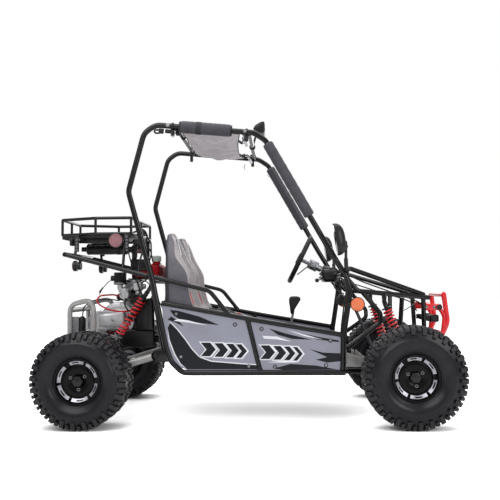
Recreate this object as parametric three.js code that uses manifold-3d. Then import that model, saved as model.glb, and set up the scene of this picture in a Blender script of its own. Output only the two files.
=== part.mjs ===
// Two-seat off road go kart: welded tube frame, sprung wheels, rear chain drive.
// Millimetres. X forward, Y to the kart's left, Z up, origin on the ground under the middle of the kart.
import * as THREE from 'three';
import { mergeVertices } from 'three/addons/utils/BufferGeometryUtils.js';
import Module from 'manifold-3d';

const wasm = await Module();
wasm.setup();

// Shared fits
const seatGap = 0.3;        // between pieces that are bolted or welded face to face
const runGap = 1.5;         // beside pieces that turn
const pinGap = 0.4;         // round a shaft in its hole
const slightKink = 0.35;     // radians
const bendStep = 0.63;       // radians
const surfaceSlack = 0.1;  // how far a surface may move when needless corners are taken out
const weldDepth = 3;        // how far welded tubes run into one another

// Wheels and track
const wheelbase = 1553;
const axleMiddleX = -13.5;
const rearAxleX = axleMiddleX - wheelbase / 2;
const frontAxleX = axleMiddleX + wheelbase / 2;
const cageHalf = 372;        // roll hoops' middle from the kart's middle
const rearTrackReach = 113;  // wheel middle out from the hoops
const frontTrackReach = 129;
const rearTyreRadius = 226;
const rearTyreWidth = 240;
const rearTrackHalf = cageHalf + rearTrackReach;
const frontTyreRadius = 238;
const frontTyreWidth = 178;
const frontTrackHalf = cageHalf + frontTrackReach;
const beadRadius = 101;
const flangeRadius = 110;
const rimWallThickness = 4;
const rimDiscThickness = 6;
const rimFlangeInset = 22;   // rim flange in from the tyre's side
const rimDiscInset = 26;     // wheel centre in from the outer flange
const rimBossWall = 10;
const frontBossLength = 34;
const tyreShoulder = 24;     // tread edge in from the tyre's side
const tyreWall = 16;
const wallShare = 0.6;        // height of the widest place up the tyre's side
const wheelSegments = 16;

// Roll hoops, one on each side
const hoopTube = 14;
const hoopBend = 55;
const sillZ = 242;
const sillRearX = -288;
const sillFrontX = 448;
const heelFrontX = -330;
const heelFrontZ = 243;
const heelX = -384;
const heelZ = 295;
const rearLegX = -410;
const rearLegZ = 365;
const rearLegTopX = -479;
const rearLegTopZ = 700;
const kneeX = -597;
const kneeZ = 1132;
const roofRearRiseX = -519;
const roofRearRiseZ = 1422;
const roofRearX = -462;
const roofRearZ = 1464;
const roofFrontX = 26;
const roofFrontZ = 1417;
const browX = 84;
const browZ = 1378;
const pillarX = 379;
const pillarZ = 856;
const pillarBaseX = 472;
const pillarBaseZ = 700;
const dashPillarTopX = 488;
const dashPillarTopZ = 636;
const dashPillarX = 453;
const dashPillarZ = 419;
const roofBarTube = 12;
const roofBarFrontX = 4;
const roofBarRearX = -360;
const centreMirrorWidth = 150;
const centreMirrorHeight = 56;
const centreMirrorDepth = 24;
const centreMirrorStalk = 6;
const centreMirrorTop = 1545;

// Side frames: top rail, divider and arm rail
const railTube = 12;
const railRearX = -432;
const railRearZ = 582;
const railMidX = 51;
const railMidZ = 492;
const railFrontX = 450;
const railFrontZ = 423;
const dividerTopX = -11;
const dividerFootX = 51;
const armRailTube = 11;
const armRailRearX = -469;
const armRailRearZ = 709;
const armRailMidX = -196;
const armRailMidZ = 640;
const armRailFrontX = -99;

// Floor
const floorTube = 13;
const floorPanThickness = 2.5;
const panShare = 0.8;        // pan height over the sills' middle, against their radius
const panInset = 22;
const floorPanHalf = cageHalf - panInset;
const toePanSetback = 178;
const toePanFrontX = frontAxleX - toePanSetback;
const toePanHalf = 236;
const floorCrossX = [-262, 80, 430];
const seatBarTube = 12;
const seatBarRearX = -232;
const seatBarRearZ = 428;
const seatBarFrontX = -30;
const seatBarFrontZ = 392;
const seatLegInset = 42;
const seatLegY = cageHalf - seatLegInset;
const leverBracketX = 176;
const leverPivotZ = 318;
const leverBracketWidth = 34;
const pedalSetback = 243;
const pedalPivotX = frontAxleX - pedalSetback;
const pedalPivotZ = 286;
const pedalHubHalf = 15;
const pedalBracketPlate = 5;
const brakePedalY = 122;
const throttlePedalY = 30;

// Nose
const noseRailTube = 12;
const noseTopStartX = 478;
const noseTopStartZ = 748;
const noseTopReach = 117;       // nose, bumper and springs are placed from the front axle
const noseTopEndX = frontAxleX + noseTopReach;
const noseTopEndZ = 613;
const noseTipHalf = 155;
const noseLowKneeX = 527;
const noseLowKneeZ = 634;
const noseInset = 20;
const noseLowHalf = cageHalf - noseInset;
const noseLowReach = 142;
const noseLowEndX = frontAxleX + noseLowReach;
const noseLowEndZ = 597;
const braceTopX = 548;
const braceKneeSetback = 123;
const braceKneeX = frontAxleX - braceKneeSetback;
const braceKneeZ = 522;
const braceFootX = 466;
const braceFootZ = 352;
const bracePostZ = 478;
const braceKneeInset = 54;
const braceKneeHalf = cageHalf - braceKneeInset;
const braceFootHalf = noseLowHalf;
const noseFloorHalf = 118;
const noseFloorZ = 262;
const noseFloorReach = 127;
const noseFloorEndX = frontAxleX + noseFloorReach;
const noseUprightSetback = 11;
const noseUprightX = frontAxleX - noseUprightSetback;
const noseUprightInset = 29.74;
const dashBarX = 452;
const dashBarZ = 712;
const dashBoxLength = 92;
const dashBoxWidth = 250;
const dashBoxHeight = 84;
const mirrorArmTube = 7;
const mirrorPivotX = 466;
const mirrorPivotZ = 850;
const mirrorStandOff = 56;
const mirrorPivotY = cageHalf + mirrorStandOff;

// Rear frame
const uprightTube = 13;
const uprightInset = 72;
const uprightHalf = cageHalf - uprightInset;
const uprightFootX = -352;
const uprightKneeX = -428;
const uprightKneeZ = 318;
const uprightTopX = -497;
const uprightTopZ = 712;
const rackTubeRadius = 12;
const rackTubeEndX = -945;
const rackTubeEndZ = 829;
const rackTubeEndHalf = 262;
const rackTubeInset = 26;
const rackTubeStartHalf = cageHalf - rackTubeInset;
const seatBackBarX = -495;
const seatBackBarZ = 690;
const cradleZ = 380;
const cradleHalf = 92;
const cradleFrontX = -439;
const cradleEndX = -925;
const tankShelfRearX = -624;
const tankShelfHalf = 132;
const tankShelfThickness = 4;
const pivotPlateThickness = 8;
const pivotPlateSize = 62;

// Cargo rack
const rackTube = 8;
const rackFrontX = -607;
const rackKinkX = -790;
const rackRearX = -990;
const rackHalf = 260;
const rackRearHalf = 166;
const rackTopZ = 1014;
const rackFloorZ = 934;
const rackSlats = 2;
const postShare = 0.85;
const rackFootRearX = -893;
const rackFootFrontX = -636;

// Bumper and guard
const bumperTube = 13;
const bumperTopReach = 221;
const bumperTopX = frontAxleX + bumperTopReach;
const bumperTopZ = 612;
const bumperOuterReach = 242.7;
const bumperOuterX = frontAxleX + bumperOuterReach;
const bumperOuterZ = 464;
const bumperFootReach = 213;
const bumperFootX = frontAxleX + bumperFootReach;
const bumperFootZ = 412;
const bumperInnerReach = 195;
const bumperInnerX = frontAxleX + bumperInnerReach;
const bumperInnerZ = 548;
const bumperPlateThickness = 6;
const bumperPlateHeight = 34;
const guardTube = 13;
const guardHalf = 212;
const guardRearHalf = 176;
const guardFrontX = -812;
const guardTopZ = 602;
const guardRearX = -945;
const guardShoulderZ = 556;
const guardFootZ = 414;
const guardPlateLength = 44;

// Side panels
const panelThickness = 3;

// Seats
const seatY = cageHalf / 2;
const seatSideRoom = 54;     // left free across one half of the cage
const seatWidth = cageHalf - seatSideRoom;
const seatShell = 62;

// Canopy
const canopyRearX = -342;
const canopyFrontX = -44;
const canopyInset = 12;
const canopyHalf = cageHalf - canopyInset;
const canopyThickness = 5;
const canopySag = 46;
const canopyFold = 9;
const canopyFoldCount = 5;
const canopyLengthSteps = 4;
const canopyWidthSteps = 16;

// Foam pads
const roofPadRadius = 32;
const pillarPadRadius = 25;
const roofPadRearX = -334;
const roofPadFrontX = -88;
const pillarPadTopShare = 0.03;
const pillarPadEndShare = 0.72;

// Engine
const caseHalf = 128;
const caseBottomZ = 396;
const crankX = -706;
const crankZ = 492;
const crankRadius = 92;
const clutchX = -800;
const clutchZ = 470;
const clutchRadius = 70;
const gearboxX = -560;
const gearboxZ = 438;
const gearboxRadius = 42;
const coverDepth = 46;
const coverFrontX = -655;
const coverRearX = -812;
const coverHalfHeight = 50;
const outputShaftX = -512;
const outputShaftZ = 352;
const outputShaftRadius = 9;
const barrelRadius = 52;
const barrelTopX = -656;
const barrelTopZ = 640;
const headLength = 56;
const finThickness = 5;
const finPitch = 15;
const finCount = 4;
const headCoverRadius = 25;
const headCoverY = 150;
const headCoverX = -668;
const headCoverZ = 622;
const filterX = -696;
const filterZ = 708;
const filterY = -112;
const filterRadius = 34;
const filterLength = 62;
const intakeRadius = 15;
const pipeRadius = 14;
const mufflerRadius = 31;
const mufflerFrontX = -690;
const mufflerRearX = -922;
const mufflerZ = 872;
const mufflerY = 56;
const tankLength = 118;
const tankHalf = 124;
const tankHeight = 76;
const tankRound = 18;
const capRadius = 24;
const capHeight = 36;
const capY = -92;

// Swingarm and rear axle
const swingPivotX = -470;
const swingPivotZ = 319;
const swingPivotTube = 19;
const swingPivotBolt = 8;
const swingBeam = 19;
const swingInset = 16;
const swingHalf = uprightHalf - swingInset;
const axleHousingRadius = 30;
const axleRadius = 15;
const hubRadius = 52;
const hubThickness = 12;
const axleEndReach = 22;     // how far an axle's end stands past the wheel disc
const sprocketY = 132;
const sprocketRadius = 70;
const sprocketThickness = 6;
const sprocketTeeth = 12;
const toothDepth = 6;
const discY = -132;
const discRadius = 78;
const discThickness = 4;
const chainWidth = 14;
const chainHeight = 9;
const chainArcSteps = 18;
const chainDriveRadius = 23;

// Shock absorbers
const eyeRadius = 11;
const eyeWidth = 22;
const footEyeBore = 7.5;
const frontEyeTiltRoom = 1.8;
const pinRadius = 4;
const earGap = 3;
const earThickness = 5;
const bodyRadius = 12;
const rodRadius = 5;
const springSeatRadius = 27;
const springSeatThickness = 5;
const springWire = 4;
const frontCoilRadius = 22;
const frontCurls = 8;
const rearCoilRadius = 19;
const rearCurls = 11;
const rearShockRoom = 42;         // beside the engine cover
const rearShockY = -caseHalf - coverDepth - rearShockRoom;
const rearShockTopX = -532;
const rearShockTopZ = 634;
const rearShockFootAhead = 68;
const rearShockFootX = rearAxleX + rearShockFootAhead;
const rearShockFootZ = 352;
const frontShockTopSetback = 99;
const frontShockTopX = frontAxleX - frontShockTopSetback;
const frontShockTopInset = 1.6;
const frontShockTopZ = 580;
const frontShockFootReach = 12;
const frontShockFootX = frontAxleX + frontShockFootReach;
const shockFootInset = 60;     // in from the kingpin
const frontShockFootZ = 256;
const shockTravel = 50;
const topSeatInset = 34;
const footSeatInset = 42;

// Front arms, knuckles and steering
const armPivotHalf = 156;
const armPivotZ = 265;
const armSpread = 63;
const armTube = 11;
const kingpinInset = 116;     // in from the wheel's middle
const kingpinHalf = frontTrackHalf - kingpinInset;
const frontShockFootHalf = kingpinHalf - shockFootInset;
const kingpinZ = 215;
const bossRadius = 15;
const bossHeight = 58;
const kingpinRadius = 6;
const knucklePlate = 10;
const knuckleDepth = 44;
const spindleRadius = 12;
const steerArmReach = 103;
const steerArmThickness = 9;
const steerArmZ = 192;
const tieRodRadius = 7;
const tieRodBall = 11;
const tieRodInset = 15;
const tieRodEndHalf = kingpinHalf - tieRodInset;
const rackBarRadius = 10;
const rackSleeveRadius = 17;
const rackSleeveHalf = 62;
const steeringOffset = 4;
const steeringY = seatY + steeringOffset;
const steeringHubX = 262;
const steeringHubZ = 812;
const steeringRake = 63.5;   // degrees, the wheel's plane against the floor
const steeringRimRadius = 134;
const steeringRimTube = 13;
const steeringShaftRadius = 11;
const steeringShaftLength = 250;
const lowerShaftRadius = 9;
const lowerShaftGap = 11;
const shaftFootShare = 0.4;

// Pedals, lever and mirrors
const pedalArm = 132;
const pedalPadWidth = 58;
const pedalPadHeight = 74;
const pedalBar = 8;
const leverShaft = 7;
const leverKnobRadius = 22;
const leverKnobX = 226;
const leverKnobZ = 566;
const mirrorHeight = 152;
const mirrorWidth = 96;
const mirrorDepth = 36;
const mirrorRise = 30;
const mirrorLeanShare = 0.16;

const kart = new THREE.Group();
const sides = [['right', -1], ['left', 1]];
const v = (x, y, z) => new THREE.Vector3(x, y, z);
const mix = (a, b, share) => a + (b - a) * share;

// Solids and meshes; a surface whose faces point inwards is turned the right way round
function toSolid(geometry) {
  const plain = geometry.index ? geometry.toNonIndexed() : geometry.clone();
  for (const name of Object.keys(plain.attributes)) {
    if (name !== 'position') plain.deleteAttribute(name);
  }
  const joined = mergeVertices(plain, 1e-3);
  const corners = joined.attributes.position.array;
  const faces = new Uint32Array(joined.index.array);
  if (signedVolume(corners, faces) < 0) {
    for (let i = 0; i < faces.length; i += 3) [faces[i], faces[i + 1]] = [faces[i + 1], faces[i]];
  }
  return new wasm.Manifold(new wasm.Mesh({ numProp: 3, vertProperties: new Float32Array(corners),
    triVerts: faces }));
}

function signedVolume(corners, faces) {
  const [a, b, c] = [v(0, 0, 0), v(0, 0, 0), v(0, 0, 0)];
  let sum = 0;
  for (let i = 0; i < faces.length; i += 3) {
    a.fromArray(corners, faces[i] * 3);
    b.fromArray(corners, faces[i + 1] * 3);
    c.fromArray(corners, faces[i + 2] * 3);
    sum += a.dot(b.cross(c)) / 6;
  }
  return sum;
}

function toGeometry(solid) {
  const mesh = solid.getMesh();
  const geometry = new THREE.BufferGeometry();
  geometry.setAttribute('position', new THREE.BufferAttribute(new Float32Array(mesh.vertProperties), 3));
  geometry.setIndex(new THREE.BufferAttribute(new Uint32Array(mesh.triVerts), 1));
  geometry.computeVertexNormals();
  return geometry;
}

// Radius of a faceted hole that a round shaft just turns in
const boreOver = (radius, sideCount = 8) => (radius + pinGap) / Math.cos(Math.PI / sideCount);

const unite = (solids) => solids.reduce((sum, solid) => sum.add(solid)).simplify(surfaceSlack);
const cut = (solid, tools) => tools.reduce((rest, tool) => rest.subtract(tool), solid).simplify(surfaceSlack);

function addPart(name, solid, colour, roughness, metalness, parent = kart) {
  const material = new THREE.MeshStandardMaterial({ color: colour, roughness, metalness });
  const mesh = new THREE.Mesh(toGeometry(solid), material);
  mesh.name = name;
  parent.add(mesh);
  return mesh;
}

// A path through chosen points, one ring of the tube at each
class TubePath extends THREE.Curve {
  constructor(points) {
    super();
    this.points = points;
    this.steps = points.length - 1;
  }

  getPoint(t) {
    const place = Math.min(t * this.steps, this.steps);
    const start = Math.min(Math.floor(place + 1e-6), this.steps - 1);
    return this.points[start].clone().lerp(this.points[start + 1], place - start);
  }

  getTangent(t) {
    const at = Math.round(t * this.steps);
    const before = this.points[Math.max(at - 1, 0)];
    const here = this.points[at];
    const after = this.points[Math.min(at + 1, this.steps)];
    const incoming = here.clone().sub(before).normalize();
    const outgoing = after.clone().sub(here).normalize();
    return incoming.add(outgoing).normalize();
  }

  getUtoTmapping(u) {
    return u;
  }
}

// Corner points become arcs of the bend radius, with a point about every 36 degrees.
// Slight kinks stay as they are.
function bendPoints(corners, bendRadius) {
  const points = [corners[0]];
  for (let i = 1; i < corners.length - 1; i += 1) {
    const incoming = corners[i].clone().sub(corners[i - 1]);
    const outgoing = corners[i + 1].clone().sub(corners[i]);
    const turn = incoming.angleTo(outgoing);
    if (turn < slightKink) {
      points.push(corners[i]);
      continue;
    }
    const room = 0.48 * Math.min(incoming.length(), outgoing.length());
    const setback = Math.min(bendRadius * Math.tan(turn / 2), room);
    const enter = corners[i].clone().addScaledVector(incoming.normalize(), -setback);
    const leave = corners[i].clone().addScaledVector(outgoing.normalize(), setback);
    const count = Math.max(1, Math.round(turn / bendStep));
    const arc = new THREE.QuadraticBezierCurve3(enter, corners[i], leave);
    for (let k = 0; k <= count; k += 1) points.push(arc.getPoint(k / count));
  }
  points.push(corners[corners.length - 1]);
  return points;
}

function ringShape(radius, sideCount) {
  const corner = (i) => {
    const angle = ((i + 0.5) / sideCount) * 2 * Math.PI;
    return new THREE.Vector2(radius * Math.cos(angle), radius * Math.sin(angle));
  };
  return new THREE.Shape(Array.from({ length: sideCount }, (_, i) => corner(i)));
}

function tube(corners, radius, bendRadius = 0, sideCount = 6) {
  const path = new TubePath(bendRadius > 0 ? bendPoints(corners, bendRadius) : corners);
  const settings = { steps: path.steps, bevelEnabled: false, extrudePath: path };
  return toSolid(new THREE.ExtrudeGeometry(ringShape(radius, sideCount), settings));
}

function bar(from, to, radius, sideCount = 6) {
  return tube([from, to], radius, 0, sideCount);
}

function block(centre, size) {
  const geometry = new THREE.BoxGeometry(size.x, size.y, size.z);
  geometry.translate(centre.x, centre.y, centre.z);
  return toSolid(geometry);
}

// Turned about the Y axis, from a closed list of [radius, y] points
function turned(profile, segments) {
  const points = profile.map(([radius, y]) => new THREE.Vector2(radius, y));
  return toSolid(new THREE.LatheGeometry(points, segments));
}

function drum(radius, from, to, segments = 24) {
  return turned([[0, from], [radius, from], [radius, to], [0, to]], segments);
}

// A flat outline in X and Z, given as [x, z], thickened along Y from yLow to yHigh
function plate(outline, yLow, yHigh) {
  const shape = new THREE.Shape(outline.map(([x, z]) => new THREE.Vector2(x, z)));
  const geometry = new THREE.ExtrudeGeometry(shape, { depth: yHigh - yLow, bevelEnabled: false });
  geometry.rotateX(Math.PI / 2);
  geometry.translate(0, yHigh, 0);
  return toSolid(geometry);
}

// Rings of points joined in order, with both ends closed
function loft(rings) {
  const count = rings[0].length;
  const positions = [];
  const tri = (a, b, c) => positions.push(...a.toArray(), ...b.toArray(), ...c.toArray());
  for (let i = 0; i < rings.length - 1; i += 1) {
    for (let k = 0; k < count; k += 1) {
      const next = (k + 1) % count;
      tri(rings[i][k], rings[i][next], rings[i + 1][next]);
      tri(rings[i][k], rings[i + 1][next], rings[i + 1][k]);
    }
  }
  for (const [ring, flip] of [[rings[0], true], [rings[rings.length - 1], false]]) {
    const middle = ring.reduce((sum, p) => sum.add(p), v(0, 0, 0)).divideScalar(count);
    for (let k = 0; k < count; k += 1) {
      const next = ring[(k + 1) % count];
      if (flip) tri(middle, next, ring[k]);
      else tri(middle, ring[k], next);
    }
  }
  const geometry = new THREE.BufferGeometry();
  geometry.setAttribute('position', new THREE.Float32BufferAttribute(positions, 3));
  return toSolid(geometry);
}

// Colours
const frameBlack = 0x141416;
const rubberBlack = 0x232226;
const foamGrey = 0x4a4950;
const panelGrey = 0x9a9ba6;
const clothGrey = 0xb9b4b8;
const seatGrey = 0x6a6870;
const springRed = 0xc8202a;
const bumperRed = 0xe82028;
const guardSilver = 0xb5b4b3;
const alloySilver = 0xa9a9ac;
const steelGrey = 0x77777b;
const plasticBlack = 0x1b1b1e;

// Paths that several pieces are fitted to
function hoopPath(side) {
  const y = side * cageHalf;
  return [
    v(sillRearX, y, sillZ), v(heelFrontX, y, heelFrontZ), v(heelX, y, heelZ), v(rearLegX, y, rearLegZ),
    v(rearLegTopX, y, rearLegTopZ), v(kneeX, y, kneeZ), v(roofRearRiseX, y, roofRearRiseZ), v(roofRearX, y, roofRearZ),
    v(roofFrontX, y, roofFrontZ), v(browX, y, browZ), v(pillarX, y, pillarZ),
    v(pillarBaseX, y, pillarBaseZ), v(dashPillarTopX, y, dashPillarTopZ),
    v(dashPillarX, y, dashPillarZ), v(sillFrontX, y, sillZ + floorTube + seatGap),
  ];
}

const hoopSolid = (side, spare) => tube(hoopPath(side), hoopTube + spare, hoopBend);
const hoopTools = sides.map(([, side]) => hoopSolid(side, seatGap));
const sillBar = (side, spare) => bar(
  v(sillRearX + seatGap, side * cageHalf, sillZ), v(sillFrontX + hoopTube, side * cageHalf, sillZ),
    floorTube + spare);
const sillTools = sides.map(([, side]) => sillBar(side, seatGap));

// Roof rail height at a place along the kart
const roofZ = (x) => mix(roofRearZ, roofFrontZ, (x - roofRearX) / (roofFrontX - roofRearX));

function buildHoops() {
  addPart('roll_hoop_right', hoopSolid(-1, 0), frameBlack, 0.3, 0.2);
  const barRear = bar(v(roofBarRearX, -cageHalf, roofZ(roofBarRearX)),
    v(roofBarRearX, cageHalf, roofZ(roofBarRearX)),
    roofBarTube);
  const barFront = bar(v(roofBarFrontX, -cageHalf, roofZ(roofBarFrontX)),
    v(roofBarFrontX, cageHalf, roofZ(roofBarFrontX)), roofBarTube);
  const mirrorLow = centreMirrorTop - centreMirrorHeight;
  const stalk = bar(v(roofBarFrontX, 0, roofZ(roofBarFrontX)),
    v(roofBarFrontX + centreMirrorDepth, 0, mirrorLow + weldDepth), centreMirrorStalk);
  const mirror = block(v(roofBarFrontX + centreMirrorDepth, 0, centreMirrorTop - centreMirrorHeight / 2),
    v(centreMirrorDepth, centreMirrorWidth, centreMirrorHeight));
  const bars = cut(unite([barRear, barFront]), [hoopTools[0]]);
  addPart('roll_hoop_left', unite([hoopSolid(1, 0), bars, stalk, mirror]), frameBlack, 0.3, 0.2);
}

const seatBars = (spare) => [[seatBarRearX, seatBarRearZ],
  [seatBarFrontX, seatBarFrontZ]].map(([x, z]) => bar(
  v(x, -seatLegY - spare, z), v(x, seatLegY + spare, z), seatBarTube + spare));

function buildFloor() {
  const pieces = sides.map(([, side]) => sillBar(side, 0));
  for (const x of floorCrossX) pieces.push(bar(v(x, -cageHalf, sillZ), v(x, cageHalf, sillZ), floorTube));
  const panZ = sillZ + floorTube * panShare;
  const thick = floorPanThickness;
  pieces.push(block(v((sillRearX + sillFrontX) / 2, 0, panZ),
    v(sillFrontX - sillRearX - hoopTube, 2 * floorPanHalf, thick)));
  pieces.push(block(v((sillFrontX + toePanFrontX) / 2, 0, panZ),
    v(toePanFrontX - sillFrontX + 2 * hoopTube, 2 * toePanHalf, thick)));
  pieces.push(...seatBars(0));
  for (const [x, z] of [[seatBarRearX, seatBarRearZ], [seatBarFrontX, seatBarFrontZ]]) {
    for (const y of [-seatLegY, 0, seatLegY]) pieces.push(bar(v(x, y, panZ), v(x, y, z), seatBarTube, 4));
  }
  for (const side of [-1, 1]) {
    const y = side * (leverBracketWidth / 2);
    const high = leverPivotZ + leverShaft * 2;
    const outline = [[leverBracketX - leverBracketWidth, panZ], [leverBracketX + leverBracketWidth, panZ],
      [leverBracketX + leverShaft * 2, high], [leverBracketX - leverShaft * 2, high]];
    pieces.push(plate(outline, y - floorPanThickness, y + floorPanThickness));
  }
  for (const pedalY of [brakePedalY, throttlePedalY]) {
    for (const side of [-1, 1]) {
      const inner = pedalY + side * (pedalHubHalf + seatGap + pedalBracketPlate / 2);
      const high = pedalPivotZ + pedalBar;
      const outline = [[pedalPivotX - 2 * pedalBar, panZ], [pedalPivotX + 2 * pedalBar, panZ],
        [pedalPivotX + pedalBar, high], [pedalPivotX - pedalBar, high]];
      pieces.push(plate(outline, inner - pedalBracketPlate / 2, inner + pedalBracketPlate / 2));
    }
  }
  addPart('floor_frame', cut(unite(pieces), hoopTools), frameBlack, 0.45, 0.3);
}

const sideRail = (side, spare) => tube([v(railRearX, side * cageHalf, railRearZ),
  v(railMidX, side * cageHalf, railMidZ),
  v(railFrontX, side * cageHalf, railFrontZ)], railTube + spare);
const divider = (side, spare) => bar(v(dividerTopX, side * cageHalf, railZ(dividerTopX)),
  v(dividerFootX, side * cageHalf, sillZ), railTube + spare);

const railZ = (x) => (x < railMidX
  ? mix(railRearZ, railMidZ, (x - railRearX) / (railMidX - railRearX))
  : mix(railMidZ, railFrontZ, (x - railMidX) / (railFrontX - railMidX)));

function buildSideFrames() {
  for (const [name, side] of sides) {
    const y = side * cageHalf;
    const armRail = tube([v(armRailRearX, y, armRailRearZ), v(armRailMidX, y, armRailMidZ),
      v(armRailFrontX, y, railZ(armRailFrontX))], armRailTube, hoopBend);
    const pieces = [sideRail(side, 0), divider(side, 0), armRail];
    const frame = cut(unite(pieces), [...hoopTools, ...sillTools]);
    addPart(`side_frame_${name}`, frame, frameBlack, 0.3, 0.2);
  }
}

// Panels are cut to the tubes that frame them
function buildPanels() {
  const rear = [[sillRearX, sillZ], [dividerFootX, sillZ], [dividerTopX, railZ(dividerTopX)],
    [railRearX, railRearZ],
    [rearLegX, rearLegZ], [heelX, heelZ], [heelFrontX, heelFrontZ]];
  const front = [[dividerFootX, sillZ], [sillFrontX, sillZ], [dashPillarX, railFrontZ],
    [railFrontX, railFrontZ],
    [railMidX, railMidZ], [dividerTopX, railZ(dividerTopX)]];
  for (const [name, side] of sides) {
    const y = side * cageHalf;
    const tools = [...hoopTools, ...sillTools, sideRail(side, seatGap), divider(side, seatGap)];
    for (const [end, outline] of [['rear', rear], ['front', front]]) {
      const panel = cut(plate(outline, y - panelThickness / 2, y + panelThickness / 2), tools);
      const larger = (best, piece) => (piece.volume() > best.volume() ? piece : best);
      const largest = panel.decompose().reduce(larger);
      addPart(`side_panel_${end}_${name}`, largest, panelGrey, 0.35, 0.5);
    }
  }
}

const noseLowY = (x) => mix(noseLowHalf, noseTipHalf, (x - noseLowKneeX) / (noseLowEndX - noseLowKneeX));
const noseLowZ = (x) => mix(noseLowKneeZ, noseLowEndZ, (x - noseLowKneeX) / (noseLowEndX - noseLowKneeX));
const frontShockTopHalf = noseLowY(frontShockTopX) - frontShockTopInset;
const noseUprightTopHalf = noseLowY(noseUprightX) - noseUprightInset;
const noseRail = (side, spare) => tube([v(pillarBaseX, side * noseLowHalf, pillarBaseZ),
  v(noseLowKneeX, side * noseLowHalf, noseLowKneeZ), v(noseLowEndX, side * noseTipHalf, noseLowEndZ)],
  noseRailTube + spare, hoopBend / 2);
const noseBars = (spare) => [[noseTopEndX, noseTopEndZ], [noseLowEndX, noseLowEndZ]].map(([x, z]) => bar(
  v(x, -noseTipHalf - noseRailTube - spare, z), v(x, noseTipHalf + noseRailTube + spare, z),
    noseRailTube + spare));

// Two ear plates either side of an eye, reaching from it to a place in the same X-Z plane.
// A pin goes through them.
function ears(eye, to, width = eyeRadius) {
  const along = v(to.x - eye.x, 0, to.z - eye.z).normalize();
  const across = v(along.z, 0, -along.x).multiplyScalar(width);
  const tip = eye.clone().addScaledVector(along, -width);
  const corners = [tip.clone().addScaledVector(across, 0.6), v(to.x, 0, to.z).add(across),
    v(to.x, 0, to.z).sub(across),
    tip.clone().addScaledVector(across, -0.6)];
  const outline = corners.map((corner) => [corner.x, corner.z]);
  const reach = eyeWidth / 2 + earGap;
  const pin = bar(v(eye.x, eye.y - reach - earThickness / 2, eye.z),
    v(eye.x, eye.y + reach + earThickness / 2, eye.z),
    pinRadius, 5);
  return [plate(outline, eye.y - reach - earThickness, eye.y - reach),
    plate(outline, eye.y + reach, eye.y + reach + earThickness), pin];
}

function buildNoseUpper() {
  const pieces = [];
  for (const [, side] of sides) {
    const hoopY = side * cageHalf;
    pieces.push(tube([v(pillarBaseX, side * noseLowHalf, pillarBaseZ),
      v(noseTopStartX, side * noseLowHalf, noseTopStartZ),
      v(noseTopEndX, side * noseTipHalf, noseTopEndZ)], noseRailTube));
    pieces.push(noseRail(side, 0));
    pieces.push(tube([v(braceTopX, side * noseLowY(braceTopX), noseLowZ(braceTopX)),
      v(braceKneeX, side * braceKneeHalf, braceKneeZ),
        v(braceKneeX, side * (braceKneeHalf - railTube), bracePostZ),
      v(braceFootX, side * braceFootHalf, braceFootZ)], railTube));
    const top = v(frontShockTopX, side * frontShockTopHalf, frontShockTopZ);
    pieces.push(...ears(top, v(top.x, 0, noseLowZ(top.x))));
    const armTop = v(mirrorPivotX, side * mirrorPivotY, mirrorPivotZ);
    pieces.push(tube([v(noseTopStartX, side * noseLowHalf, noseTopStartZ - noseRailTube),
      v(mirrorPivotX, hoopY + side * (hoopTube + mirrorArmTube * 2), noseTopStartZ - noseRailTube), armTop],
      mirrorArmTube, 0, 8));
  }
  pieces.push(...noseBars(0));
  pieces.push(bar(v(dashBarX, -cageHalf, dashBarZ), v(dashBarX, cageHalf, dashBarZ), noseRailTube));
  const boxX = dashBarX - dashBoxLength / 2 + noseRailTube;
  pieces.push(block(v(boxX, steeringY / 2, dashBarZ), v(dashBoxLength, dashBoxWidth, dashBoxHeight)));
  const axis = steeringAxis();
  const start = steeringHub();
  const passage = bar(start, start.clone().addScaledVector(axis, steeringShaftLength + dashBoxLength),
    boreOver(steeringShaftRadius), 8);
  addPart('nose_frame_upper', cut(unite(pieces), [...hoopTools, passage]), frameBlack, 0.3, 0.2);
}

const frontUpright = (side, spare) => bar(v(noseFloorEndX, side * noseFloorHalf, noseFloorZ),
  v(noseTopEndX, side * noseTipHalf, noseTopEndZ - noseRailTube - seatGap), noseRailTube + spare);

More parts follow.
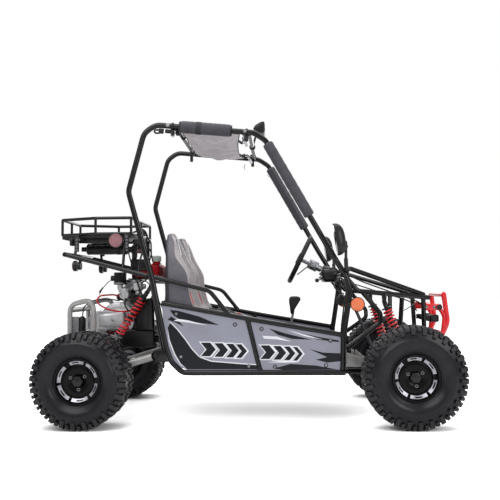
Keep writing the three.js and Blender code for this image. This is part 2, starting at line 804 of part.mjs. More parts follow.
function buildNoseLower() {
  const pieces = [];
  const startX = sillFrontX - railTube;
  for (const [, side] of sides) {
    const y = side * noseFloorHalf;
    const low = sillZ - floorTube - seatGap - noseRailTube;
    pieces.push(tube([v(startX, y, low), v(noseUprightX - 2 * armSpread, y, low),
      v(noseUprightX - armSpread, y, noseFloorZ - noseRailTube),
      v(noseFloorEndX, y, noseFloorZ)], noseRailTube, hoopBend / 2));
    pieces.push(bar(v(noseUprightX, y, noseFloorZ), v(noseUprightX + noseRailTube, side * noseUprightTopHalf,
      noseLowZ(noseUprightX) - noseRailTube), noseRailTube));
    pieces.push(frontUpright(side, 0));
    for (const x of [frontAxleX - armSpread, frontAxleX + armSpread]) {
      const reach = eyeWidth / 2 + runGap;
      const lugHalf = armPivotHalf + eyeRadius / 2;
      for (const offset of [-1, 1]) {
        pieces.push(block(v(x + offset * (reach + earThickness / 2), side * (noseFloorHalf + lugHalf) / 2,
          armPivotZ),
          v(earThickness, lugHalf - noseFloorHalf, 2 * eyeRadius)));
      }
      pieces.push(bar(v(x - reach - weldDepth, side * armPivotHalf, armPivotZ),
        v(x + reach + weldDepth, side * armPivotHalf,
        armPivotZ), pinRadius));
    }
  }
  for (const x of [startX + noseRailTube, noseFloorEndX]) {
    const z = x < noseUprightX ? sillZ - floorTube - seatGap - noseRailTube : noseFloorZ;
    pieces.push(bar(v(x, -noseFloorHalf, z), v(x, noseFloorHalf, z), noseRailTube));
  }
  const rackX = frontAxleX - steerArmReach;
  pieces.push(bar(v(rackX, -rackSleeveHalf, armPivotZ), v(rackX, rackSleeveHalf, armPivotZ),
    rackSleeveRadius, 8));
  for (const side of [-1, 1]) {
    const y = side * (rackSleeveHalf - rackSleeveRadius);
    pieces.push(bar(v(rackX, y, armPivotZ), v(rackX, y, sillZ - floorTube - noseRailTube), noseRailTube));
  }
  pieces.push(bar(v(rackX, -noseFloorHalf, sillZ - floorTube - noseRailTube),
    v(rackX, noseFloorHalf, sillZ - floorTube - noseRailTube), noseRailTube));
  const bore = bar(v(rackX, -noseFloorHalf, armPivotZ), v(rackX, noseFloorHalf, armPivotZ),
    boreOver(rackBarRadius), 8);
  const body = cut(unite(pieces), [bore, noseRail(-1, seatGap), noseRail(1, seatGap), ...noseBars(seatGap)]);
  addPart('nose_frame_lower', body, frameBlack, 0.3, 0.2);
}

const rackTubeY = (x) => mix(rackTubeStartHalf, rackTubeEndHalf,
  (x - uprightTopX) / (rackTubeEndX - uprightTopX));
const rackTubeZ = (x) => mix(uprightTopZ, rackTubeEndZ, (x - uprightTopX) / (rackTubeEndX - uprightTopX));

const rackSupport = (side, spare) => bar(v(uprightTopX, side * rackTubeStartHalf, uprightTopZ),
  v(rackTubeEndX, side * rackTubeEndHalf, rackTubeEndZ), rackTubeRadius + spare);

// Two tubes under the engine with a bar across their rear ends
const cradleTubes = (spare) => [-1, 1].map((side) => bar(v(cradleFrontX, side * cradleHalf, cradleZ),
  v(cradleEndX, side * cradleHalf, cradleZ), uprightTube + spare)).concat(
  bar(v(cradleEndX, -cradleHalf, cradleZ), v(cradleEndX, cradleHalf, cradleZ), uprightTube + spare));

function buildRearSubframe() {
  const pieces = [];
  for (const [, side] of sides) {
    const y = side * uprightHalf;
    const outer = side * cageHalf;
    pieces.push(tube([v(uprightFootX, outer, sillZ), v(uprightFootX, y, sillZ),
      v(uprightKneeX, y, uprightKneeZ),
      v(uprightTopX, y, uprightTopZ), v(uprightTopX, outer, uprightTopZ)], uprightTube));
    pieces.push(rackSupport(side, 0));
    const half = pivotPlateSize / 2;
    const outline = [[swingPivotX - half, swingPivotZ - half], [swingPivotX + 2 * half, swingPivotZ - half],
      [swingPivotX + 2 * half, swingPivotZ + half], [swingPivotX - half, swingPivotZ + half]];
    const plateY = swingHalf + swingBeam + runGap;
    const inner = side > 0 ? plateY : -plateY - pivotPlateThickness;
    pieces.push(plate(outline, inner, inner + pivotPlateThickness));
  }
  const span = (x, z, half, radius) => bar(v(x, -half, z), v(x, half, z), radius);
  pieces.push(span(uprightFootX, sillZ, uprightHalf, uprightTube));
  pieces.push(span(seatBackBarX, seatBackBarZ, uprightHalf, uprightTube));
  pieces.push(span(cradleFrontX, cradleZ, uprightHalf, uprightTube));
  pieces.push(...cradleTubes(0));
  pieces.push(span(rackTubeEndX, rackTubeEndZ, rackTubeEndHalf + rackTubeRadius, rackTubeRadius));
  pieces.push(span(tankShelfRearX, rackTubeZ(tankShelfRearX), rackTubeY(tankShelfRearX), rackTubeRadius));
  const shelfZ = seatBackBarZ + uprightTube;
  const hangerZ = rackTubeZ(tankShelfRearX);
  for (const side of [-1, 1]) {
    pieces.push(bar(v(tankShelfRearX, side * tankShelfHalf, hangerZ),
      v(tankShelfRearX, side * tankShelfHalf, shelfZ),
      rackTubeRadius / 2));
  }
  pieces.push(block(v((seatBackBarX + tankShelfRearX) / 2, 0, shelfZ),
    v(seatBackBarX - tankShelfRearX + rackTubeRadius, 2 * tankShelfHalf + rackTubeRadius,
      tankShelfThickness)));
  const top = v(rearShockTopX, rearShockY, rearShockTopZ);
  pieces.push(...ears(top, v(seatBackBarX, 0, seatBackBarZ)));
  pieces.push(bar(v(swingPivotX, -swingHalf - swingBeam - pivotPlateThickness, swingPivotZ),
    v(swingPivotX, swingHalf + swingBeam + pivotPlateThickness, swingPivotZ), swingPivotBolt));
  const solid = cut(unite(pieces), [...hoopTools, ...sillTools]);
  addPart('rear_subframe', solid, frameBlack, 0.35, 0.2);
}

function rackOutline(z) {
  return [
    v(rackFrontX, -rackHalf, z), v(rackKinkX, -rackHalf, z), v(rackRearX, -rackRearHalf, z),
    v(rackRearX, rackRearHalf, z), v(rackKinkX, rackHalf, z), v(rackFrontX, rackHalf, z),
  ];
}

function buildCargoRack() {
  const pieces = [];
  for (const z of [rackTopZ, rackFloorZ]) {
    const corners = rackOutline(z);
    const middle = v(rackFrontX, 0, z);
    pieces.push(tube([middle, ...corners, middle.clone()], rackTube));
  }
  const posts = [...rackOutline(rackFloorZ), v(rackRearX, 0, rackFloorZ), v(rackFrontX, 0, rackFloorZ)];
  for (const post of posts) pieces.push(bar(post, v(post.x, post.y, rackTopZ), rackTube * postShare, 4));
  for (let i = 1; i <= rackSlats; i += 1) {
    const x = mix(rackFrontX, rackKinkX, i / rackSlats);
    pieces.push(bar(v(x, -rackHalf, rackFloorZ), v(x, rackHalf, rackFloorZ), rackTube * postShare, 4));
  }
  for (const side of [-1, 1]) {
    for (const x of [rackFootRearX, rackFootFrontX]) {
      const footZ = rackTubeZ(x) + rackTubeRadius / 2;
      const footY = side * rackTubeY(x);
      const railY = x > rackKinkX ? side * rackHalf
        : side * mix(rackHalf, rackRearHalf, (x - rackKinkX) / (rackRearX - rackKinkX));
      pieces.push(bar(v(x, footY, footZ), v(x, railY, rackFloorZ), rackTube, 6));
    }
  }
  addPart('cargo_rack', cut(unite(pieces), [rackSupport(-1, seatGap), rackSupport(1, seatGap)]), frameBlack,
    0.45, 0.2);
}

function buildBumper() {
  const pieces = [];
  for (const [, side] of sides) {
    const y = side * noseTipHalf;
    pieces.push(tube([v(bumperTopX, y, bumperTopZ), v(bumperOuterX, y, bumperOuterZ),
      v(bumperFootX, y, bumperFootZ)],
      bumperTube, hoopBend));
    pieces.push(tube([v(bumperInnerX, y, bumperInnerZ),
      v(bumperOuterX - bumperTube, y, bumperOuterZ + bumperTube),
      v(bumperFootX, y, bumperFootZ)], bumperTube * 0.8, hoopBend));
    const low = bumperInnerZ - bumperPlateHeight / 2;
    const outline = [[noseTopEndX, low + bumperPlateHeight], [noseTopEndX, low],
      [bumperInnerX + bumperTube, low], [bumperInnerX + bumperTube, low + bumperPlateHeight]];
    const inside = side * (noseTipHalf - bumperPlateThickness) - bumperPlateThickness / 2;
    pieces.push(plate(outline, inside, inside + bumperPlateThickness));
  }
  for (const [x, z] of [[bumperTopX, bumperTopZ], [bumperInnerX, bumperInnerZ], [bumperFootX, bumperFootZ]]) {
    pieces.push(bar(v(x, -noseTipHalf - bumperTube, z), v(x, noseTipHalf + bumperTube, z), bumperTube));
  }
  addPart('front_bumper', cut(unite(pieces), [frontUpright(-1, seatGap), frontUpright(1, seatGap)]),
    bumperRed, 0.3, 0.1);
}

function buildGuard() {
  const pieces = [];
  for (const [, side] of sides) {
    pieces.push(tube([v(guardFrontX, side * guardHalf, guardFootZ),
      v(guardFrontX, side * guardHalf, guardTopZ),
      v(guardRearX, side * guardRearHalf, guardShoulderZ + hoopTube),
      v(guardRearX, side * guardRearHalf, guardFootZ)], guardTube));
    pieces.push(bar(v(guardFrontX, side * guardHalf, guardFootZ),
      v(guardRearX, side * guardRearHalf, guardFootZ),
      guardTube));
  }
  for (const z of [guardFootZ, guardShoulderZ - hoopTube]) {
    pieces.push(bar(v(guardRearX, -guardRearHalf, z), v(guardRearX, guardRearHalf, z), guardTube));
  }
  for (const side of [-1, 1]) {
    const middle = v((guardRearX + cradleEndX) / 2, side * cradleHalf, (guardFootZ + cradleZ) / 2);
    pieces.push(block(middle, v(guardPlateLength, 2 * guardTube, guardFootZ - cradleZ)));
  }
  addPart('engine_guard', cut(unite(pieces), cradleTubes(seatGap)), guardSilver, 0.35, 0.6);
}

// Seat: a spine from the front of the cushion to the top of the back, with a section at each place
function buildSeats() {
  // x, z of the surface at the middle, then shares of width, bolster height and shell at each section
  const cushionFrontX = 6;
  const cushionFrontZ = 462;
  const cushionRearX = -255;
  const cushionRearZ = 500;
  const backFootX = -316;
  const backFootZ = 565;
  const backMidX = -345;
  const backMidZ = 720;
  const backTopX = -391;
  const backTopZ = 900;
  const bolster = 44;
  const crown = 12;
  const channel = 7;
  const spine = [
    [cushionFrontX + bolster / 2, cushionFrontZ - bolster, 0.78, 0.1, 0.4],
    [cushionFrontX, cushionFrontZ - crown / 2, 0.94, 0.35, 1],
    [cushionFrontX - bolster, cushionFrontZ, 1, 0.6, 1],
    [mix(cushionFrontX, cushionRearX, 0.5), mix(cushionFrontZ, cushionRearZ, 0.5), 1, 0.8, 1],
    [cushionRearX, cushionRearZ, 1, 0.9, 1],
    [mix(cushionRearX, backFootX, 0.6), mix(cushionRearZ, backFootZ, 0.4), 1, 1, 1.4],
    [backFootX, backFootZ, 1, 1, 1.75],
    [mix(backFootX, backMidX, 0.5), mix(backFootZ, backMidZ, 0.5), 1, 0.85, 1.5],
    [backMidX, backMidZ, 0.98, 1, 1.3],
    [mix(backMidX, backTopX, 0.5), mix(backMidZ, backTopZ, 0.5), 0.88, 0.5, 0.9],
    [mix(backMidX, backTopX, 0.85), mix(backMidZ, backTopZ, 0.85), 0.76, 0.35, 0.68],
    [backTopX, backTopZ, 0.66, 0.25, 0.56],
    [backTopX - bolster / 6, backTopZ + bolster / 2, 0.5, 0, 0.4],
  ];
  const acrossShares = [-1, -0.96, -0.8, -0.6, -0.42, 0, 0.42, 0.6, 0.8, 0.96, 1];
  const heightShares = [0.15, 0.75, 1, 0.7, 0, 0, 0, 0.7, 1, 0.75, 0.15];
  const crownShares = [0, 0, 0, 0, -0.6, 1, -0.6, 0, 0, 0, 0];
  for (const [name, side] of sides) {
    const rings = spine.map(([x, z, widthShare, bolsterShare, shellShare], i) => {
      const before = spine[Math.max(i - 1, 0)];
      const after = spine[Math.min(i + 1, spine.length - 1)];
      const along = v(after[0] - before[0], 0, after[1] - before[1]).normalize();
      const out = v(-along.z, 0, along.x).multiplyScalar(-1);
      const half = seatWidth / 2 * widthShare;
      const middle = v(x, side * seatY, z);
      const thick = seatShell * shellShare;
      const dip = i % 2 === 1 ? channel / 2 : 0;
      const top = acrossShares.map((share, k) => middle.clone().add(v(0, half * share, 0))
        .addScaledVector(out, bolster * bolsterShare * heightShares[k] + crown * crownShares[k]
          - (Math.abs(share) < 0.5 ? dip : 0)));
      const under = [...acrossShares].reverse().filter((share) => Math.abs(share) < 0.98)
        .map((share) => middle.clone().add(v(0, half * share * 0.94, 0)).addScaledVector(out, -thick));
      return [...top, ...under];
    });
    addPart(`seat_${name}`, cut(loft(rings), seatBars(seatGap)), seatGrey, 0.6, 0);
  }
}

const roofPad = (side, spare) => bar(v(roofPadRearX - spare, side * cageHalf, roofZ(roofPadRearX)),
  v(roofPadFrontX + spare, side * cageHalf, roofZ(roofPadFrontX)), roofPadRadius + spare, 12);

// Cloth roof laced between the roof rails, sagging between them with folds along the kart
function buildCanopy() {
  const length = canopyFrontX - canopyRearX;
  const geometry = new THREE.BoxGeometry(length, 2 * canopyHalf, canopyThickness, canopyLengthSteps,
    canopyWidthSteps, 1);
  const place = geometry.attributes.position;
  for (let i = 0; i < place.count; i += 1) {
    const along = place.getX(i) / length + 0.5;
    const across = place.getY(i) / canopyHalf;
    const x = mix(canopyRearX, canopyFrontX, along);
    const sag = canopySag * (1 - across * across) * (0.75 + 0.25 * Math.sin(Math.PI * along));
    const fold = canopyFold * Math.sin(across * canopyFoldCount * Math.PI)
      * Math.sin(Math.PI * mix(0.15, 0.95, along));
    place.setX(i, x);
    place.setZ(i, place.getZ(i) + roofZ(x) - hoopTube / 2 - sag + fold * (1 - across ** 4));
  }
  addPart('canopy', cut(toSolid(geometry), [roofPad(-1, seatGap), ...hoopTools]), clothGrey, 0.85, 0);
}

function buildPads() {
  const pillarPoint = (share, side) => v(mix(browX, pillarX, share), side * cageHalf,
    mix(browZ, pillarZ, share));
  const pillarPad = (side) => bar(pillarPoint(pillarPadTopShare, side), pillarPoint(pillarPadEndShare, side),
    pillarPadRadius, 12);
  addPart('roof_pad_right', cut(roofPad(-1, 0), [hoopTools[0]]), foamGrey, 0.8, 0);
  addPart('pillar_pad_right', cut(pillarPad(-1), [hoopTools[0]]), foamGrey, 0.8, 0);
  addPart('pillar_pad_left', cut(pillarPad(1), [hoopTools[1]]), foamGrey, 0.8, 0);
}

function barrelAxis() {
  return v(barrelTopX - crankX, 0, barrelTopZ - crankZ).normalize();
}

const headShare = 0.9;
function headBlock(spare) {
  const top = v(barrelTopX, 0, barrelTopZ);
  return bar(top, top.clone().addScaledVector(barrelAxis(), headLength + spare),
    barrelRadius * headShare + spare, 8);
}

function buildEngine() {
  const along = (x, z, radius, from, to, segments = 20) => {
    const solid = drum(radius, from, to, segments);
    return solid.translate([x, 0, z]);
  };
  const gearboxHull = [[gearboxX, caseBottomZ], [crankX, caseBottomZ], [clutchX, caseBottomZ + finPitch],
    [clutchX, clutchZ + clutchRadius * 0.7], [crankX, crankZ + crankRadius * 0.6],
      [gearboxX, gearboxZ + gearboxRadius]];
  const pieces = [
    along(crankX, crankZ, crankRadius, -caseHalf, caseHalf, 24),
    along(clutchX, clutchZ, clutchRadius, -caseHalf, caseHalf, 20),
    along(gearboxX, gearboxZ, gearboxRadius, -caseHalf, caseHalf, 16),
    plate(gearboxHull, -caseHalf, caseHalf),
    plate([[coverFrontX, crankZ - coverHalfHeight], [coverFrontX, crankZ + coverHalfHeight],
      [coverRearX, crankZ + coverHalfHeight * 0.7], [coverRearX, crankZ - coverHalfHeight]],
    -caseHalf - coverDepth, -caseHalf + weldDepth),
    along(outputShaftX, outputShaftZ, outputShaftRadius, sprocketY - gearboxRadius,
      sprocketY + chainWidth / 2, 12),
    plate([[outputShaftX - outputShaftRadius, outputShaftZ], [outputShaftX + outputShaftRadius, outputShaftZ],
      [gearboxX + gearboxRadius * 0.8, gearboxZ], [gearboxX - gearboxRadius * 0.2, caseBottomZ + weldDepth]],
    sprocketY - gearboxRadius, sprocketY - chainWidth),
  ];
  for (const side of [-1, 1]) {
    const tubeTop = cradleZ + uprightTube + seatGap;
    pieces.push(block(v(crankX, side * cradleHalf, (caseBottomZ + tubeTop) / 2),
      v(2 * crankRadius, 2 * uprightTube, caseBottomZ - tubeTop)));
  }
  const axis = barrelAxis();
  const barrelStart = v(crankX, 0, crankZ).addScaledVector(axis, crankRadius + seatGap);
  const headTool = bar(barrelStart, v(barrelTopX, 0, barrelTopZ).addScaledVector(axis, headLength),
    barrelRadius * 2, 8);
  addPart('engine_case', cut(unite(pieces), [headTool, ...cradleTubes(seatGap)]), alloySilver, 0.45, 0.8);

  const top = v(barrelTopX, 0, barrelTopZ);
  const head = [bar(barrelStart, top, barrelRadius, 8), headBlock(0)];
  for (let i = 1; i <= finCount; i += 1) {
    const place = barrelStart.clone().addScaledVector(axis, i * finPitch);
    head.push(bar(place, place.clone().addScaledVector(axis, finThickness), barrelRadius + finPitch, 8));
  }
  head.push(bar(v(headCoverX, -headCoverY, headCoverZ), v(headCoverX, 0, headCoverZ), headCoverRadius, 8));
  const neckZ = barrelTopZ + intakeRadius / 3;
  head.push(tube([v(barrelTopX, 0, neckZ), v(barrelTopX, filterY, neckZ), v(filterX, filterY, neckZ),
    v(filterX, filterY, filterZ - filterRadius - seatGap)], intakeRadius, hoopBend / 3));
  addPart('cylinder_head', unite(head), alloySilver, 0.5, 0.8);

  const filter = unite([
    bar(v(filterX, filterY, filterZ - filterRadius), v(filterX, filterY, filterZ + filterLength / 2),
      filterRadius, 14),
    bar(v(filterX, filterY, filterZ), v(filterX - filterRadius - intakeRadius, filterY, filterZ),
      intakeRadius, 10),
  ]);
  addPart('air_filter', filter, plasticBlack, 0.5, 0);
}

function buildExhaust() {
  const axis = barrelAxis();
  const port = v(barrelTopX, 0, barrelTopZ).addScaledVector(axis, headLength / 2);
  const portY = barrelRadius / 2;
  const front = v(mufflerFrontX, mufflerY, mufflerZ);
  const pipeX = port.x - pipeRadius;
  const outY = barrelRadius + 2 * pipeRadius;
  const pipe = tube([v(port.x, portY, port.z), v(port.x, barrelRadius, port.z), v(pipeX, outY, port.z),
    v(pipeX, outY, mufflerZ - 2 * pipeRadius), v(pipeX, mufflerY, mufflerZ),
    v(mufflerFrontX - weldDepth, mufflerY, mufflerZ)], pipeRadius, hoopBend / 3);
  const can = bar(front, v(mufflerRearX, mufflerY, mufflerZ), mufflerRadius, 14);
  const tip = bar(v(mufflerRearX, mufflerY, mufflerZ), v(mufflerRearX - 2 * pipeRadius, mufflerY, mufflerZ),
    pipeRadius * 0.7);
  const hanger = [0.2, 0.8].map((share) => {
    const x = mix(mufflerFrontX, mufflerRearX, share);
    return bar(v(x, mufflerY, mufflerZ), v(x, mufflerY, rackFloorZ - rackTube - seatGap), pipeRadius / 2, 6);
  });
  addPart('exhaust', cut(unite([pipe, can, tip, ...hanger]), [headBlock(seatGap)]), plasticBlack, 0.4, 0.5);
}

function buildTank() {
  const bottom = seatBackBarZ + uprightTube + tankShelfThickness / 2 + seatGap;
  const x = (seatBackBarX + tankShelfRearX) / 2;
  const half = tankLength / 2;
  const outline = [[x - half + tankRound, bottom], [x + half - tankRound, bottom],
    [x + half, bottom + tankRound],
    [x + half, bottom + tankHeight - tankRound], [x + half - tankRound, bottom + tankHeight],
    [x - half + tankRound, bottom + tankHeight], [x - half, bottom + tankHeight - tankRound],
      [x - half, bottom + tankRound]];
  const body = plate(outline, -tankHalf, tankHalf);
  const cap = bar(v(x + half / 2, capY, bottom + tankHeight - weldDepth),
    v(x + half / 2, capY, bottom + tankHeight + capHeight),
    capRadius, 14);
  const spanTool = bar(v(tankShelfRearX, -cageHalf, rackTubeZ(tankShelfRearX)),
    v(tankShelfRearX, cageHalf, rackTubeZ(tankShelfRearX)), rackTubeRadius + seatGap);
  addPart('fuel_tank', cut(unite([body, cap]), [spanTool]), 0xb01820, 0.35, 0);
}

function buildSwingarm() {
  const pieces = [];
  const axleZ = rearTyreRadius;
  for (const [, side] of sides) {
    const y = side * (swingHalf - seatGap);
    pieces.push(bar(v(swingPivotX, y, swingPivotZ), v(rearAxleX, y, axleZ), swingBeam, 6));
    pieces.push(bar(v(rearAxleX, side * (swingHalf - axleHousingRadius), axleZ),
      v(rearAxleX, side * (swingHalf + swingBeam), axleZ),
      axleHousingRadius, 8));
  }
  pieces.push(bar(v(swingPivotX, -swingHalf - swingBeam, swingPivotZ),
    v(swingPivotX, swingHalf + swingBeam, swingPivotZ),
    swingPivotTube, 8));
  const crossX = mix(swingPivotX, rearAxleX, 0.62);
  const crossZ = mix(swingPivotZ, axleZ, 0.62);
  pieces.push(bar(v(crossX, -swingHalf, crossZ), v(crossX, sprocketY - 3 * chainWidth, crossZ),
    swingBeam * 0.7, 6));
  const foot = v(rearShockFootX, rearShockY, rearShockFootZ);
  const share = (rearShockFootX - swingPivotX) / (rearAxleX - swingPivotX);
  const beamZ = mix(swingPivotZ, axleZ, share);
  pieces.push(...ears(foot, v(foot.x, 0, beamZ)));
  pieces.push(bar(v(foot.x, -swingHalf, beamZ), v(foot.x, rearShockY + eyeWidth, beamZ), swingBeam * 0.7));
  const pivotBore = bar(v(swingPivotX, -cageHalf, swingPivotZ), v(swingPivotX, cageHalf, swingPivotZ),
    boreOver(swingPivotBolt), 8);
  const axleBore = bar(v(rearAxleX, -cageHalf, axleZ), v(rearAxleX, cageHalf, axleZ), boreOver(axleRadius),
    8);
  const solid = cut(unite(pieces), [pivotBore, axleBore]);
  addPart('swingarm', solid, steelGrey, 0.4, 0.5);
}

function buildRearAxle() {
  const hubY = rearTrackHalf + discFace(rearTyreWidth) - seatGap;
  const axleHalf = hubY + axleEndReach;
  const pieces = [drum(axleRadius, -axleHalf, axleHalf, 8)];
  for (const side of [-1, 1]) {
    const inner = side > 0 ? hubY - hubThickness : -hubY;
    pieces.push(drum(hubRadius, inner, inner + hubThickness, 12));
  }
  pieces.push(drum(discRadius, discY - discThickness / 2, discY + discThickness / 2, 16));
  pieces.push(drum(axleRadius * 2, discY - discThickness * 3, discY + discThickness * 3, 8));
  const teeth = Array.from({ length: sprocketTeeth * 2 }, (_, i) => {
    const radius = i % 2 === 0 ? sprocketRadius : sprocketRadius - toothDepth;
    const angle = (i / (sprocketTeeth * 2)) * 2 * Math.PI;
    return [radius * Math.cos(angle), radius * Math.sin(angle)];
  });
  pieces.push(plate(teeth, sprocketY - sprocketThickness / 2, sprocketY + sprocketThickness / 2));
  pieces.push(drum(axleRadius * 2, sprocketY - sprocketThickness * 2, sprocketY + sprocketThickness * 2, 8));
  const mesh = addPart('rear_axle', unite(pieces), steelGrey, 0.35, 0.9);
  mesh.position.set(rearAxleX, 0, rearTyreRadius);
}

function buildChain() {
  const axleZ = rearTyreRadius;
  const dx = outputShaftX - rearAxleX;
  const dz = outputShaftZ - axleZ;
  const length = Math.hypot(dx, dz);
  const tilt = Math.atan2(dz, dx);
  const outlineAt = (grow) => {
    const big = boreOver(sprocketRadius, 2 * chainArcSteps) + grow;
    const small = chainDriveRadius + grow;
    const lean = Math.asin((big - small) / length);
    const points = [];
    const arc = (cx, cz, radius, from, to, count) => {
      for (let i = 0; i <= count; i += 1) {
        const angle = tilt + mix(from, to, i / count);
        points.push([cx + radius * Math.cos(angle), cz + radius * Math.sin(angle)]);
      }
    };
    arc(rearAxleX, axleZ, big, Math.PI / 2 - lean, 1.5 * Math.PI + lean, chainArcSteps);
    arc(outputShaftX, outputShaftZ, small, -Math.PI / 2 + lean, Math.PI / 2 - lean, 8);
    return points;
  };
  const outer = plate(outlineAt(chainHeight), sprocketY - chainWidth / 2, sprocketY + chainWidth / 2);
  const inner = plate(outlineAt(0), sprocketY - chainWidth, sprocketY + chainWidth);
  addPart('drive_chain', cut(outer, [inner]), steelGrey, 0.4, 0.8);
}

// Tyre section turned about its own axis; the tread is the outer size over its knobs
function tyreSolid(radius, width) {
  const half = width / 2;
  const beadHalf = half - rimFlangeInset;
  const wallRadius = mix(beadRadius, radius, wallShare);
  const inner = radius - tyreWall;
  const profile = [
    [beadRadius, -beadHalf], [flangeRadius + seatGap, -beadHalf], [wallRadius, -half],
    [radius, -half + tyreShoulder], [radius, half - tyreShoulder], [wallRadius, half],
      [flangeRadius + seatGap, beadHalf], [beadRadius, beadHalf], [beadRadius, beadHalf - tyreWall],
    [inner, half - tyreShoulder - tyreWall], [inner, -half + tyreShoulder + tyreWall],
    [beadRadius, -beadHalf + tyreWall], [beadRadius, -beadHalf],
  ];
  return turned(profile, wheelSegments);
}

// Inner face of the wheel disc, outboard of the wheel's middle
const discFace = (width) => width / 2 - rimFlangeInset - rimDiscInset - rimDiscThickness;

// Rim turned about its own axis, with a boss round the axle inside the disc
function rimSolid(width, shaftRadius, bossLength) {
  const half = width / 2 - rimFlangeInset;
  const barrel = beadRadius - seatGap;
  const wall = rimWallThickness;
  const disc = half - rimDiscInset;
  const bore = boreOver(shaftRadius, wheelSegments);
  const boss = bore + rimBossWall;
  const inner = disc - rimDiscThickness;
  const bossCorners = bossLength > 0 ? [[boss, inner], [boss, inner - bossLength]] : [];
  const profile = [
    [bore, disc], [barrel - wall, disc], [barrel - wall, half + wall], [flangeRadius, half + wall],
    [flangeRadius, half + seatGap], [barrel, half + seatGap], [barrel, -half - wall],
      [barrel - wall, -half - wall],
    [barrel - wall, inner], ...bossCorners, [bore, inner - bossLength], [bore, disc],
  ];
  return turned(profile, wheelSegments);
}

function buildWheels() {
  const sets = [['rear', rearAxleX, rearTyreRadius, rearTyreWidth, rearTrackHalf],
    ['front', frontAxleX, frontTyreRadius, frontTyreWidth, frontTrackHalf]];
  for (const [end, x, radius, width, track] of sets) {
    const tyre = tyreSolid(radius, width);
    const rim = end === 'front' ? rimSolid(width, spindleRadius, frontBossLength) : rimSolid(width,
      axleRadius, 0);
    for (const [name, side] of sides) {
      const wheel = new THREE.Group();
      wheel.position.set(x, side * track, radius);
      wheel.rotation.z = side < 0 ? Math.PI : 0;
      kart.add(wheel);
      addPart(`${end}_tyre_${name}`, tyre, rubberBlack, 0.85, 0, wheel);
      addPart(`${end}_rim_${name}`, rim, plasticBlack, 0.35, 0.6, wheel);
    }
  }
}

// Shock absorber parts lie along their own Z axis, foot down, and are turned to reach the foot
function buildShock(name, top, foot, coilRadius, curls, eyeTiltRoom) {
  const length = top.distanceTo(foot);
  const down = foot.clone().sub(top).normalize();
  const group = new THREE.Group();
  group.position.copy(top);
  group.quaternion.setFromUnitVectors(v(0, 0, -1), down);
  kart.add(group);
  const upperLength = length * 0.52;
  const seatTop = -topSeatInset;
  const seatFoot = -length + footSeatInset;
  const eye = (z) => bar(v(0, -eyeWidth / 2, z), v(0, eyeWidth / 2, z), eyeRadius, 8);
  const eyeHole = (z, radius) => bar(v(0, -eyeWidth, z), v(0, eyeWidth, z), radius, 8);
  const bore = bar(v(0, 0, -2 * eyeRadius), v(0, 0, -length), boreOver(rodRadius), 8);
  const body = cut(unite([eye(0), bar(v(0, 0, -eyeRadius * 0.5), v(0, 0, -upperLength), bodyRadius, 8),
    bar(v(0, 0, seatTop), v(0, 0, seatTop - springSeatThickness), springSeatRadius, 10)]),
      [bore, eyeHole(0, boreOver(pinRadius) + eyeTiltRoom)]);
  addPart(`${name}_body`, body, plasticBlack, 0.35, 0.5, group);
  const rodTop = -(2 * eyeRadius + shockTravel + runGap);
  const rod = cut(unite([eye(-length), bar(v(0, 0, rodTop), v(0, 0, -length + eyeRadius * 0.5), rodRadius, 8),
    bar(v(0, 0, seatFoot), v(0, 0, seatFoot + springSeatThickness), springSeatRadius, 10),
    bar(v(0, 0, seatFoot), v(0, 0, -length + eyeRadius * 0.5), bodyRadius * 0.8, 8)]),
      [eyeHole(-length, footEyeBore)]);
  addPart(`${name}_rod`, rod, alloySilver, 0.3, 0.9, group);
  const from = seatTop - springSeatThickness - springWire - seatGap;
  const to = seatFoot + springSeatThickness + springWire + seatGap;
  addPart(`${name}_spring`, springSolid(from, to, coilRadius, curls), springRed, 0.35, 0.2, group);
}

function springSolid(from, to, coilRadius, curls) {
  const stepsPerCurl = 8;
  const wireSides = 5;
  const total = curls * stepsPerCurl;
  const rings = [];
  const rise = (to - from) / total;
  const slope = Math.atan2(rise, (2 * Math.PI * coilRadius) / stepsPerCurl);
  for (let i = 0; i <= total; i += 1) {
    const angle = (i / stepsPerCurl) * 2 * Math.PI;
    const outward = v(Math.cos(angle), Math.sin(angle), 0);
    const along = v(-Math.sin(angle) * Math.cos(slope), Math.cos(angle) * Math.cos(slope), Math.sin(slope));
    const upward = outward.clone().cross(along).normalize();
    const centre = outward.clone().multiplyScalar(coilRadius).setZ(from + rise * i);
    rings.push(Array.from({ length: wireSides }, (_, k) => {
      const turn = (k / wireSides) * 2 * Math.PI;
      return centre.clone().addScaledVector(outward, springWire * Math.cos(turn))
        .addScaledVector(upward, springWire * Math.sin(turn));
    }));
  }
  let least = Infinity;
  for (let i = 0; i + stepsPerCurl <= total; i += 1) {
    for (const p of rings[i]) {
      for (const q of rings[i + stepsPerCurl]) least = Math.min(least, p.distanceTo(q));
    }
  }
  console.log(`least gap between curls: ${least.toFixed(2)} mm`);
  return loft(rings);
}

function buildShocks() {
  buildShock('rear_shock', v(rearShockTopX, rearShockY, rearShockTopZ),
    v(rearShockFootX, rearShockY, rearShockFootZ),
    rearCoilRadius, rearCurls, 0);
  for (const [name, side] of sides) {
    buildShock(`front_shock_${name}`, v(frontShockTopX, side * frontShockTopHalf, frontShockTopZ),
      v(frontShockFootX, side * frontShockFootHalf, frontShockFootZ), frontCoilRadius, frontCurls,
        frontEyeTiltRoom);
  }
}

function armZ(half) {
  return mix(armPivotZ, kingpinZ, (half - armPivotHalf) / (kingpinHalf - armPivotHalf));
}

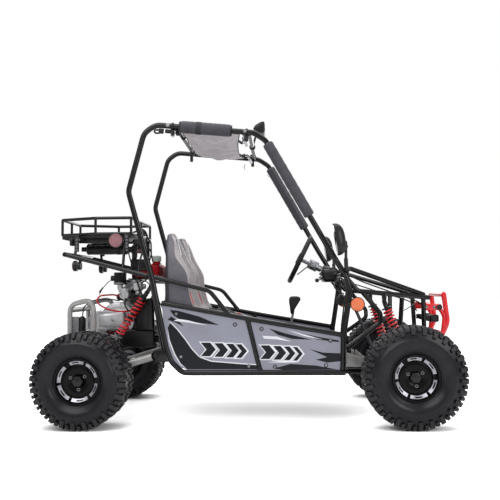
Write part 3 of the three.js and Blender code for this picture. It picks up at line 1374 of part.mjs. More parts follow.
function buildFrontArms() {
  for (const [name, side] of sides) {
    const tip = v(frontAxleX, side * (kingpinHalf - bossRadius / 2), armZ(kingpinHalf - bossRadius / 2));
    const pieces = [];
    for (const offset of [-1, 1]) {
      const x = frontAxleX + offset * armSpread;
      pieces.push(bar(v(x - eyeWidth / 2, side * armPivotHalf, armPivotZ),
        v(x + eyeWidth / 2, side * armPivotHalf, armPivotZ),
        eyeRadius + runGap));
      pieces.push(bar(v(x, side * (armPivotHalf + eyeRadius * 0.6), armZ(armPivotHalf + eyeRadius * 0.6)),
        tip, armTube));
    }
    pieces.push(bar(v(frontAxleX, side * kingpinHalf, kingpinZ - bossHeight / 2),
      v(frontAxleX, side * kingpinHalf, kingpinZ + bossHeight / 2), bossRadius, 8));
    const footHalf = frontShockFootHalf;
    pieces.push(...ears(v(frontShockFootX, side * footHalf, frontShockFootZ),
      v(frontShockFootX, 0, armZ(footHalf))));
    pieces.push(bar(v(frontShockFootX, side * (footHalf - eyeWidth), armZ(footHalf - eyeWidth)),
      v(frontShockFootX, side * (footHalf + eyeWidth), armZ(footHalf + eyeWidth)), armTube));
    const bore = bar(v(frontAxleX, side * kingpinHalf, 0),
      v(frontAxleX, side * kingpinHalf, frontTyreRadius * 2),
      boreOver(kingpinRadius), 8);
    const pivotBore = bar(v(frontAxleX - 2 * armSpread, side * armPivotHalf, armPivotZ),
      v(frontAxleX + 2 * armSpread, side * armPivotHalf, armPivotZ), boreOver(pinRadius), 8);
    addPart(`front_arm_${name}`, cut(unite(pieces), [bore, pivotBore]), frameBlack, 0.35, 0.3);
  }
}

function buildKnuckles() {
  for (const [name, side] of sides) {
    const y = side * kingpinHalf;
    const topZ = kingpinZ + bossHeight / 2 + seatGap;
    const lowZ = kingpinZ - bossHeight / 2 - seatGap;
    const outerY = kingpinHalf + bossRadius + runGap + knucklePlate / 2;
    const spindleEnd = frontTrackHalf + discFace(frontTyreWidth) + axleEndReach / 2;
    const yokeY = side * (kingpinHalf + outerY - bossRadius) / 2;
    const yoke = (z) => block(v(frontAxleX, yokeY, z),
      v(knuckleDepth, outerY - kingpinHalf + bossRadius + knucklePlate, knucklePlate));
    const pieces = [
      yoke(topZ + knucklePlate / 2), yoke(lowZ - knucklePlate / 2),
      block(v(frontAxleX, side * outerY, (topZ + lowZ) / 2),
        v(knuckleDepth, knucklePlate, topZ - lowZ + 2 * knucklePlate)),
      bar(v(frontAxleX, y, lowZ - knucklePlate), v(frontAxleX, y, topZ + knucklePlate), kingpinRadius, 10),
      bar(v(frontAxleX, side * outerY, frontTyreRadius), v(frontAxleX, side * spindleEnd, frontTyreRadius),
        spindleRadius, 12),
    ];
    const armX = frontAxleX - steerArmReach;
    const outline = [[frontAxleX - knuckleDepth / 2 + weldDepth, outerY + knucklePlate / 2],
      [frontAxleX - knuckleDepth / 2 + weldDepth, outerY - knucklePlate / 2 - weldDepth],
      [armX + 2 * tieRodBall, tieRodEndHalf - tieRodBall], [armX - tieRodBall, tieRodEndHalf - tieRodBall],
      [armX - tieRodBall, tieRodEndHalf + tieRodBall]];
    const flat = new THREE.Shape(outline.map(([x, half]) => new THREE.Vector2(x, half)));
    const geometry = new THREE.ExtrudeGeometry(flat, { depth: steerArmThickness, bevelEnabled: false });
    geometry.translate(0, 0, steerArmZ - steerArmThickness / 2);
    let steerArm = toSolid(geometry);
    if (side < 0) steerArm = steerArm.mirror([0, 1, 0]);
    pieces.push(steerArm);
    addPart(`front_knuckle_${name}`, unite(pieces), steelGrey, 0.45, 0.6);
  }
}

function buildSteering() {
  const rackX = frontAxleX - steerArmReach;
  const cups = [-1, 1].map((side) => bar(v(rackX - 2 * tieRodBall, side * armPivotHalf, armPivotZ),
    v(rackX + 2 * tieRodBall, side * armPivotHalf, armPivotZ), boreOver(tieRodBall, 10), 10));
  const rackBar = bar(v(rackX, -armPivotHalf, armPivotZ), v(rackX, armPivotHalf, armPivotZ), rackBarRadius,
    10);
  addPart('steering_rack_bar', cut(rackBar, cups), steelGrey, 0.3, 0.9);
  for (const [name, side] of sides) {
    const inner = v(rackX, side * armPivotHalf, armPivotZ);
    const outer = v(rackX, side * tieRodEndHalf, armZ(tieRodEndHalf));
    const along = outer.clone().sub(inner).normalize();
    const innerEye = bar(inner.clone().add(v(-tieRodBall, 0, 0)), inner.clone().add(v(tieRodBall, 0, 0)),
      tieRodBall, 10);
    const outerEye = bar(outer.clone().addScaledVector(along, -tieRodBall),
      outer.clone().addScaledVector(along, tieRodBall),
      tieRodBall, 8);
    addPart(`tie_rod_${name}`, unite([bar(inner, outer, tieRodRadius), innerEye, outerEye]), steelGrey,
      0.35, 0.8);
  }
  const axis = steeringAxis();
  const hub = steeringHub();
  const group = new THREE.Group();
  group.position.copy(hub);
  group.quaternion.setFromUnitVectors(v(0, 0, -1), axis);
  kart.add(group);
  const rim = toSolid(new THREE.TorusGeometry(steeringRimRadius, steeringRimTube, 6, 16));
  const dish = steeringShaftRadius * 2;
  const spokes = [0, 2 / 3, 4 / 3].map((turns) => {
    const angle = turns * Math.PI + Math.PI / 2;
    return bar(v(0, 0, -dish), v(steeringRimRadius * Math.cos(angle), steeringRimRadius * Math.sin(angle), 0),
      steeringRimTube * 0.7, 4);
  });
  const boss = bar(v(0, 0, -dish * 1.8), v(0, 0, -dish * 0.2), steeringShaftRadius * 3, 10);
  const shaft = bar(v(0, 0, -dish), v(0, 0, -steeringShaftLength), steeringShaftRadius, 12);
  addPart('steering_wheel', unite([rim, ...spokes, boss, shaft]), plasticBlack, 0.55, 0, group);

  const joint = hub.clone().addScaledVector(axis, steeringShaftLength + lowerShaftGap);
  const foot = v(rackX, rackSleeveHalf / 2, armPivotZ + rackSleeveRadius + lowerShaftRadius * shaftFootShare);
  addPart('steering_lower_shaft', bar(joint, foot, lowerShaftRadius, 10), steelGrey, 0.4, 0.7);
}

function steeringAxis() {
  const rake = steeringRake * Math.PI / 180;
  return v(Math.sin(rake), 0, -Math.cos(rake));
}

function steeringHub() {
  return v(steeringHubX, steeringY, steeringHubZ);
}

function buildPedals() {
  for (const [name, y] of [['brake_pedal', brakePedalY], ['throttle_pedal', throttlePedalY]]) {
    const lean = pedalArm * 0.18;
    const top = v(pedalPivotX - lean, y, pedalPivotZ + pedalArm);
    const pieces = [
      bar(v(pedalPivotX, y - pedalHubHalf, pedalPivotZ), v(pedalPivotX, y + pedalHubHalf, pedalPivotZ),
        pedalBar, 10),
      bar(v(pedalPivotX, y, pedalPivotZ), top, pedalBar * 0.8, 8),
      block(v(top.x - pedalBar, y, top.z), v(pedalBar, pedalPadWidth, pedalPadHeight)),
    ];
    addPart(name, unite(pieces), steelGrey, 0.5, 0.5);
  }
}

function buildLever() {
  const pivotHalf = leverBracketWidth / 2 - floorPanThickness - runGap / 2;
  const knob = v(leverKnobX, 0, leverKnobZ);
  const pivot = v(leverBracketX, 0, leverPivotZ);
  const along = knob.clone().sub(pivot).normalize();
  const pieces = [
    bar(v(leverBracketX, -pivotHalf, leverPivotZ), v(leverBracketX, pivotHalf, leverPivotZ),
      leverShaft * 1.6, 10),
    bar(pivot, knob, leverShaft, 8),
    bar(knob.clone().addScaledVector(along, -leverKnobRadius * 2.2), knob, leverKnobRadius * 0.7, 8),
    bar(knob.clone().addScaledVector(along, -leverKnobRadius),
      knob.clone().addScaledVector(along, leverKnobRadius * 1.2),
      leverKnobRadius, 10),
  ];
  addPart('gear_lever', unite(pieces), plasticBlack, 0.5, 0.1);
}

// Door mirrors: an upright shell with its flat glass to the rear, on a pivot at its middle
function buildMirrors() {
  for (const [name, side] of sides) {
    const rings = [];
    const depthShares = [0, 0.35, 0.75, 1];
    const sizeShares = [1, 1, 0.86, 0.5];
    const roundness = 0.7;
    const centreX = mirrorPivotX - mirrorArmTube - seatGap - mirrorDepth;
    const count = 12;
    for (let i = 0; i < depthShares.length; i += 1) {
      rings.push(Array.from({ length: count }, (_, k) => {
        const angle = (k / count) * 2 * Math.PI;
        const wide = Math.sign(Math.cos(angle)) * Math.abs(Math.cos(angle)) ** roundness;
        const high = Math.sign(Math.sin(angle)) * Math.abs(Math.sin(angle)) ** roundness;
        const rise = high * mirrorHeight / 2 * sizeShares[i] + mirrorRise;
        return v(centreX + mirrorDepth * depthShares[i] - mirrorLeanShare * (rise + mirrorArmTube),
          side * mirrorPivotY + wide * mirrorWidth / 2 * sizeShares[i], mirrorPivotZ + rise);
      }));
    }
    addPart(`door_mirror_${name}`, loft(rings), plasticBlack, 0.4, 0.1);
  }
}

buildHoops();
buildFloor();
buildSideFrames();
buildPanels();
buildNoseUpper();
buildNoseLower();
buildRearSubframe();
buildCargoRack();
buildBumper();
buildGuard();
buildSeats();
buildCanopy();
buildPads();
buildEngine();
buildExhaust();
buildTank();
buildSwingarm();
buildRearAxle();
buildChain();
buildWheels();
buildShocks();
buildFrontArms();
buildKnuckles();
buildSteering();
buildPedals();
buildLever();
buildMirrors();

export default kart;
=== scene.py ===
import math

import bmesh
import bpy
from mathutils import Matrix, Vector


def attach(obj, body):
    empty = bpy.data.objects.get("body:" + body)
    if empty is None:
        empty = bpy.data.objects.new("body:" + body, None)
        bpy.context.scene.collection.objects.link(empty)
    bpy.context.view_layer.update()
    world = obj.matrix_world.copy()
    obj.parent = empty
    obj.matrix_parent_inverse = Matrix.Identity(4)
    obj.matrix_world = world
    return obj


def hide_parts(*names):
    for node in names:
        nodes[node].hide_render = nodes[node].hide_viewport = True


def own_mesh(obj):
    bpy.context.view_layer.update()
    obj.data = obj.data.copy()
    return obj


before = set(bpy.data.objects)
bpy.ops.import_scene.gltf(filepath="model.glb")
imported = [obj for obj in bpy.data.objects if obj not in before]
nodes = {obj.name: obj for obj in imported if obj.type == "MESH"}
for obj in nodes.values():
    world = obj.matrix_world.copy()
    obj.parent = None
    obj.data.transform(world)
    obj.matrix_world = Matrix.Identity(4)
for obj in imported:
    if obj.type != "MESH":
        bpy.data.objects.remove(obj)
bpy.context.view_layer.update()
sides = (("right", -1), ("left", 1))

# Camera, solved from the photograph. Places below are in millimetres: x forward, y left, z up.
camera = {"place": (160.8, -3851.7, 652.7), "lens": 51.35, "yaw": 2.586, "pitch": 3.037, "roll": -0.412}


def makeCamera():
    yaw, pitch, roll = (math.radians(camera[key]) for key in ("yaw", "pitch", "roll"))
    look = Vector((-math.sin(yaw) * math.cos(pitch), math.cos(yaw) * math.cos(pitch), math.sin(pitch)))
    level = Vector((math.cos(yaw), math.sin(yaw), 0))
    upright = level.cross(look)
    right = level * math.cos(roll) + upright * math.sin(roll)
    up = upright * math.cos(roll) - level * math.sin(roll)
    eye = bpy.data.objects.new("camera", bpy.data.cameras.new("camera"))
    eye.data.lens = camera["lens"]
    eye.data.sensor_width = 36
    turn = Matrix((right, up, -look)).transposed().to_4x4()
    eye.matrix_world = Matrix.Translation(Vector(camera["place"]) * 0.001) @ turn
    bpy.context.scene.collection.objects.link(eye)
    bpy.context.scene.camera = eye


makeCamera()
print("camera placed")


# Nodes and finishes
def srgb(code):
    values = [int(code[i:i + 2], 16) / 255 for i in (1, 3, 5)]
    return tuple(v / 12.92 if v <= 0.04045 else ((v + 0.055) / 1.055) ** 2.4 for v in values) + (1.0,)


def addNode(tree, kind, values=(), links=(), **settings):
    node = tree.nodes.new("ShaderNode" + kind)
    for key, value in settings.items():
        setattr(node, key, value)
    for key, value in dict(values).items():
        node.inputs[key].default_value = value
    for key, source in dict(links).items():
        tree.links.new(source, node.inputs[key])
    return node


def surface(base, tint, rough, patch, grain, bump, **more):
    # Two colours, the roughness, the size of the patches, then the size and strength of the fine relief
    return {"base": base, "tint": tint, "rough": rough, "patch": patch, "grain": grain, "bump": bump, **more}


# What each surface is, and how it was made. Sizes of patterns are in millimetres.
finishes = {
    # Black powder coat: even and glossy, with a fine orange peel and a little dust
    "powderCoat": surface("#070708", "#101012", 0.24, 90, 1.6, 0.1, coat=0.12, shine=0.34),
    # The same coat where it is walked on or bolted: duller
    "scuffedCoat": surface("#0c0c0e", "#222225", 0.42, 35, 2.2, 0.3, shine=0.35),
    # Printed vinyl film on sheet metal: satin, smooth, faintly uneven
    "greyFilm": surface("#8f909e", "#83848f", 0.34, 160, 5, 0.03, metal=0.2),
    "navyFilm": surface("#0a0c13", "#10121b", 0.3, 120, 5, 0.03, shine=0.3),
    "paleFilm": surface("#dfe0e6", "#d3d4db", 0.3, 120, 5, 0.03),
    # Red enamel, baked on steel
    "redEnamel": surface("#ea1a24", "#c8141d", 0.26, 70, 1.8, 0.08, coat=0.5),
    "springEnamel": surface("#e01c26", "#c5141d", 0.28, 18, 1.5, 0.1, coat=0.4),
    # Silver paint: metal flake in a clear coat, soft highlight
    "silverPaint": surface("#a9a8a6", "#969594", 0.4, 60, 0.8, 0.1, metal=0.35, coat=0.15),
    # Die-cast aluminium: pale, slightly rough skin, darker in random patches
    "castAlloy": surface("#d3d3d5", "#b4b4b7", 0.4, 34, 1.3, 0.3, metal=0.7),
    "machinedAlloy": surface("#b0b0b7", "#93939b", 0.32, 14, 0.7, 0.12, metal=0.9, pattern="brushed"),
    # Zinc-plated steel: bolts, rods and brackets
    "zincSteel": surface("#a3a4a8", "#7d7e83", 0.32, 12, 0.9, 0.15, metal=0.95),
    "darkCasting": surface("#2b2b2e", "#1f1f22", 0.42, 40, 1.4, 0.3, metal=0.4),
    "greyMoulding": surface("#7d7d80", "#6b6b6e", 0.4, 24, 1, 0.2),
    "darkSteel": surface("#4b4b50", "#2f2f33", 0.4, 30, 1.2, 0.25, metal=0.85),
    "chainSteel": surface("#5a5650", "#2c2a28", 0.38, 6, 0.9, 0.3, metal=0.9),
    # Gloss black lacquer on the wheels
    "wheelLacquer": surface("#040405", "#08080a", 0.2, 40, 1.6, 0.05, coat=0.02, shine=0.14),
    # Tyre rubber: dusty black with mould sheen
    "tyreRubber": surface("#0f0d12", "#19161d", 0.3, 30, 1.4, 0.22, shine=0.3),
    "treadRubber": surface("#0f0e11", "#201f24", 0.46, 12, 1.2, 0.5, shine=0.42),
    # Moulded polypropylene and ABS, spark-eroded skin
    "blackMoulding": surface("#0b0b0d", "#151517", 0.36, 30, 0.9, 0.25, shine=0.4),
    "gripRubber": surface("#0d0d0f", "#19191b", 0.5, 16, 2.4, 0.5, pattern="cells", shine=0.4),
    "redTank": surface("#b3101c", "#8d0c16", 0.5, 40, 1.2, 0.12, shine=0.2),
    "paleCap": surface("#d9e0da", "#c2ccc4", 0.4, 14, 1.2, 0.2),
    # Sewn vinyl over foam: pebbled grain
    "greyVinyl": surface("#a8a2a4", "#9b9597", 0.46, 45, 2.6, 0.3, pattern="cells"),
    "charcoalVinyl": surface("#5c5a62", "#504f56", 0.38, 45, 2.6, 0.3, pattern="cells"),
    "rearVinyl": surface("#2f2e34", "#3a3940", 0.36, 45, 2.6, 0.25, pattern="cells"),
    "redVinyl": surface("#e0414b", "#c9343e", 0.42, 30, 2.6, 0.3, pattern="cells"),
    # Coated polyester cloth, plain weave, drawn coarser than it is so that it shows
    "canopyCloth": surface("#c2bcc0", "#b0aaaf", 0.72, 70, 2.4, 0.3, pattern="weave", sheen=0.2),
    # Nylon sleeve over foam
    "padCloth": surface("#3b3941", "#302f36", 0.62, 40, 2.4, 0.35, pattern="weave", sheen=0.15),
    "strapCloth": surface("#18181b", "#242428", 0.6, 20, 2.2, 0.5, pattern="weave"),
    # Heat-proof paint on the silencer
    "heatPaint": surface("#0f0f11", "#1c1b1c", 0.42, 45, 1.4, 0.3, metal=0.2, shine=0.4),
    # Lamp and reflector plastics
    "amberLens": surface("#e8835a", "#d66f47", 0.25, 8, 3.2, 0.5, pattern="cells"),
    "redLens": surface("#9a7075", "#875c62", 0.3, 8, 3.2, 0.5, pattern="cells"),
    "tailLens": surface("#5c1a22", "#47131a", 0.25, 8, 3.2, 0.4, pattern="cells"),
    "clearLens": surface("#c9ccd0", "#aeb1b6", 0.14, 10, 4, 0.4, pattern="cells"),
    "mirrorGlass": surface("#dfe3e8", "#d3d8de", 0.04, 60, 8, 0.01, metal=1.0),
    "redLead": surface("#c8101c", "#a60d17", 0.4, 20, 1.5, 0.1),
    "darkRedPlate": surface("#5d1620", "#45101a", 0.35, 20, 2, 0.1),
}


def makeFinish(name, look):
    material = bpy.data.materials.new(name)
    material.use_nodes = True
    tree = material.node_tree
    shader = tree.nodes["Principled BSDF"]
    shader.inputs["Metallic"].default_value = look.get("metal", 0)
    shader.inputs["Coat Weight"].default_value = look.get("coat", 0)
    shader.inputs["Coat Roughness"].default_value = 0.15
    shader.inputs["Specular IOR Level"].default_value = look.get("shine", 0.5)
    shader.inputs["Sheen Weight"].default_value = look.get("sheen", 0)
    material.diffuse_color = srgb(look["base"])
    place = addNode(tree, "TexCoord").outputs["Object"]
    patch = addNode(tree, "TexNoise", {"Scale": 1000 / look["patch"], "Detail": 4, "Roughness": 0.6},
                    {"Vector": place})
    ramp = addNode(tree, "ValToRGB", links={"Fac": patch.outputs["Fac"]})
    ramp.color_ramp.elements[0].position = 0.35
    ramp.color_ramp.elements[1].position = 0.7
    ramp.color_ramp.elements[0].color = srgb(look["base"])
    ramp.color_ramp.elements[1].color = srgb(look["tint"])
    tree.links.new(ramp.outputs["Color"], shader.inputs["Base Color"])
    spread = addNode(tree, "MapRange", {"To Min": look["rough"] * 0.85, "To Max": look["rough"] * 1.2},
                     {"Value": patch.outputs["Fac"]})
    tree.links.new(spread.outputs["Result"], shader.inputs["Roughness"])
    pattern, scale = look.get("pattern", "noise"), 1000 / look["grain"]
    if pattern == "cells":
        fine = addNode(tree, "TexVoronoi", {"Scale": scale}, {"Vector": place},
                       feature="SMOOTH_F1").outputs["Distance"]
    elif pattern == "weave":
        waves = [addNode(tree, "TexWave", {"Scale": scale / 6.3, "Distortion": 0.4, "Detail": 1},
                         {"Vector": place}, bands_direction=way).outputs["Fac"] for way in ("X", "Y")]
        fine = addNode(tree, "Math", links={0: waves[0], 1: waves[1]}, operation="MULTIPLY").outputs["Value"]
    else:
        stretch = (1, 12, 12) if pattern == "brushed" else (1, 1, 1)
        mapped = addNode(tree, "Mapping", {"Scale": stretch}, {"Vector": place}).outputs["Vector"]
        fine = addNode(tree, "TexNoise", {"Scale": scale, "Detail": 2}, {"Vector": mapped}).outputs["Fac"]
    relief = addNode(tree, "Bump", {"Strength": look["bump"], "Distance": look["grain"] * 0.0003},
                     {"Height": fine})
    tree.links.new(relief.outputs["Normal"], shader.inputs["Normal"])
    return material


finish = {name: makeFinish(name, look) for name, look in finishes.items()}
print(len(finish), "finishes made")


# Shapes, each made on its own and then put in its place in the piece's bmesh
def towards(centre, axis):
    return Matrix.Translation(Vector(centre)) @ Vector(axis).to_track_quat("Z", "Y").to_matrix().to_4x4()


def meshFrom(bm, name):
    mesh = bpy.data.meshes.new(name)
    bm.to_mesh(mesh)
    bm.free()
    return mesh


def bevelAll(bm, edge, rounds=1):
    bmesh.ops.bevel(bm, geom=bm.edges[:], offset=edge, offset_type="OFFSET", segments=rounds, profile=0.5,
                    affect="EDGES", material=-1)


def join(bm, part, place=Matrix.Identity(4), slot=0):
    bmesh.ops.remove_doubles(part, verts=part.verts, dist=0.005)
    bmesh.ops.recalc_face_normals(part, faces=part.faces)
    bmesh.ops.transform(part, matrix=place, verts=part.verts)
    for face in part.faces:
        face.material_index = slot
    mesh = meshFrom(part, "part")
    bm.from_mesh(mesh)
    bpy.data.meshes.remove(mesh)


def band(bore, radius, low, high):
    # Closed profile of a plain ring
    return [(bore, low), (radius, low), (radius, high), (bore, high), (bore, low)]


def bush(bore, radius, low, high, edge=0.5, run=1):
    # The same with both outer edges broken
    return [(bore, low), (radius - edge, low), (radius, low + run), (radius, high - run),
            (radius - edge, high), (bore, high), (bore, low)]


def addTurned(bm, profile, centre, axis, steps=48, slot=0, angle=360, start=0):
    part = bmesh.new()
    spin = Matrix.Rotation(math.radians(start), 3, "Z")
    verts = [part.verts.new(spin @ Vector((radius, 0, along))) for radius, along in profile]
    for pair in zip(verts, verts[1:]):
        part.edges.new(pair)
    closed = profile[0] == profile[-1]
    if closed:
        bmesh.ops.remove_doubles(part, verts=part.verts, dist=0.0001)
    geometry = list(part.verts) + list(part.edges)
    if angle < 360 and closed:
        geometry.append(bmesh.ops.contextual_create(part, geom=part.edges[:])["faces"][0])
    bmesh.ops.spin(part, geom=geometry, cent=(0, 0, 0), axis=(0, 0, 1), angle=math.radians(angle),
                   steps=steps, use_merge=angle == 360)
    join(bm, part, towards(centre, axis), slot)


def addRod(bm, start, end, radius, steps=20, edge=0.6, slot=0):
    length = (Vector(end) - Vector(start)).length
    profile = [(0, 0), (radius - edge, 0), (radius, edge), (radius, length - edge), (radius - edge, length),
               (0, length)]
    addTurned(bm, profile, start, Vector(end) - Vector(start), steps, slot)


def addBlock(bm, centre, size, edge=2, turn=(0, 0, 0), slot=0, rounds=2):
    part = bmesh.new()
    bmesh.ops.create_cube(part, size=1)
    bmesh.ops.scale(part, vec=size, verts=part.verts)
    bevelAll(part, min(edge, min(size) * 0.45), rounds)
    spin = Matrix.Rotation(math.radians(turn[2]), 4, "Z") @ Matrix.Rotation(math.radians(turn[1]), 4, "Y") \
        @ Matrix.Rotation(math.radians(turn[0]), 4, "X")
    join(bm, part, Matrix.Translation(Vector(centre)) @ spin, slot)


def addSheet(bm, outline, low, high, edge=0.5, slot=0, place=Matrix.Identity(4), rounds=2):
    # A flat outline in x and z, from y = low to y = high
    part = bmesh.new()
    face = part.faces.new([part.verts.new((x, low, z)) for x, z in outline])
    pushed = bmesh.ops.extrude_face_region(part, geom=[face])["geom"]
    bmesh.ops.translate(part, vec=(0, high - low, 0),
                        verts=[v for v in pushed if isinstance(v, bmesh.types.BMVert)])
    if edge:
        bevelAll(part, edge, rounds)
    join(bm, part, place, slot)


def rounded(points, bend):
    points = [Vector(p) for p in points]
    path = [points[0]]
    for before, here, after in zip(points, points[1:], points[2:]):
        back, on = (before - here), (after - here)
        turn = math.pi - back.angle(on)
        reach = min(bend * math.tan(turn / 2), 0.48 * min(back.length, on.length))
        enter, leave = here + back.normalized() * reach, here + on.normalized() * reach
        steps = max(2, round(turn / 0.12))
        for k in range(steps + 1):
            t = k / steps
            path.append(enter * (1 - t) ** 2 + here * 2 * t * (1 - t) + leave * t ** 2)
    path.append(points[-1])
    return path


def addTubes(bm, runs, slot=0, fine=4, closed=False):
    # Each run is its points, its radius and the radius of its bends
    curve = bpy.data.curves.new("run", "CURVE")
    curve.dimensions, curve.bevel_depth, curve.bevel_resolution, curve.use_fill_caps = "3D", 1, fine, True
    for points, radius, bend in runs:
        path = rounded(points, bend) if bend else [Vector(p) for p in points]
        spline = curve.splines.new("POLY")
        spline.use_cyclic_u = closed
        spline.points.add(len(path) - 1)
        for point, place in zip(spline.points, path):
            point.co = (*place, 1)
            point.radius = radius
    holder = bpy.data.objects.new("run", curve)
    bpy.context.scene.collection.objects.link(holder)
    mesh = bpy.data.meshes.new_from_object(holder)
    bpy.data.objects.remove(holder)
    bpy.data.curves.remove(curve)
    part = bmesh.new()
    part.from_mesh(mesh)
    bpy.data.meshes.remove(mesh)
    join(bm, part, slot=slot)


def crossTube(x, z, half, radius):
    # A run for addTubes, straight across the kart
    return [(x, -half, z), (x, half, z)], radius, 0


def inPlane(points, y):
    return [(x, y, z) for x, z in points]


def mirrored(points, side):
    return [(x, side * y, z) for x, y, z in points]


def addWelds(bm, spots, slot=0):
    # A bead round a tube's end: its place, the tube's direction and radius
    for centre, axis, radius in spots:
        ring = [(radius + 1.2 + 1.9 * math.cos(a), 1.9 * math.sin(a))
                for a in [k * math.pi / 3 for k in range(6)]]
        addTurned(bm, ring + ring[:1], centre, axis, 24, slot)


def addBolt(bm, centre, axis, size=6, slot=0, washer=True):
    axis = Vector(axis).normalized()
    if washer:
        addTurned(bm, [(0, 0), (size * 1.15, 0), (size * 1.15, size * 0.16), (0, size * 0.16)], centre,
                  axis, 20, slot)
    head = [(0, 0), (size * 0.95, 0), (size * 0.95, size * 0.5), (size * 0.8, size * 0.62), (0, size * 0.62)]
    addTurned(bm, head, Vector(centre) + axis * (size * 0.14 if washer else 0), axis, 6, slot)


def finishPiece(name, bm, looks, body="frame", stands=(), crease=38, smooth=True):
    # From millimetres to metres, and onto its body
    bmesh.ops.transform(bm, matrix=Matrix.Scale(0.001, 4), verts=bm.verts)
    mesh = meshFrom(bm, name)
    for look in ([looks] if isinstance(looks, str) else looks):
        mesh.materials.append(finish[look])
    if smooth:
        mesh.shade_smooth()
        mesh.set_sharp_from_angle(angle=math.radians(crease))
    piece = bpy.data.objects.new(name, mesh)
    bpy.context.scene.collection.objects.link(piece)
    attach(piece, body)
    if stands:
        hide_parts(*([stands] if isinstance(stands, str) else stands))
    return piece


def mix(a, b, share):
    return a + (b - a) * share


def tableAt(table, t):
    # A smooth curve through evenly spaced values
    place = max(0.0, min(1.0, t)) * (len(table) - 1)
    i = min(int(place), len(table) - 2)
    u = place - i
    p = [table[max(0, min(len(table) - 1, k))] for k in (i - 1, i, i + 1, i + 2)]
    return 0.5 * (2 * p[1] + (p[2] - p[0]) * u + (2 * p[0] - 5 * p[1] + 4 * p[2] - p[3]) * u ** 2
                  + (3 * p[1] - p[0] - 3 * p[2] + p[3]) * u ** 3)


# Welded frame
cage = {"half": 372, "tube": 14, "bend": 75, "sill": 242, "roofFront": (26, 1417), "roofRear": (-462, 1464)}


def roofZ(x):
    (frontX, frontZ), (rearX, rearZ) = cage["roofFront"], cage["roofRear"]
    return mix(rearZ, frontZ, (x - rearX) / (frontX - rearX))


hoop = {"points": [(-286, 242), (-330, 243), (-384, 295), (-410, 365), (-479, 700), (-597, 1132),
                   (-519, 1422), (-462, 1464), (26, 1417), (84, 1378), (379, 856), (472, 700), (488, 636),
                   (453, 419), (448, 256)],
        "bars": (-360, 4), "barTube": 12}


def buildHoops():
    for name, side in sides:
        bm = bmesh.new()
        y = side * cage["half"]
        addTubes(bm, [(inPlane(hoop["points"], y), cage["tube"], cage["bend"])], fine=6)
        addWelds(bm, [((448, y, 262), (0, 0, 1), cage["tube"])])
        finishPiece(f"hoop_tube_{name}", bm, "powderCoat", "frame", f"roll_hoop_{name}")
    bm = bmesh.new()
    reach = cage["half"] - cage["tube"] + 3
    for x in hoop["bars"]:
        addTubes(bm, [crossTube(x, roofZ(x), reach, hoop["barTube"])], fine=6)
        addWelds(bm, [((x, side * (reach - 4), roofZ(x)), (0, 1, 0), hoop["barTube"]) for _, side in sides])
    finishPiece("roof_bars", bm, "powderCoat")
    bm = bmesh.new()
    for x in (-398, -15):   # bolts that hold the canopy's hooks to the roof rails
        for _, side in sides:
            addBolt(bm, (x, side * (cage["half"] + 12.5), roofZ(x) + 2), (0, side, 0), 9)
    finishPiece("roof_rail_bolts", bm, "zincSteel")


sideRails = {"tube": 12, "armTube": 11, "top": [(-432, 582), (51, 492), (450, 423)],
             "divider": [(-11, 503.5), (51, 242)],
             "arm": [(-469, 709), (-196, 640), (-99, 519)]}


def buildSideFrames():
    for name, side in sides:
        bm = bmesh.new()
        y = side * cage["half"]
        tube, armTube = sideRails["tube"], sideRails["armTube"]
        addTubes(bm, [(inPlane(sideRails["top"], y), tube, 60), (inPlane(sideRails["divider"], y), tube, 0),
                      (inPlane(sideRails["arm"], y), armTube, 70)], fine=6)
        addWelds(bm, [((-420, y, 580), (1, 0, -0.19), tube), ((438, y, 425), (1, 0, -0.17), tube),
                      ((-8, y, 491), (0.23, 0, -1), tube), ((48, y, 256), (0.23, 0, -1), tube),
                      ((-456, y, 706), (1, 0, -0.25), armTube), ((-107, y, 530), (0.6, 0, -0.8), armTube)])
        finishPiece(f"side_rails_{name}", bm, "powderCoat", "frame", f"side_frame_{name}")


floor = {"tube": 13, "cross": (-262, 80, 430), "pan": ((-281, 441), 350), "toe": ((441, 585), 236),
         "panZ": 252.4, "seatBars": ((-232, 428), (-30, 392)), "seatLegs": (-330, 0, 330)}


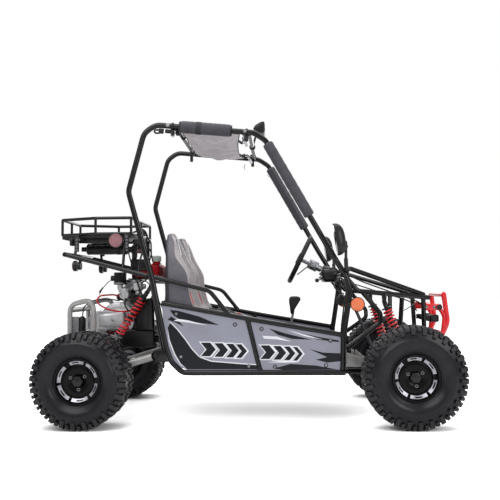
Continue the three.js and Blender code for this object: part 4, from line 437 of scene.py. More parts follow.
def buildFloor():
    bm = bmesh.new()
    z, half = cage["sill"], cage["half"]
    runs = [([(-288, side * half, z), (460, side * half, z)], cage["tube"], 0) for _, side in sides]
    runs += [crossTube(x, z, half - 9, floor["tube"]) for x in floor["cross"]]
    runs += [crossTube(x, high, 330, 12) for x, high in floor["seatBars"]]
    runs += [([(x, y, z + 8), (x, y, high)], 10, 0)
             for x, high in floor["seatBars"] for y in floor["seatLegs"]]
    addTubes(bm, runs, fine=5)
    addWelds(bm, [((x, side * (half - 14), z), (0, 1, 0), floor["tube"])
                  for x in floor["cross"] for _, side in sides])
    finishPiece("floor_tubes", bm, "powderCoat", "frame", "floor_frame")
    bm = bmesh.new()
    for (rear, front), wide in (floor["pan"], floor["toe"]):
        addBlock(bm, ((rear + front) / 2, 0, floor["panZ"]), (front - rear, 2 * wide, 2.5), 0.8)
    for y in range(-300, 301, 60):   # pressed ribs
        if abs(y) > 20:
            addTubes(bm, [([(-232, y, 252.6), (60, y, 252.6)], 3.2, 0),
                          ([(100, y, 252.6), (412, y, 252.6)], 3.2, 0)], fine=2)
    for x in range(-210, 400, 90):   # drain bolts along the middle
        addBolt(bm, (x + 20, 28, 253.6), (0, 0, 1), 5)
    finishPiece("floor_pan", bm, "scuffedCoat")
    bm = bmesh.new()
    for side in (-1, 1):   # bracket cheeks of the gear lever and the pedals
        addSheet(bm, [(142, 252), (210, 252), (190, 332), (162, 332)], side * 17 - 2.5, side * 17 + 2.5)
        for y in (122, 30):
            inner = y + side * 17.8
            addSheet(bm, [(504, 252), (536, 252), (528, 294), (512, 294)], inner - 2.5, inner + 2.5)
    addBolt(bm, (176, -19.5, 318), (0, -1, 0), 7)
    addBolt(bm, (176, 19.5, 318), (0, 1, 0), 7)
    finishPiece("floor_brackets", bm, "powderCoat")


# Side panels keep their CAD plates, and carry a printed design of our own and screws
panelPrint = {
    "sweep": [(-402, 460), (-392, 402), (-366, 334), (-338, 287), (-306, 259), (44, 258), (34, 278),
              (-52, 284), (-190, 296), (-246, 316), (-284, 356), (-318, 404), (-356, 452), (-390, 486)],
    "navy": [[(-392, 548), (-352, 544), (-244, 514), (-148, 472), (-248, 484), (-344, 502), (-372, 520)],
             [(-402, 500), (-368, 488), (-322, 466), (-338, 484), (-384, 516)],
             [(92, 456), (176, 430), (300, 400), (206, 404), (136, 424)],
             [(238, 434), (330, 414), (430, 396), (430, 388), (330, 400)],
             [(286, 356), (352, 338), (436, 334), (436, 296), (372, 290), (318, 304), (372, 316)],
             [(112, 262), (196, 284), (318, 276), (420, 257), (160, 256)]],
    "pale": [[(-372, 494), (-300, 486), (-204, 470), (-300, 496), (-352, 504)],
             [(60, 420), (132, 416), (200, 392), (130, 402), (70, 406)],
             [(180, 448), (262, 426), (356, 400), (262, 418)],
             [(82, 292), (168, 300), (244, 292), (168, 290)]],
    "edge": 5,
    # a row of arrowheads that get narrower towards the front: start, width, all on one sloping line
    "arrows": [(-226, 46), (-160, 40), (-102, 34), (-54, 26), (64, 44), (126, 36), (178, 28), (222, 20)],
    "arrowLow": 322, "arrowTall": 66, "arrowSlope": -0.05,
    "screws": [(-360, 528), (-72, 475), (57, 453), (389, 396), (-337, 319), (-6, 273), (121, 271),
               (367, 277)]}


def arrowHead(start, wide, spare):
    low = panelPrint["arrowLow"] + panelPrint["arrowSlope"] * (start + 226) - spare
    tall = panelPrint["arrowTall"] + 2 * spare
    lean = tall * 0.42
    rear, front = start - 1.5 * spare, start + wide + 1.5 * spare
    return [(rear - lean / 2, low), (front - lean / 2, low), (front + lean / 2, low + tall / 2),
            (front - lean / 2, low + tall), (rear - lean / 2, low + tall), (rear + lean / 2, low + tall / 2)]


def buildPanels():
    for name, side in sides:
        face = side * (cage["half"] + 1.5)
        for end in ("rear", "front"):
            panel = nodes[f"side_panel_{end}_{name}"]
            panel.data.materials.clear()
            panel.data.materials.append(finish["greyFilm"])
        # printed film in three layers: pale keylines, dark shapes, and pale marks on top
        heads = [[arrowHead(start, wide, spare) for start, wide in panelPrint["arrows"]]
                 for spare in (panelPrint["edge"], 0)]
        layers = (("keylines", "paleFilm", [grown(panelPrint["sweep"], panelPrint["edge"])] + heads[0], 0.12),
                  ("shapes", "navyFilm", [panelPrint["sweep"]] + panelPrint["navy"] + heads[1], 0.24),
                  ("marks", "paleFilm", panelPrint["pale"], 0.3))
        for layer, look, outlines, thick in layers:
            bm = bmesh.new()
            for outline in outlines:
                addSheet(bm, outline, min(face, face + side * thick), max(face, face + side * thick), 0)
            finishPiece(f"panel_{layer}_{name}", bm, look, smooth=False)
        bm = bmesh.new()
        for x, z in panelPrint["screws"]:
            addTurned(bm, [(0, 1), (9, 1), (10.4, 0), (0, 0)], (x, face, z), (0, side, 0), 28, 1)
            addTurned(bm, [(0, 2.8), (3, 2.4), (5.6, 2.6), (6.6, 1.6), (7, 0), (0, 0)], (x, face, z),
                      (0, side, 0), 24)
            addTurned(bm, [(2.6, 2.2), (2.6, 3.4), (0, 3.4)], (x, face, z), (0, side, 0), 6)
        finishPiece(f"panel_screws_{name}", bm, ["zincSteel", "blackMoulding"])


def grown(outline, spare):
    # The same outline, pushed out from its middle line by a few millimetres where it faces up and forward
    out = []
    for k, (x, z) in enumerate(outline):
        (ax, az), (bx, bz) = outline[k - 1], outline[(k + 1) % len(outline)]
        way = Vector((bx - ax, bz - az)).normalized()
        normal = Vector((way.y, -way.x)) * spare
        moved = Vector((x, z)) + normal
        out.append((moved.x, moved.y) if z > 262 and x > -398 else (x, z))
    return out


nose = {"tube": 12, "upper": [(472, 352, 700), (478, 352, 748), (880, 155, 613)],
        "lower": [(472, 352, 700), (527, 352, 634), (905, 155, 597)],
        "brace": [(548, 339, 632), (640, 312, 522), (640, 299, 478), (466, 347, 352)],
        "mirrorArm": [(478, 352, 736), (466, 400, 736), (466, 428, 850)],
        "dashBar": (452, 712), "tip": ((880, 613), (905, 597)), "tipHalf": 155, "keel": 118, "low": 217}


def earsAt(bm, eye, to, slot=0):
    # Two ear plates and a bolt that carry a shock absorber's eye
    eye, to = Vector(eye), Vector(to)
    along = Vector((to.x - eye.x, 0, to.z - eye.z)).normalized()
    across = Vector((along.z, 0, -along.x)) * 11
    tip = eye - along * 11
    corners = [tip + across * 0.6, Vector((to.x, 0, to.z)) + across, Vector((to.x, 0, to.z)) - across,
               tip - across * 0.6]
    for low in (eye.y - 19, eye.y + 14):
        addSheet(bm, [(c.x, c.z) for c in corners], low, low + 5, 0.8, slot)
    addRod(bm, (eye.x, eye.y - 22, eye.z), (eye.x, eye.y + 22, eye.z), 4, 14, 0.5, slot)
    addBolt(bm, (eye.x, eye.y - 19, eye.z), (0, -1, 0), 7, slot)
    addBolt(bm, (eye.x, eye.y + 19, eye.z), (0, 1, 0), 7, slot)


def buildNose():
    bm = bmesh.new()
    runs = []
    tube, keel, low = nose["tube"], nose["keel"], nose["low"]
    for _, side in sides:
        runs += [(mirrored(nose["upper"], side), tube, 34), (mirrored(nose["lower"], side), tube, 34),
                 (mirrored(nose["brace"], side), tube, 30), (mirrored(nose["mirrorArm"], side), 7, 22),
                 (mirrored([(476, 360, 712), (469, 396, 738), (466, 414, 790)], side), 10, 22)]
        addWelds(bm, [((548, side * 341, 631), (0.6, 0, -0.8), tube),
                      ((476, side * 350, 360), (1, 0, 0.7), tube)])
        earsAt(bm, (664, side * 279, 580), (664, 0, 621))
    runs += [crossTube(x, z, nose["tipHalf"], tube) for x, z in nose["tip"]]
    runs += [crossTube(*nose["dashBar"], 366, tube)]
    addTubes(bm, runs, fine=6)
    finishPiece("nose_rails", bm, "powderCoat", "frame", "nose_frame_upper")
    bm = bmesh.new()
    for _, side in sides:
        runs = [(inPlane([(436, low), (626, low), (689, 250), (890, 262)], side * keel), tube, 34),
                ([(752, side * keel, 262), (764, side * 205, 600)], tube, 0),
                ([(890, side * keel, 262), (880, side * nose["tipHalf"], 600)], tube, 0),
                ([(660, side * 45, 265), (660, side * 45, low)], tube, 0)]
        addTubes(bm, runs, fine=5)
        for x in (700, 826):
            for off in (-15, 15):
                addBlock(bm, (x + off, side * 139.7, 265), (5, 43.5, 22), 1)
            addRod(bm, (x - 17, side * 156, 265), (x + 17, side * 156, 265), 4, 14)
            addBolt(bm, (x - 17.5, side * 156, 265), (-1, 0, 0), 7)
    addTubes(bm, [crossTube(x, z, keel, tube) for x, z in ((452, low), (890, 262), (660, low))], fine=5)
    addTurned(bm, bush(10.9, 17.5, -62, 62, 0.5, 2), (660, 0, 265), (0, 1, 0), 28)
    finishPiece("nose_floor_tubes", bm, "powderCoat", "frame", "nose_frame_lower")
    buildDash()


wheelGear = {"hub": (262, 190, 812), "axis": (0.894934, 0, -0.446198), "rim": 134, "tube": 13, "shaft": 250,
             "lower": ((495.6, 190, 695.5), (660, 31, 285.6))}
dash = {"centre": (416, 95, 716), "size": (84, 244, 70)}


def buildDash():
    bm = bmesh.new()
    addBlock(bm, dash["centre"], dash["size"], 22, rounds=5)
    # meter pod
    addTurned(bm, [(0, 10), (30, 10), (34, 6), (34, -40), (22, -54), (0, -56)], (384, 60, 738),
              (-1, 0, 0.25), 40)
    for points in ([(470, 10, 730), (440, -10, 760), (400, -14, 742), (392, 0, 716)],
                   [(476, 250, 700), (450, 240, 756), (410, 200, 748)],
                   [(384, 190, 745), (352, 190, 752), (330, 205, 760), (318, 215, 778)],
                   [(430, 190, 690), (452, 200, 660), (470, 260, 690)]):
        addTubes(bm, [(points, 4, 26)], fine=3)
    for y in (0, 112, 150):
        addBlock(bm, (370, y, 728), (6, 22, 13), 2)
    addTubes(bm, [([(372, -8, 700), (352, -24, 692)], 3, 0)], fine=3)
    # choke knob
    addTurned(bm, [(0, -11), (7, -9.5), (11, -3), (11, 3), (7, 9.5), (0, 11)], (345, -30, 690),
              (1, 0, 0.4), 24)
    finishPiece("dash_box", bm, "blackMoulding")
    bm = bmesh.new()
    addTurned(bm, [(0, 11), (26, 11), (26, 9.5), (0, 9.5)], (384, 60, 738), (-1, 0, 0.25), 36)
    finishPiece("dash_meter_glass", bm, "clearLens")
    bm = bmesh.new()
    # ignition key lock
    addTurned(bm, [(0, 6), (8, 6), (9, 4), (9, 0), (0, 0)], (374, 24, 706), (-1, 0, 0), 24)
    addBlock(bm, (362, 24, 706), (12, 2, 9), 0.8)
    # plates and a collar that hold the steering column to the dash bar
    hub, axis = Vector(wheelGear["hub"]), Vector(wheelGear["axis"])
    lean = math.degrees(math.atan2(-axis.z, axis.x))
    for reach, size in ((62, (4, 84, 46)), (96, (4, 70, 40))):
        addBlock(bm, hub + axis * reach, size, 1.5, (0, lean, 0))
    addTurned(bm, [(20, 52), (26, 52), (28, 55), (28, 104), (26, 108), (20, 108), (20, 52)], hub, axis, 32)
    for off in (-30, 30):
        addRod(bm, hub + axis * 60 + Vector((0, off, 0)), hub + axis * 176 + Vector((0, off, -4)), 4.5, 14)
    addRod(bm, (300, 232, 768), (246, 268, 726), 3.4, 12)   # a bare lever under the column
    finishPiece("dash_key", bm, "zincSteel")


rearTubes = {"upright": [(-352, 366, 262), (-352, 300, 262), (-428, 300, 318), (-497, 300, 712),
                         (-497, 366, 712)],
             "support": [(-497, 346, 712), (-945, 262, 829)], "tube": 13,
             "cradle": {"x": (-439, -925), "half": 92, "z": 380}}


def buildRearFrame():
    bm = bmesh.new()
    tube, cradle = rearTubes["tube"], rearTubes["cradle"]
    cradleFront, cradleRear = cradle["x"]
    cradleZ = cradle["z"]
    for _, side in sides:
        y = side * cradle["half"]
        addTubes(bm, [(mirrored(rearTubes["upright"], side), tube, 40),
                      (mirrored(rearTubes["support"], side), 12, 0),
                      ([(cradleFront, y, cradleZ), (cradleRear, y, cradleZ)], tube, 0),
                      ([(-624, side * 132, 745), (-624, side * 132, 703)], 6, 0)], fine=5)
        inner = side * 309
        addSheet(bm, [(-484, 296), (-470, 290), (-408, 288), (-408, 350), (-470, 348), (-484, 342),
                      (-494, 328), (-494, 310)],
                 inner - 4, inner + 4, 1.5)
        addBolt(bm, (-470, side * 313, 319), (0, side, 0), 12)
    spans = [(-352, 262, 300, tube), (-495, 690, 300, tube), (cradleFront, cradleZ, 300, tube),
             (cradleRear, cradleZ, cradle["half"], tube), (-945, 829, 274, 12), (-624, 745, 322, 12)]
    addTubes(bm, [crossTube(*span) for span in spans], fine=5)
    earsAt(bm, (-532, -216, 634), (-495, 0, 690))
    addBlock(bm, (-559.5, 0, 703), (141, 276, 4), 1)
    finishPiece("rear_frame_tubes", bm, "powderCoat", "frame", "rear_subframe")


rack = {"tube": 8, "top": 1014, "low": 934,
        "outline": [(-607, 0), (-607, -260), (-790, -260), (-990, -166), (-990, 166), (-790, 260),
                    (-607, 260), (-607, 0)]}


def buildRack():
    bm = bmesh.new()
    low, high = rack["low"], rack["top"]
    runs = [([(x, y, z) for x, y in rack["outline"]], rack["tube"], 16) for z in (high, low)]
    posts = rack["outline"][1:-1] + [(-990, 0), (-607, 0)]
    runs += [([(x, y, low), (x, y, high)], 7, 0) for x, y in posts]
    for x in (-698, -790, -880):
        wide = 260 if x > -791 else 218
        runs.append(crossTube(x, low, wide, 5.5))
    for y in (-130, 0, 130):
        runs.append(([(-607, y, low), (-990, y, low)], 5, 0))
    for _, side in sides:
        for x, z, y, upperY in ((-893, 818, 272, 212), (-636, 751, 320, 260)):
            runs.append(([(x, side * y, z), (x, side * upperY, low)], 7.5, 0))
    addTubes(bm, runs, fine=4)
    finishPiece("rack_tubes", bm, "powderCoat", "frame", "cargo_rack")
    # sheet tray with a turned-down lip, and drilled brackets beside the rack's feet
    bm = bmesh.new()
    upright = Matrix.Rotation(math.radians(90), 4, "X")
    tray = rack["outline"][1:-1]
    addSheet(bm, tray, 924, 927, 0.8, place=upright)
    for (ax, ay), (bx, by) in zip(tray, tray[1:]):
        middle, way = ((ax + bx) / 2, (ay + by) / 2, 921), math.degrees(math.atan2(by - ay, bx - ax))
        addBlock(bm, middle, (math.hypot(bx - ax, by - ay), 3, 16), 0.8, (0, 0, way))
    for _, side in sides:
        for x, y, low, high in ((-886, 262, 842, 922), (-625, 284, 838, 930)):
            addBlock(bm, (x, side * y, (low + high) / 2), (24, 3, high - low), 1)
            for z in range(low + 10, high - 4, 17):
                addTurned(bm, band(2.8, 6, 0, 1.4), (x, side * (y + 1.5), z), (0, side, 0), 16, 1)
    finishPiece("rack_tray", bm, ["scuffedCoat", "zincSteel"])


bumper = {"outer": [(984, 612), (1001, 470), (974, 412)], "inner": [(958, 548), (986, 500), (974, 412)],
          "half": 155, "tube": 13}


def buildBumper():
    bm = bmesh.new()
    half, tube = bumper["half"], bumper["tube"]
    for _, side in sides:
        y = side * half
        addTubes(bm, [(inPlane(bumper["outer"], y), tube, 90), (inPlane(bumper["inner"], y), 10.5, 60)],
                 fine=6)
        inner = side * 149
        addSheet(bm, [(889, 565), (889, 531), (971, 531), (971, 565)], inner - 3, inner + 3, 1)
    spans = ((984, 612, half), (974, 412, half), (958, 548, 172))
    addTubes(bm, [crossTube(x, z, reach, tube) for x, z, reach in spans], fine=6)
    finishPiece("bumper_tubes", bm, "redEnamel", "frame", "front_bumper")
    bm = bmesh.new()
    for _, side in sides:
        addTurned(bm, [(0, 4), (12, 4), (14, 2), (14, -3), (0, -3)], (958, side * 172, 548), (0, side, 0), 28)
    finishPiece("bumper_end_caps", bm, "gripRubber")
    bm = bmesh.new()
    for _, side in sides:
        addBolt(bm, (896, side * 152.5, 548), (0, side, 0), 7)
        addBolt(bm, (936, side * 152.5, 548), (0, side, 0), 7)
    finishPiece("bumper_bolts", bm, "zincSteel")


guard = {"side": [(-812, 212, 414), (-812, 212, 602), (-945, 176, 570), (-945, 176, 414)], "tube": 13}


def buildGuard():
    bm = bmesh.new()
    loop, tube = guard["side"], guard["tube"]
    for _, side in sides:
        addTubes(bm, [(mirrored(loop, side), tube, 52), (mirrored([loop[0], loop[-1]], side), tube, 0)],
                 fine=6)
        addBlock(bm, (-935, side * 92, 397), (44, 26, 34), 2)
    addTubes(bm, [crossTube(-945, z, 176, tube) for z in (414, 542)], fine=6)
    finishPiece("guard_tubes", bm, "silverPaint", "frame", "engine_guard")


buildHoops()
buildSideFrames()
buildFloor()
buildPanels()
buildNose()
buildRearFrame()
buildRack()
buildBumper()
buildGuard()
print("frame made")


# Wheels: tyre section, knobs in rows round it, and a lacquered rim with machined arcs
tyreTypes = {
    "rear": {"x": -790, "radius": 226, "half": 120, "track": 485, "count": 24,
             "body": ("rear_axle", "rear_axle"),
             "rows": [(0, 30, 20, 0, 0), (40, 32, 24, 0.5, 14), (78, 30, 26, 0, -10)]},
    "front": {"x": 763, "radius": 238, "half": 89, "track": 501, "count": 26,
              "body": ("front_wheel_right", "front_wheel_left"),
              "rows": [(0, 26, 20, 0, 0), (31, 24, 24, 0.5, 12), (58, 24, 25, 0, -8)]},
}


def knobShape(length, width, height):
    bm = bmesh.new()
    bmesh.ops.create_cube(bm, size=1)
    bmesh.ops.scale(bm, vec=(height, width, length), verts=bm.verts)
    top = [v for v in bm.verts if v.co.x > 0]
    bmesh.ops.scale(bm, vec=(1, 0.82, 0.82), verts=top)
    bevelAll(bm, 1.6)
    return meshFrom(bm, "knob")


def lugShape(radius, half, foot, wide):
    # A wedge round the shoulder, tall at the tread and thin where it ends on the side
    bm = bmesh.new()
    swell = 1.5 if foot < radius - 30 else 4.5
    outline = [(radius - 1.5, half - 40), (radius - 4.5, half - 17), (radius - 14, half - 8),
               (foot + 3, half - swell), (foot, half - 9), (radius - 18, half - 28), (radius - 16, half - 40)]
    rows = [[bm.verts.new((r, a, z * (1 if r > radius - 16 else 0.82))) for r, a in outline]
            for z in (-wide / 2, wide / 2)]
    for row in rows:
        bm.faces.new(row)
    for k in range(len(outline)):
        bm.faces.new((rows[0][k], rows[0][k - 1], rows[1][k - 1], rows[1][k]))
    bmesh.ops.recalc_face_normals(bm, faces=bm.faces)
    bevelAll(bm, 1.5)
    return meshFrom(bm, "lug")


def placeKnob(bm, mesh, matrix, slot):
    start, faceStart = len(bm.verts), len(bm.faces)
    bm.from_mesh(mesh)
    bm.verts.ensure_lookup_table()
    bm.faces.ensure_lookup_table()
    bmesh.ops.transform(bm, matrix=matrix, verts=bm.verts[start:])
    for face in bm.faces[faceStart:]:
        face.material_index = slot


def buildTyre(end, name, side, body):
    tyre = tyreTypes[end]
    radius, half = tyre["radius"], tyre["half"]
    bead, crown = half - 22, radius - 9
    # bead ring, rolled-out side with two moulded rings, drawn-in shoulder, flat crown
    wall = [(103, bead - 2), (111, bead - 1), (115, bead + 4), (117.5, bead + 5), (119, bead + 2.5),
            (124, bead + 5), (132, bead + 12), (141, half - 4.6), (152, half - 1.2), (162, half - 0.1),
            (170, half - 0.4), (172, half), (174, half - 0.2), (175.5, half - 2), (182, half - 4.5),
            (189, half - 9), (crown - 22, half - 13), (crown - 13, half - 18), (crown - 5, half - 27),
            (crown, half * 0.5), (crown + 0.6, 0)]
    inside = [(crown - 14, 0), (crown - 14, half * 0.5), (165, half - 12), (125, bead - 4), (103, bead - 16)]
    outer = wall + [(r, -a) for r, a in reversed(wall[:-1])]
    lining = [(r, -a) for r, a in reversed(inside[1:])] + inside
    bm = bmesh.new()
    centre, axis = (tyre["x"], side * tyre["track"], radius), Vector((0, side, 0))
    addTurned(bm, outer + lining + outer[:1], centre, axis, 96)
    height = radius - crown + 5
    placed = Matrix.Translation(Vector(centre))
    step = 2 * math.pi / tyre["count"]
    for across, length, width, shift, lean in tyre["rows"]:
        shape = knobShape(width, length, height)
        for sign in ((1,) if across == 0 else (-1, 1)):
            for k in range(tyre["count"]):
                turn = Matrix.Rotation(step * (k + shift + (0.25 if sign < 0 else 0)), 4, "Y")
                drop = 4 * (across / half) ** 2
                raised = Matrix.Translation((radius - height / 2 - drop, sign * across, 0))
                lay = Matrix.Rotation(math.radians(lean * sign), 4, "X")
                placeKnob(bm, shape, placed @ turn @ raised @ lay, 1)
    # shoulder lugs, long and short in turn, that reach down the side
    for foot, wide, offset in ((radius - 42, 21, 0), (radius - 27, 17, 1)):
        shape = lugShape(radius, half, foot, wide)
        for sign in (-1, 1):
            flip = Matrix.Scale(sign, 4, (0, 1, 0))
            for k in range(tyre["count"]):
                angle = step * (k + 0.5 * offset + (0.25 if sign < 0 else 0))
                placeKnob(bm, shape, placed @ Matrix.Rotation(angle, 4, "Y") @ flip, 1)
    bmesh.ops.recalc_face_normals(bm, faces=bm.faces)
    finishPiece(f"{end}_tyre_rubber_{name}", bm, ["tyreRubber", "treadRubber"], body, f"{end}_tyre_{name}",
                crease=30)


rim = {"barrel": 100.7, "flange": 110, "disc": 26, "arcs": 6, "arcAngle": 51, "ring": (80, 96),
       "boltCircle": 38, "cap": 25}


def buildRim(end, name, side, body):
    tyre = tyreTypes[end]
    out, flange = tyre["half"] - 22, rim["flange"]
    centre, axis = Vector((tyre["x"], side * tyre["track"], tyre["radius"])), Vector((0, side, 0))
    face = out - rim["disc"]
    bm = bmesh.new()
    lip = [(96, face), (96.5, out - 3), (99, out + 2.5), (104, out + 4), (108.5, out + 3.5),
           (flange, out + 1.5), (109, out + 0.5), (rim["barrel"], out + 0.4), (rim["barrel"], -out - 0.4),
           (109, -out - 0.5), (flange, -out - 2), (108, -out - 4), (97, -out - 3), (96.7, face - 6),
           (60, face - 6), (46, face - 4), (13.5, face - 4), (13.5, face + 1), (30, face + 1),
           (34, face + 4), (70, face + 5), (76, face + 3), (78, face), (96, face)]
    addTurned(bm, lip, centre, axis, 72)
    if end == "front":
        addTurned(bm, band(13.5, 23, face - 40, face - 4), centre, axis, 32)
    finishPiece(f"{end}_rim_shell_{name}", bm, "wheelLacquer", body, f"{end}_rim_{name}")
    bm = bmesh.new()
    inner, outer = rim["ring"]
    gap = 360 / rim["arcs"]
    for k in range(rim["arcs"]):
        start = k * gap + 12
        profile = [(inner, face + 1), (inner, face + 8), (outer - 1.5, face + 16), (outer, face + 14),
                   (outer, face + 1), (inner, face + 1)]
        addTurned(bm, profile, centre, axis, 10, 0, rim["arcAngle"] - (9 if k % 4 == 1 else 0), start)
        dark = [(inner + 5, face + 9.4), (inner + 5, face + 11.4), (outer - 6, face + 14.9),
                (outer - 6, face + 12.6), (inner + 5, face + 9.4)]
        addTurned(bm, dark, centre, axis, 8, 1, 20, start + 15)
    finishPiece(f"{end}_rim_arcs_{name}", bm, ["machinedAlloy", "wheelLacquer"], body)
    bm = bmesh.new()
    capOut = face + 5
    tall = 15 if end == "rear" else 7
    addTurned(bm, [(0, tall), (rim["cap"] - 5, tall), (rim["cap"], tall - 2), (rim["cap"] + 1, -4),
                   (0, -4)], centre + axis * capOut, axis, 6, 1)
    for k in range(3):
        angle = math.radians(k * 120 + 35)
        out = Vector((math.cos(angle), 0, math.sin(angle)))
        spot = centre + axis * (capOut - 0.5) + out * rim["boltCircle"]
        addTurned(bm, band(5.6, 7.2, 0, 1.2), spot, axis, 24)
        addBolt(bm, spot, axis, 5, 1, washer=False)
    finishPiece(f"{end}_rim_bolts_{name}", bm, ["zincSteel", "blackMoulding"], body)


for end in ("rear", "front"):
    for (name, side), body in zip(sides, tyreTypes[end]["body"]):
        buildTyre(end, name, side, body)
        buildRim(end, name, side, body)
print("wheels made")


# Shock absorbers: damper body, rod and coil spring
shocks = {
    "rear_shock": {"top": (-532, -216, 634), "foot": (-722, -216, 352), "coil": 19, "wire": 4.6,
                   "curls": 11, "seat": 78, "travel": 49.2,
                   "bodies": ("rear_shock_upper", "rear_shock_lower"), "joint": "rear_shock_slide"},
}
for name, side in sides:
    shocks[f"front_shock_{name}"] = {
        "top": (664, side * 279, 580), "foot": (775, side * 325, 256), "coil": 21.5, "wire": 4.4,
        "curls": 14, "seat": 47, "travel": 35.9, "bodies": (f"front_shock_upper_{name}",
                                                            f"front_shock_lower_{name}"),
        "joint": f"front_shock_slide_{name}"}


def buildShock(name, s):
    top, foot = Vector(s["top"]), Vector(s["foot"])
    down = (foot - top).normalized()
    length = (foot - top).length
    upper, lower = s["bodies"]
    bm = bmesh.new()
    body = length * 0.52
    addTurned(bm, [(0, 5), (12, 6), (12.3, body - 4), (11.5, body), (5.8, body), (5.8, body - 2),
                   (0, body - 2)], top, down, 28)
    addTurned(bm, [(12, 30), (22, 31), (27, 34), (27, 38.5), (25, 39), (12.2, 39), (12, 30)], top, down, 32)
    addTurned(bm, bush(4.8, 11, -11, 11), top, (0, 1, 0), 24)
    finishPiece(f"{name}_damper", bm, "blackMoulding", upper, f"{name}_body")
    bm = bmesh.new()
    addTurned(bm, [(0, body - 12), (5, body - 12), (5, length - 8), (0, length - 8)], top, down, 20)
    addTurned(bm, [(5, length - 34), (9.6, length - 34), (9.8, length - 9), (5, length - 8),
                   (5, length - 34)], top, down, 24)
    low = length - s["seat"]   # the coil's lower seat
    addTurned(bm, [(4, low), (24, low), (26, low + 1), (26, low + 5), (20, low + 8), (8, low + 9),
                   (4, low + 9), (4, low)], top, down, 32)
    addTurned(bm, bush(7.5, 12.5, -11, 11), foot, (0, 1, 0), 24)
    finishPiece(f"{name}_slider", bm, "zincSteel", lower, f"{name}_rod")
    # the coil, its end turns lying closer together
    bm = bmesh.new()
    start, end = 39 + s["wire"], length - s["seat"] - s["wire"]
    turns, steps = s["curls"] - 0.5, 20
    count = int(turns * steps)
    place = towards(top, down)
    points = []
    for k in range(count + 1):
        share = k / count
        close = mix(share, share - math.sin(2 * math.pi * share) / (2 * math.pi), 0.18)
        angle = 2 * math.pi * turns * share
        points.append(place @ Vector((s["coil"] * math.cos(angle), s["coil"] * math.sin(angle),
                                      mix(start, end, close))))
    addTubes(bm, [(points, s["wire"], 0)], fine=3)
    spring = finishPiece(f"{name}_coil", bm, "springEnamel", upper, f"{name}_spring")
    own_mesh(spring)


for name, s in shocks.items():
    buildShock(name, s)
print("shock absorbers made")


# Canopy, laced between the roof rails
canopy = {"rear": -342, "front": -44, "half": 358, "sag": 46, "fold": 10, "folds": 6, "steps": (72, 120),
          "thick": 1.4}


def canopyPoint(along, across):
    x = mix(canopy["rear"], canopy["front"], along)
    edge = 1 - across ** 2
    sag = canopy["sag"] * edge * (0.75 + 0.25 * math.sin(math.pi * along))
    fold = canopy["fold"] * math.sin(across * canopy["folds"] * math.pi)
    fold *= math.sin(math.pi * mix(0.15, 0.95, along))
    # creases drawn from the corners that the hooks pull on
    crease = 0
    for corner, turn, tall in (((0, -1), 0.5, 13), ((1, 1), 0.9, 8), ((0, 1), 1.4, 8), ((1, -1), 2.2, 9)):
        u, w = along - corner[0], (across - corner[1]) * 1.2
        reach = math.hypot(u, w) + 0.05
        crease += tall * math.exp(-reach * 1.2) * math.sin(12 * math.atan2(u, w) + turn) * min(1, reach * 3)
    if along > 0.5:
        x -= 26 * (along - 0.5) * 2 * edge
    else:
        x += 22 * (0.5 - along) * 2 * edge
    lift = 14 * across ** 4 if across > 0 else 0
    z = roofZ(x) - cage["tube"] / 2 - sag + (fold + crease) * (1 - across ** 4) + lift
    return x, across * canopy["half"], z


def buildCanopy():
    bm = bmesh.new()
    bmesh.ops.create_grid(bm, x_segments=canopy["steps"][0], y_segments=canopy["steps"][1], size=0.5)
    for vert in bm.verts:
        vert.co = canopyPoint(vert.co.x + 0.5, vert.co.y * 2)
    bmesh.ops.recalc_face_normals(bm, faces=bm.faces)
    bmesh.ops.solidify(bm, geom=bm.faces[:], thickness=canopy["thick"])
    bmesh.ops.recalc_face_normals(bm, faces=bm.faces)
    cloth = finishPiece("canopy_cloth", bm, "canopyCloth", "frame", "canopy", crease=60)
    bm = bmesh.new()
    n = 60
    for along in (0, 1):
        addTubes(bm, [([canopyPoint(along, mix(-0.985, 0.985, k / n)) for k in range(n + 1)], 2.6, 0)],
                 fine=3)
    for across, radius in ((-0.985, 3.4), (0.985, 3.4)):
        addTubes(bm, [([canopyPoint(mix(0, 1, k / 30), across) for k in range(31)], radius, 0)], fine=3)
    hem = finishPiece("canopy_hem", bm, "strapCloth")


roofPad = {"rear": -334, "front": -88, "radius": 31}


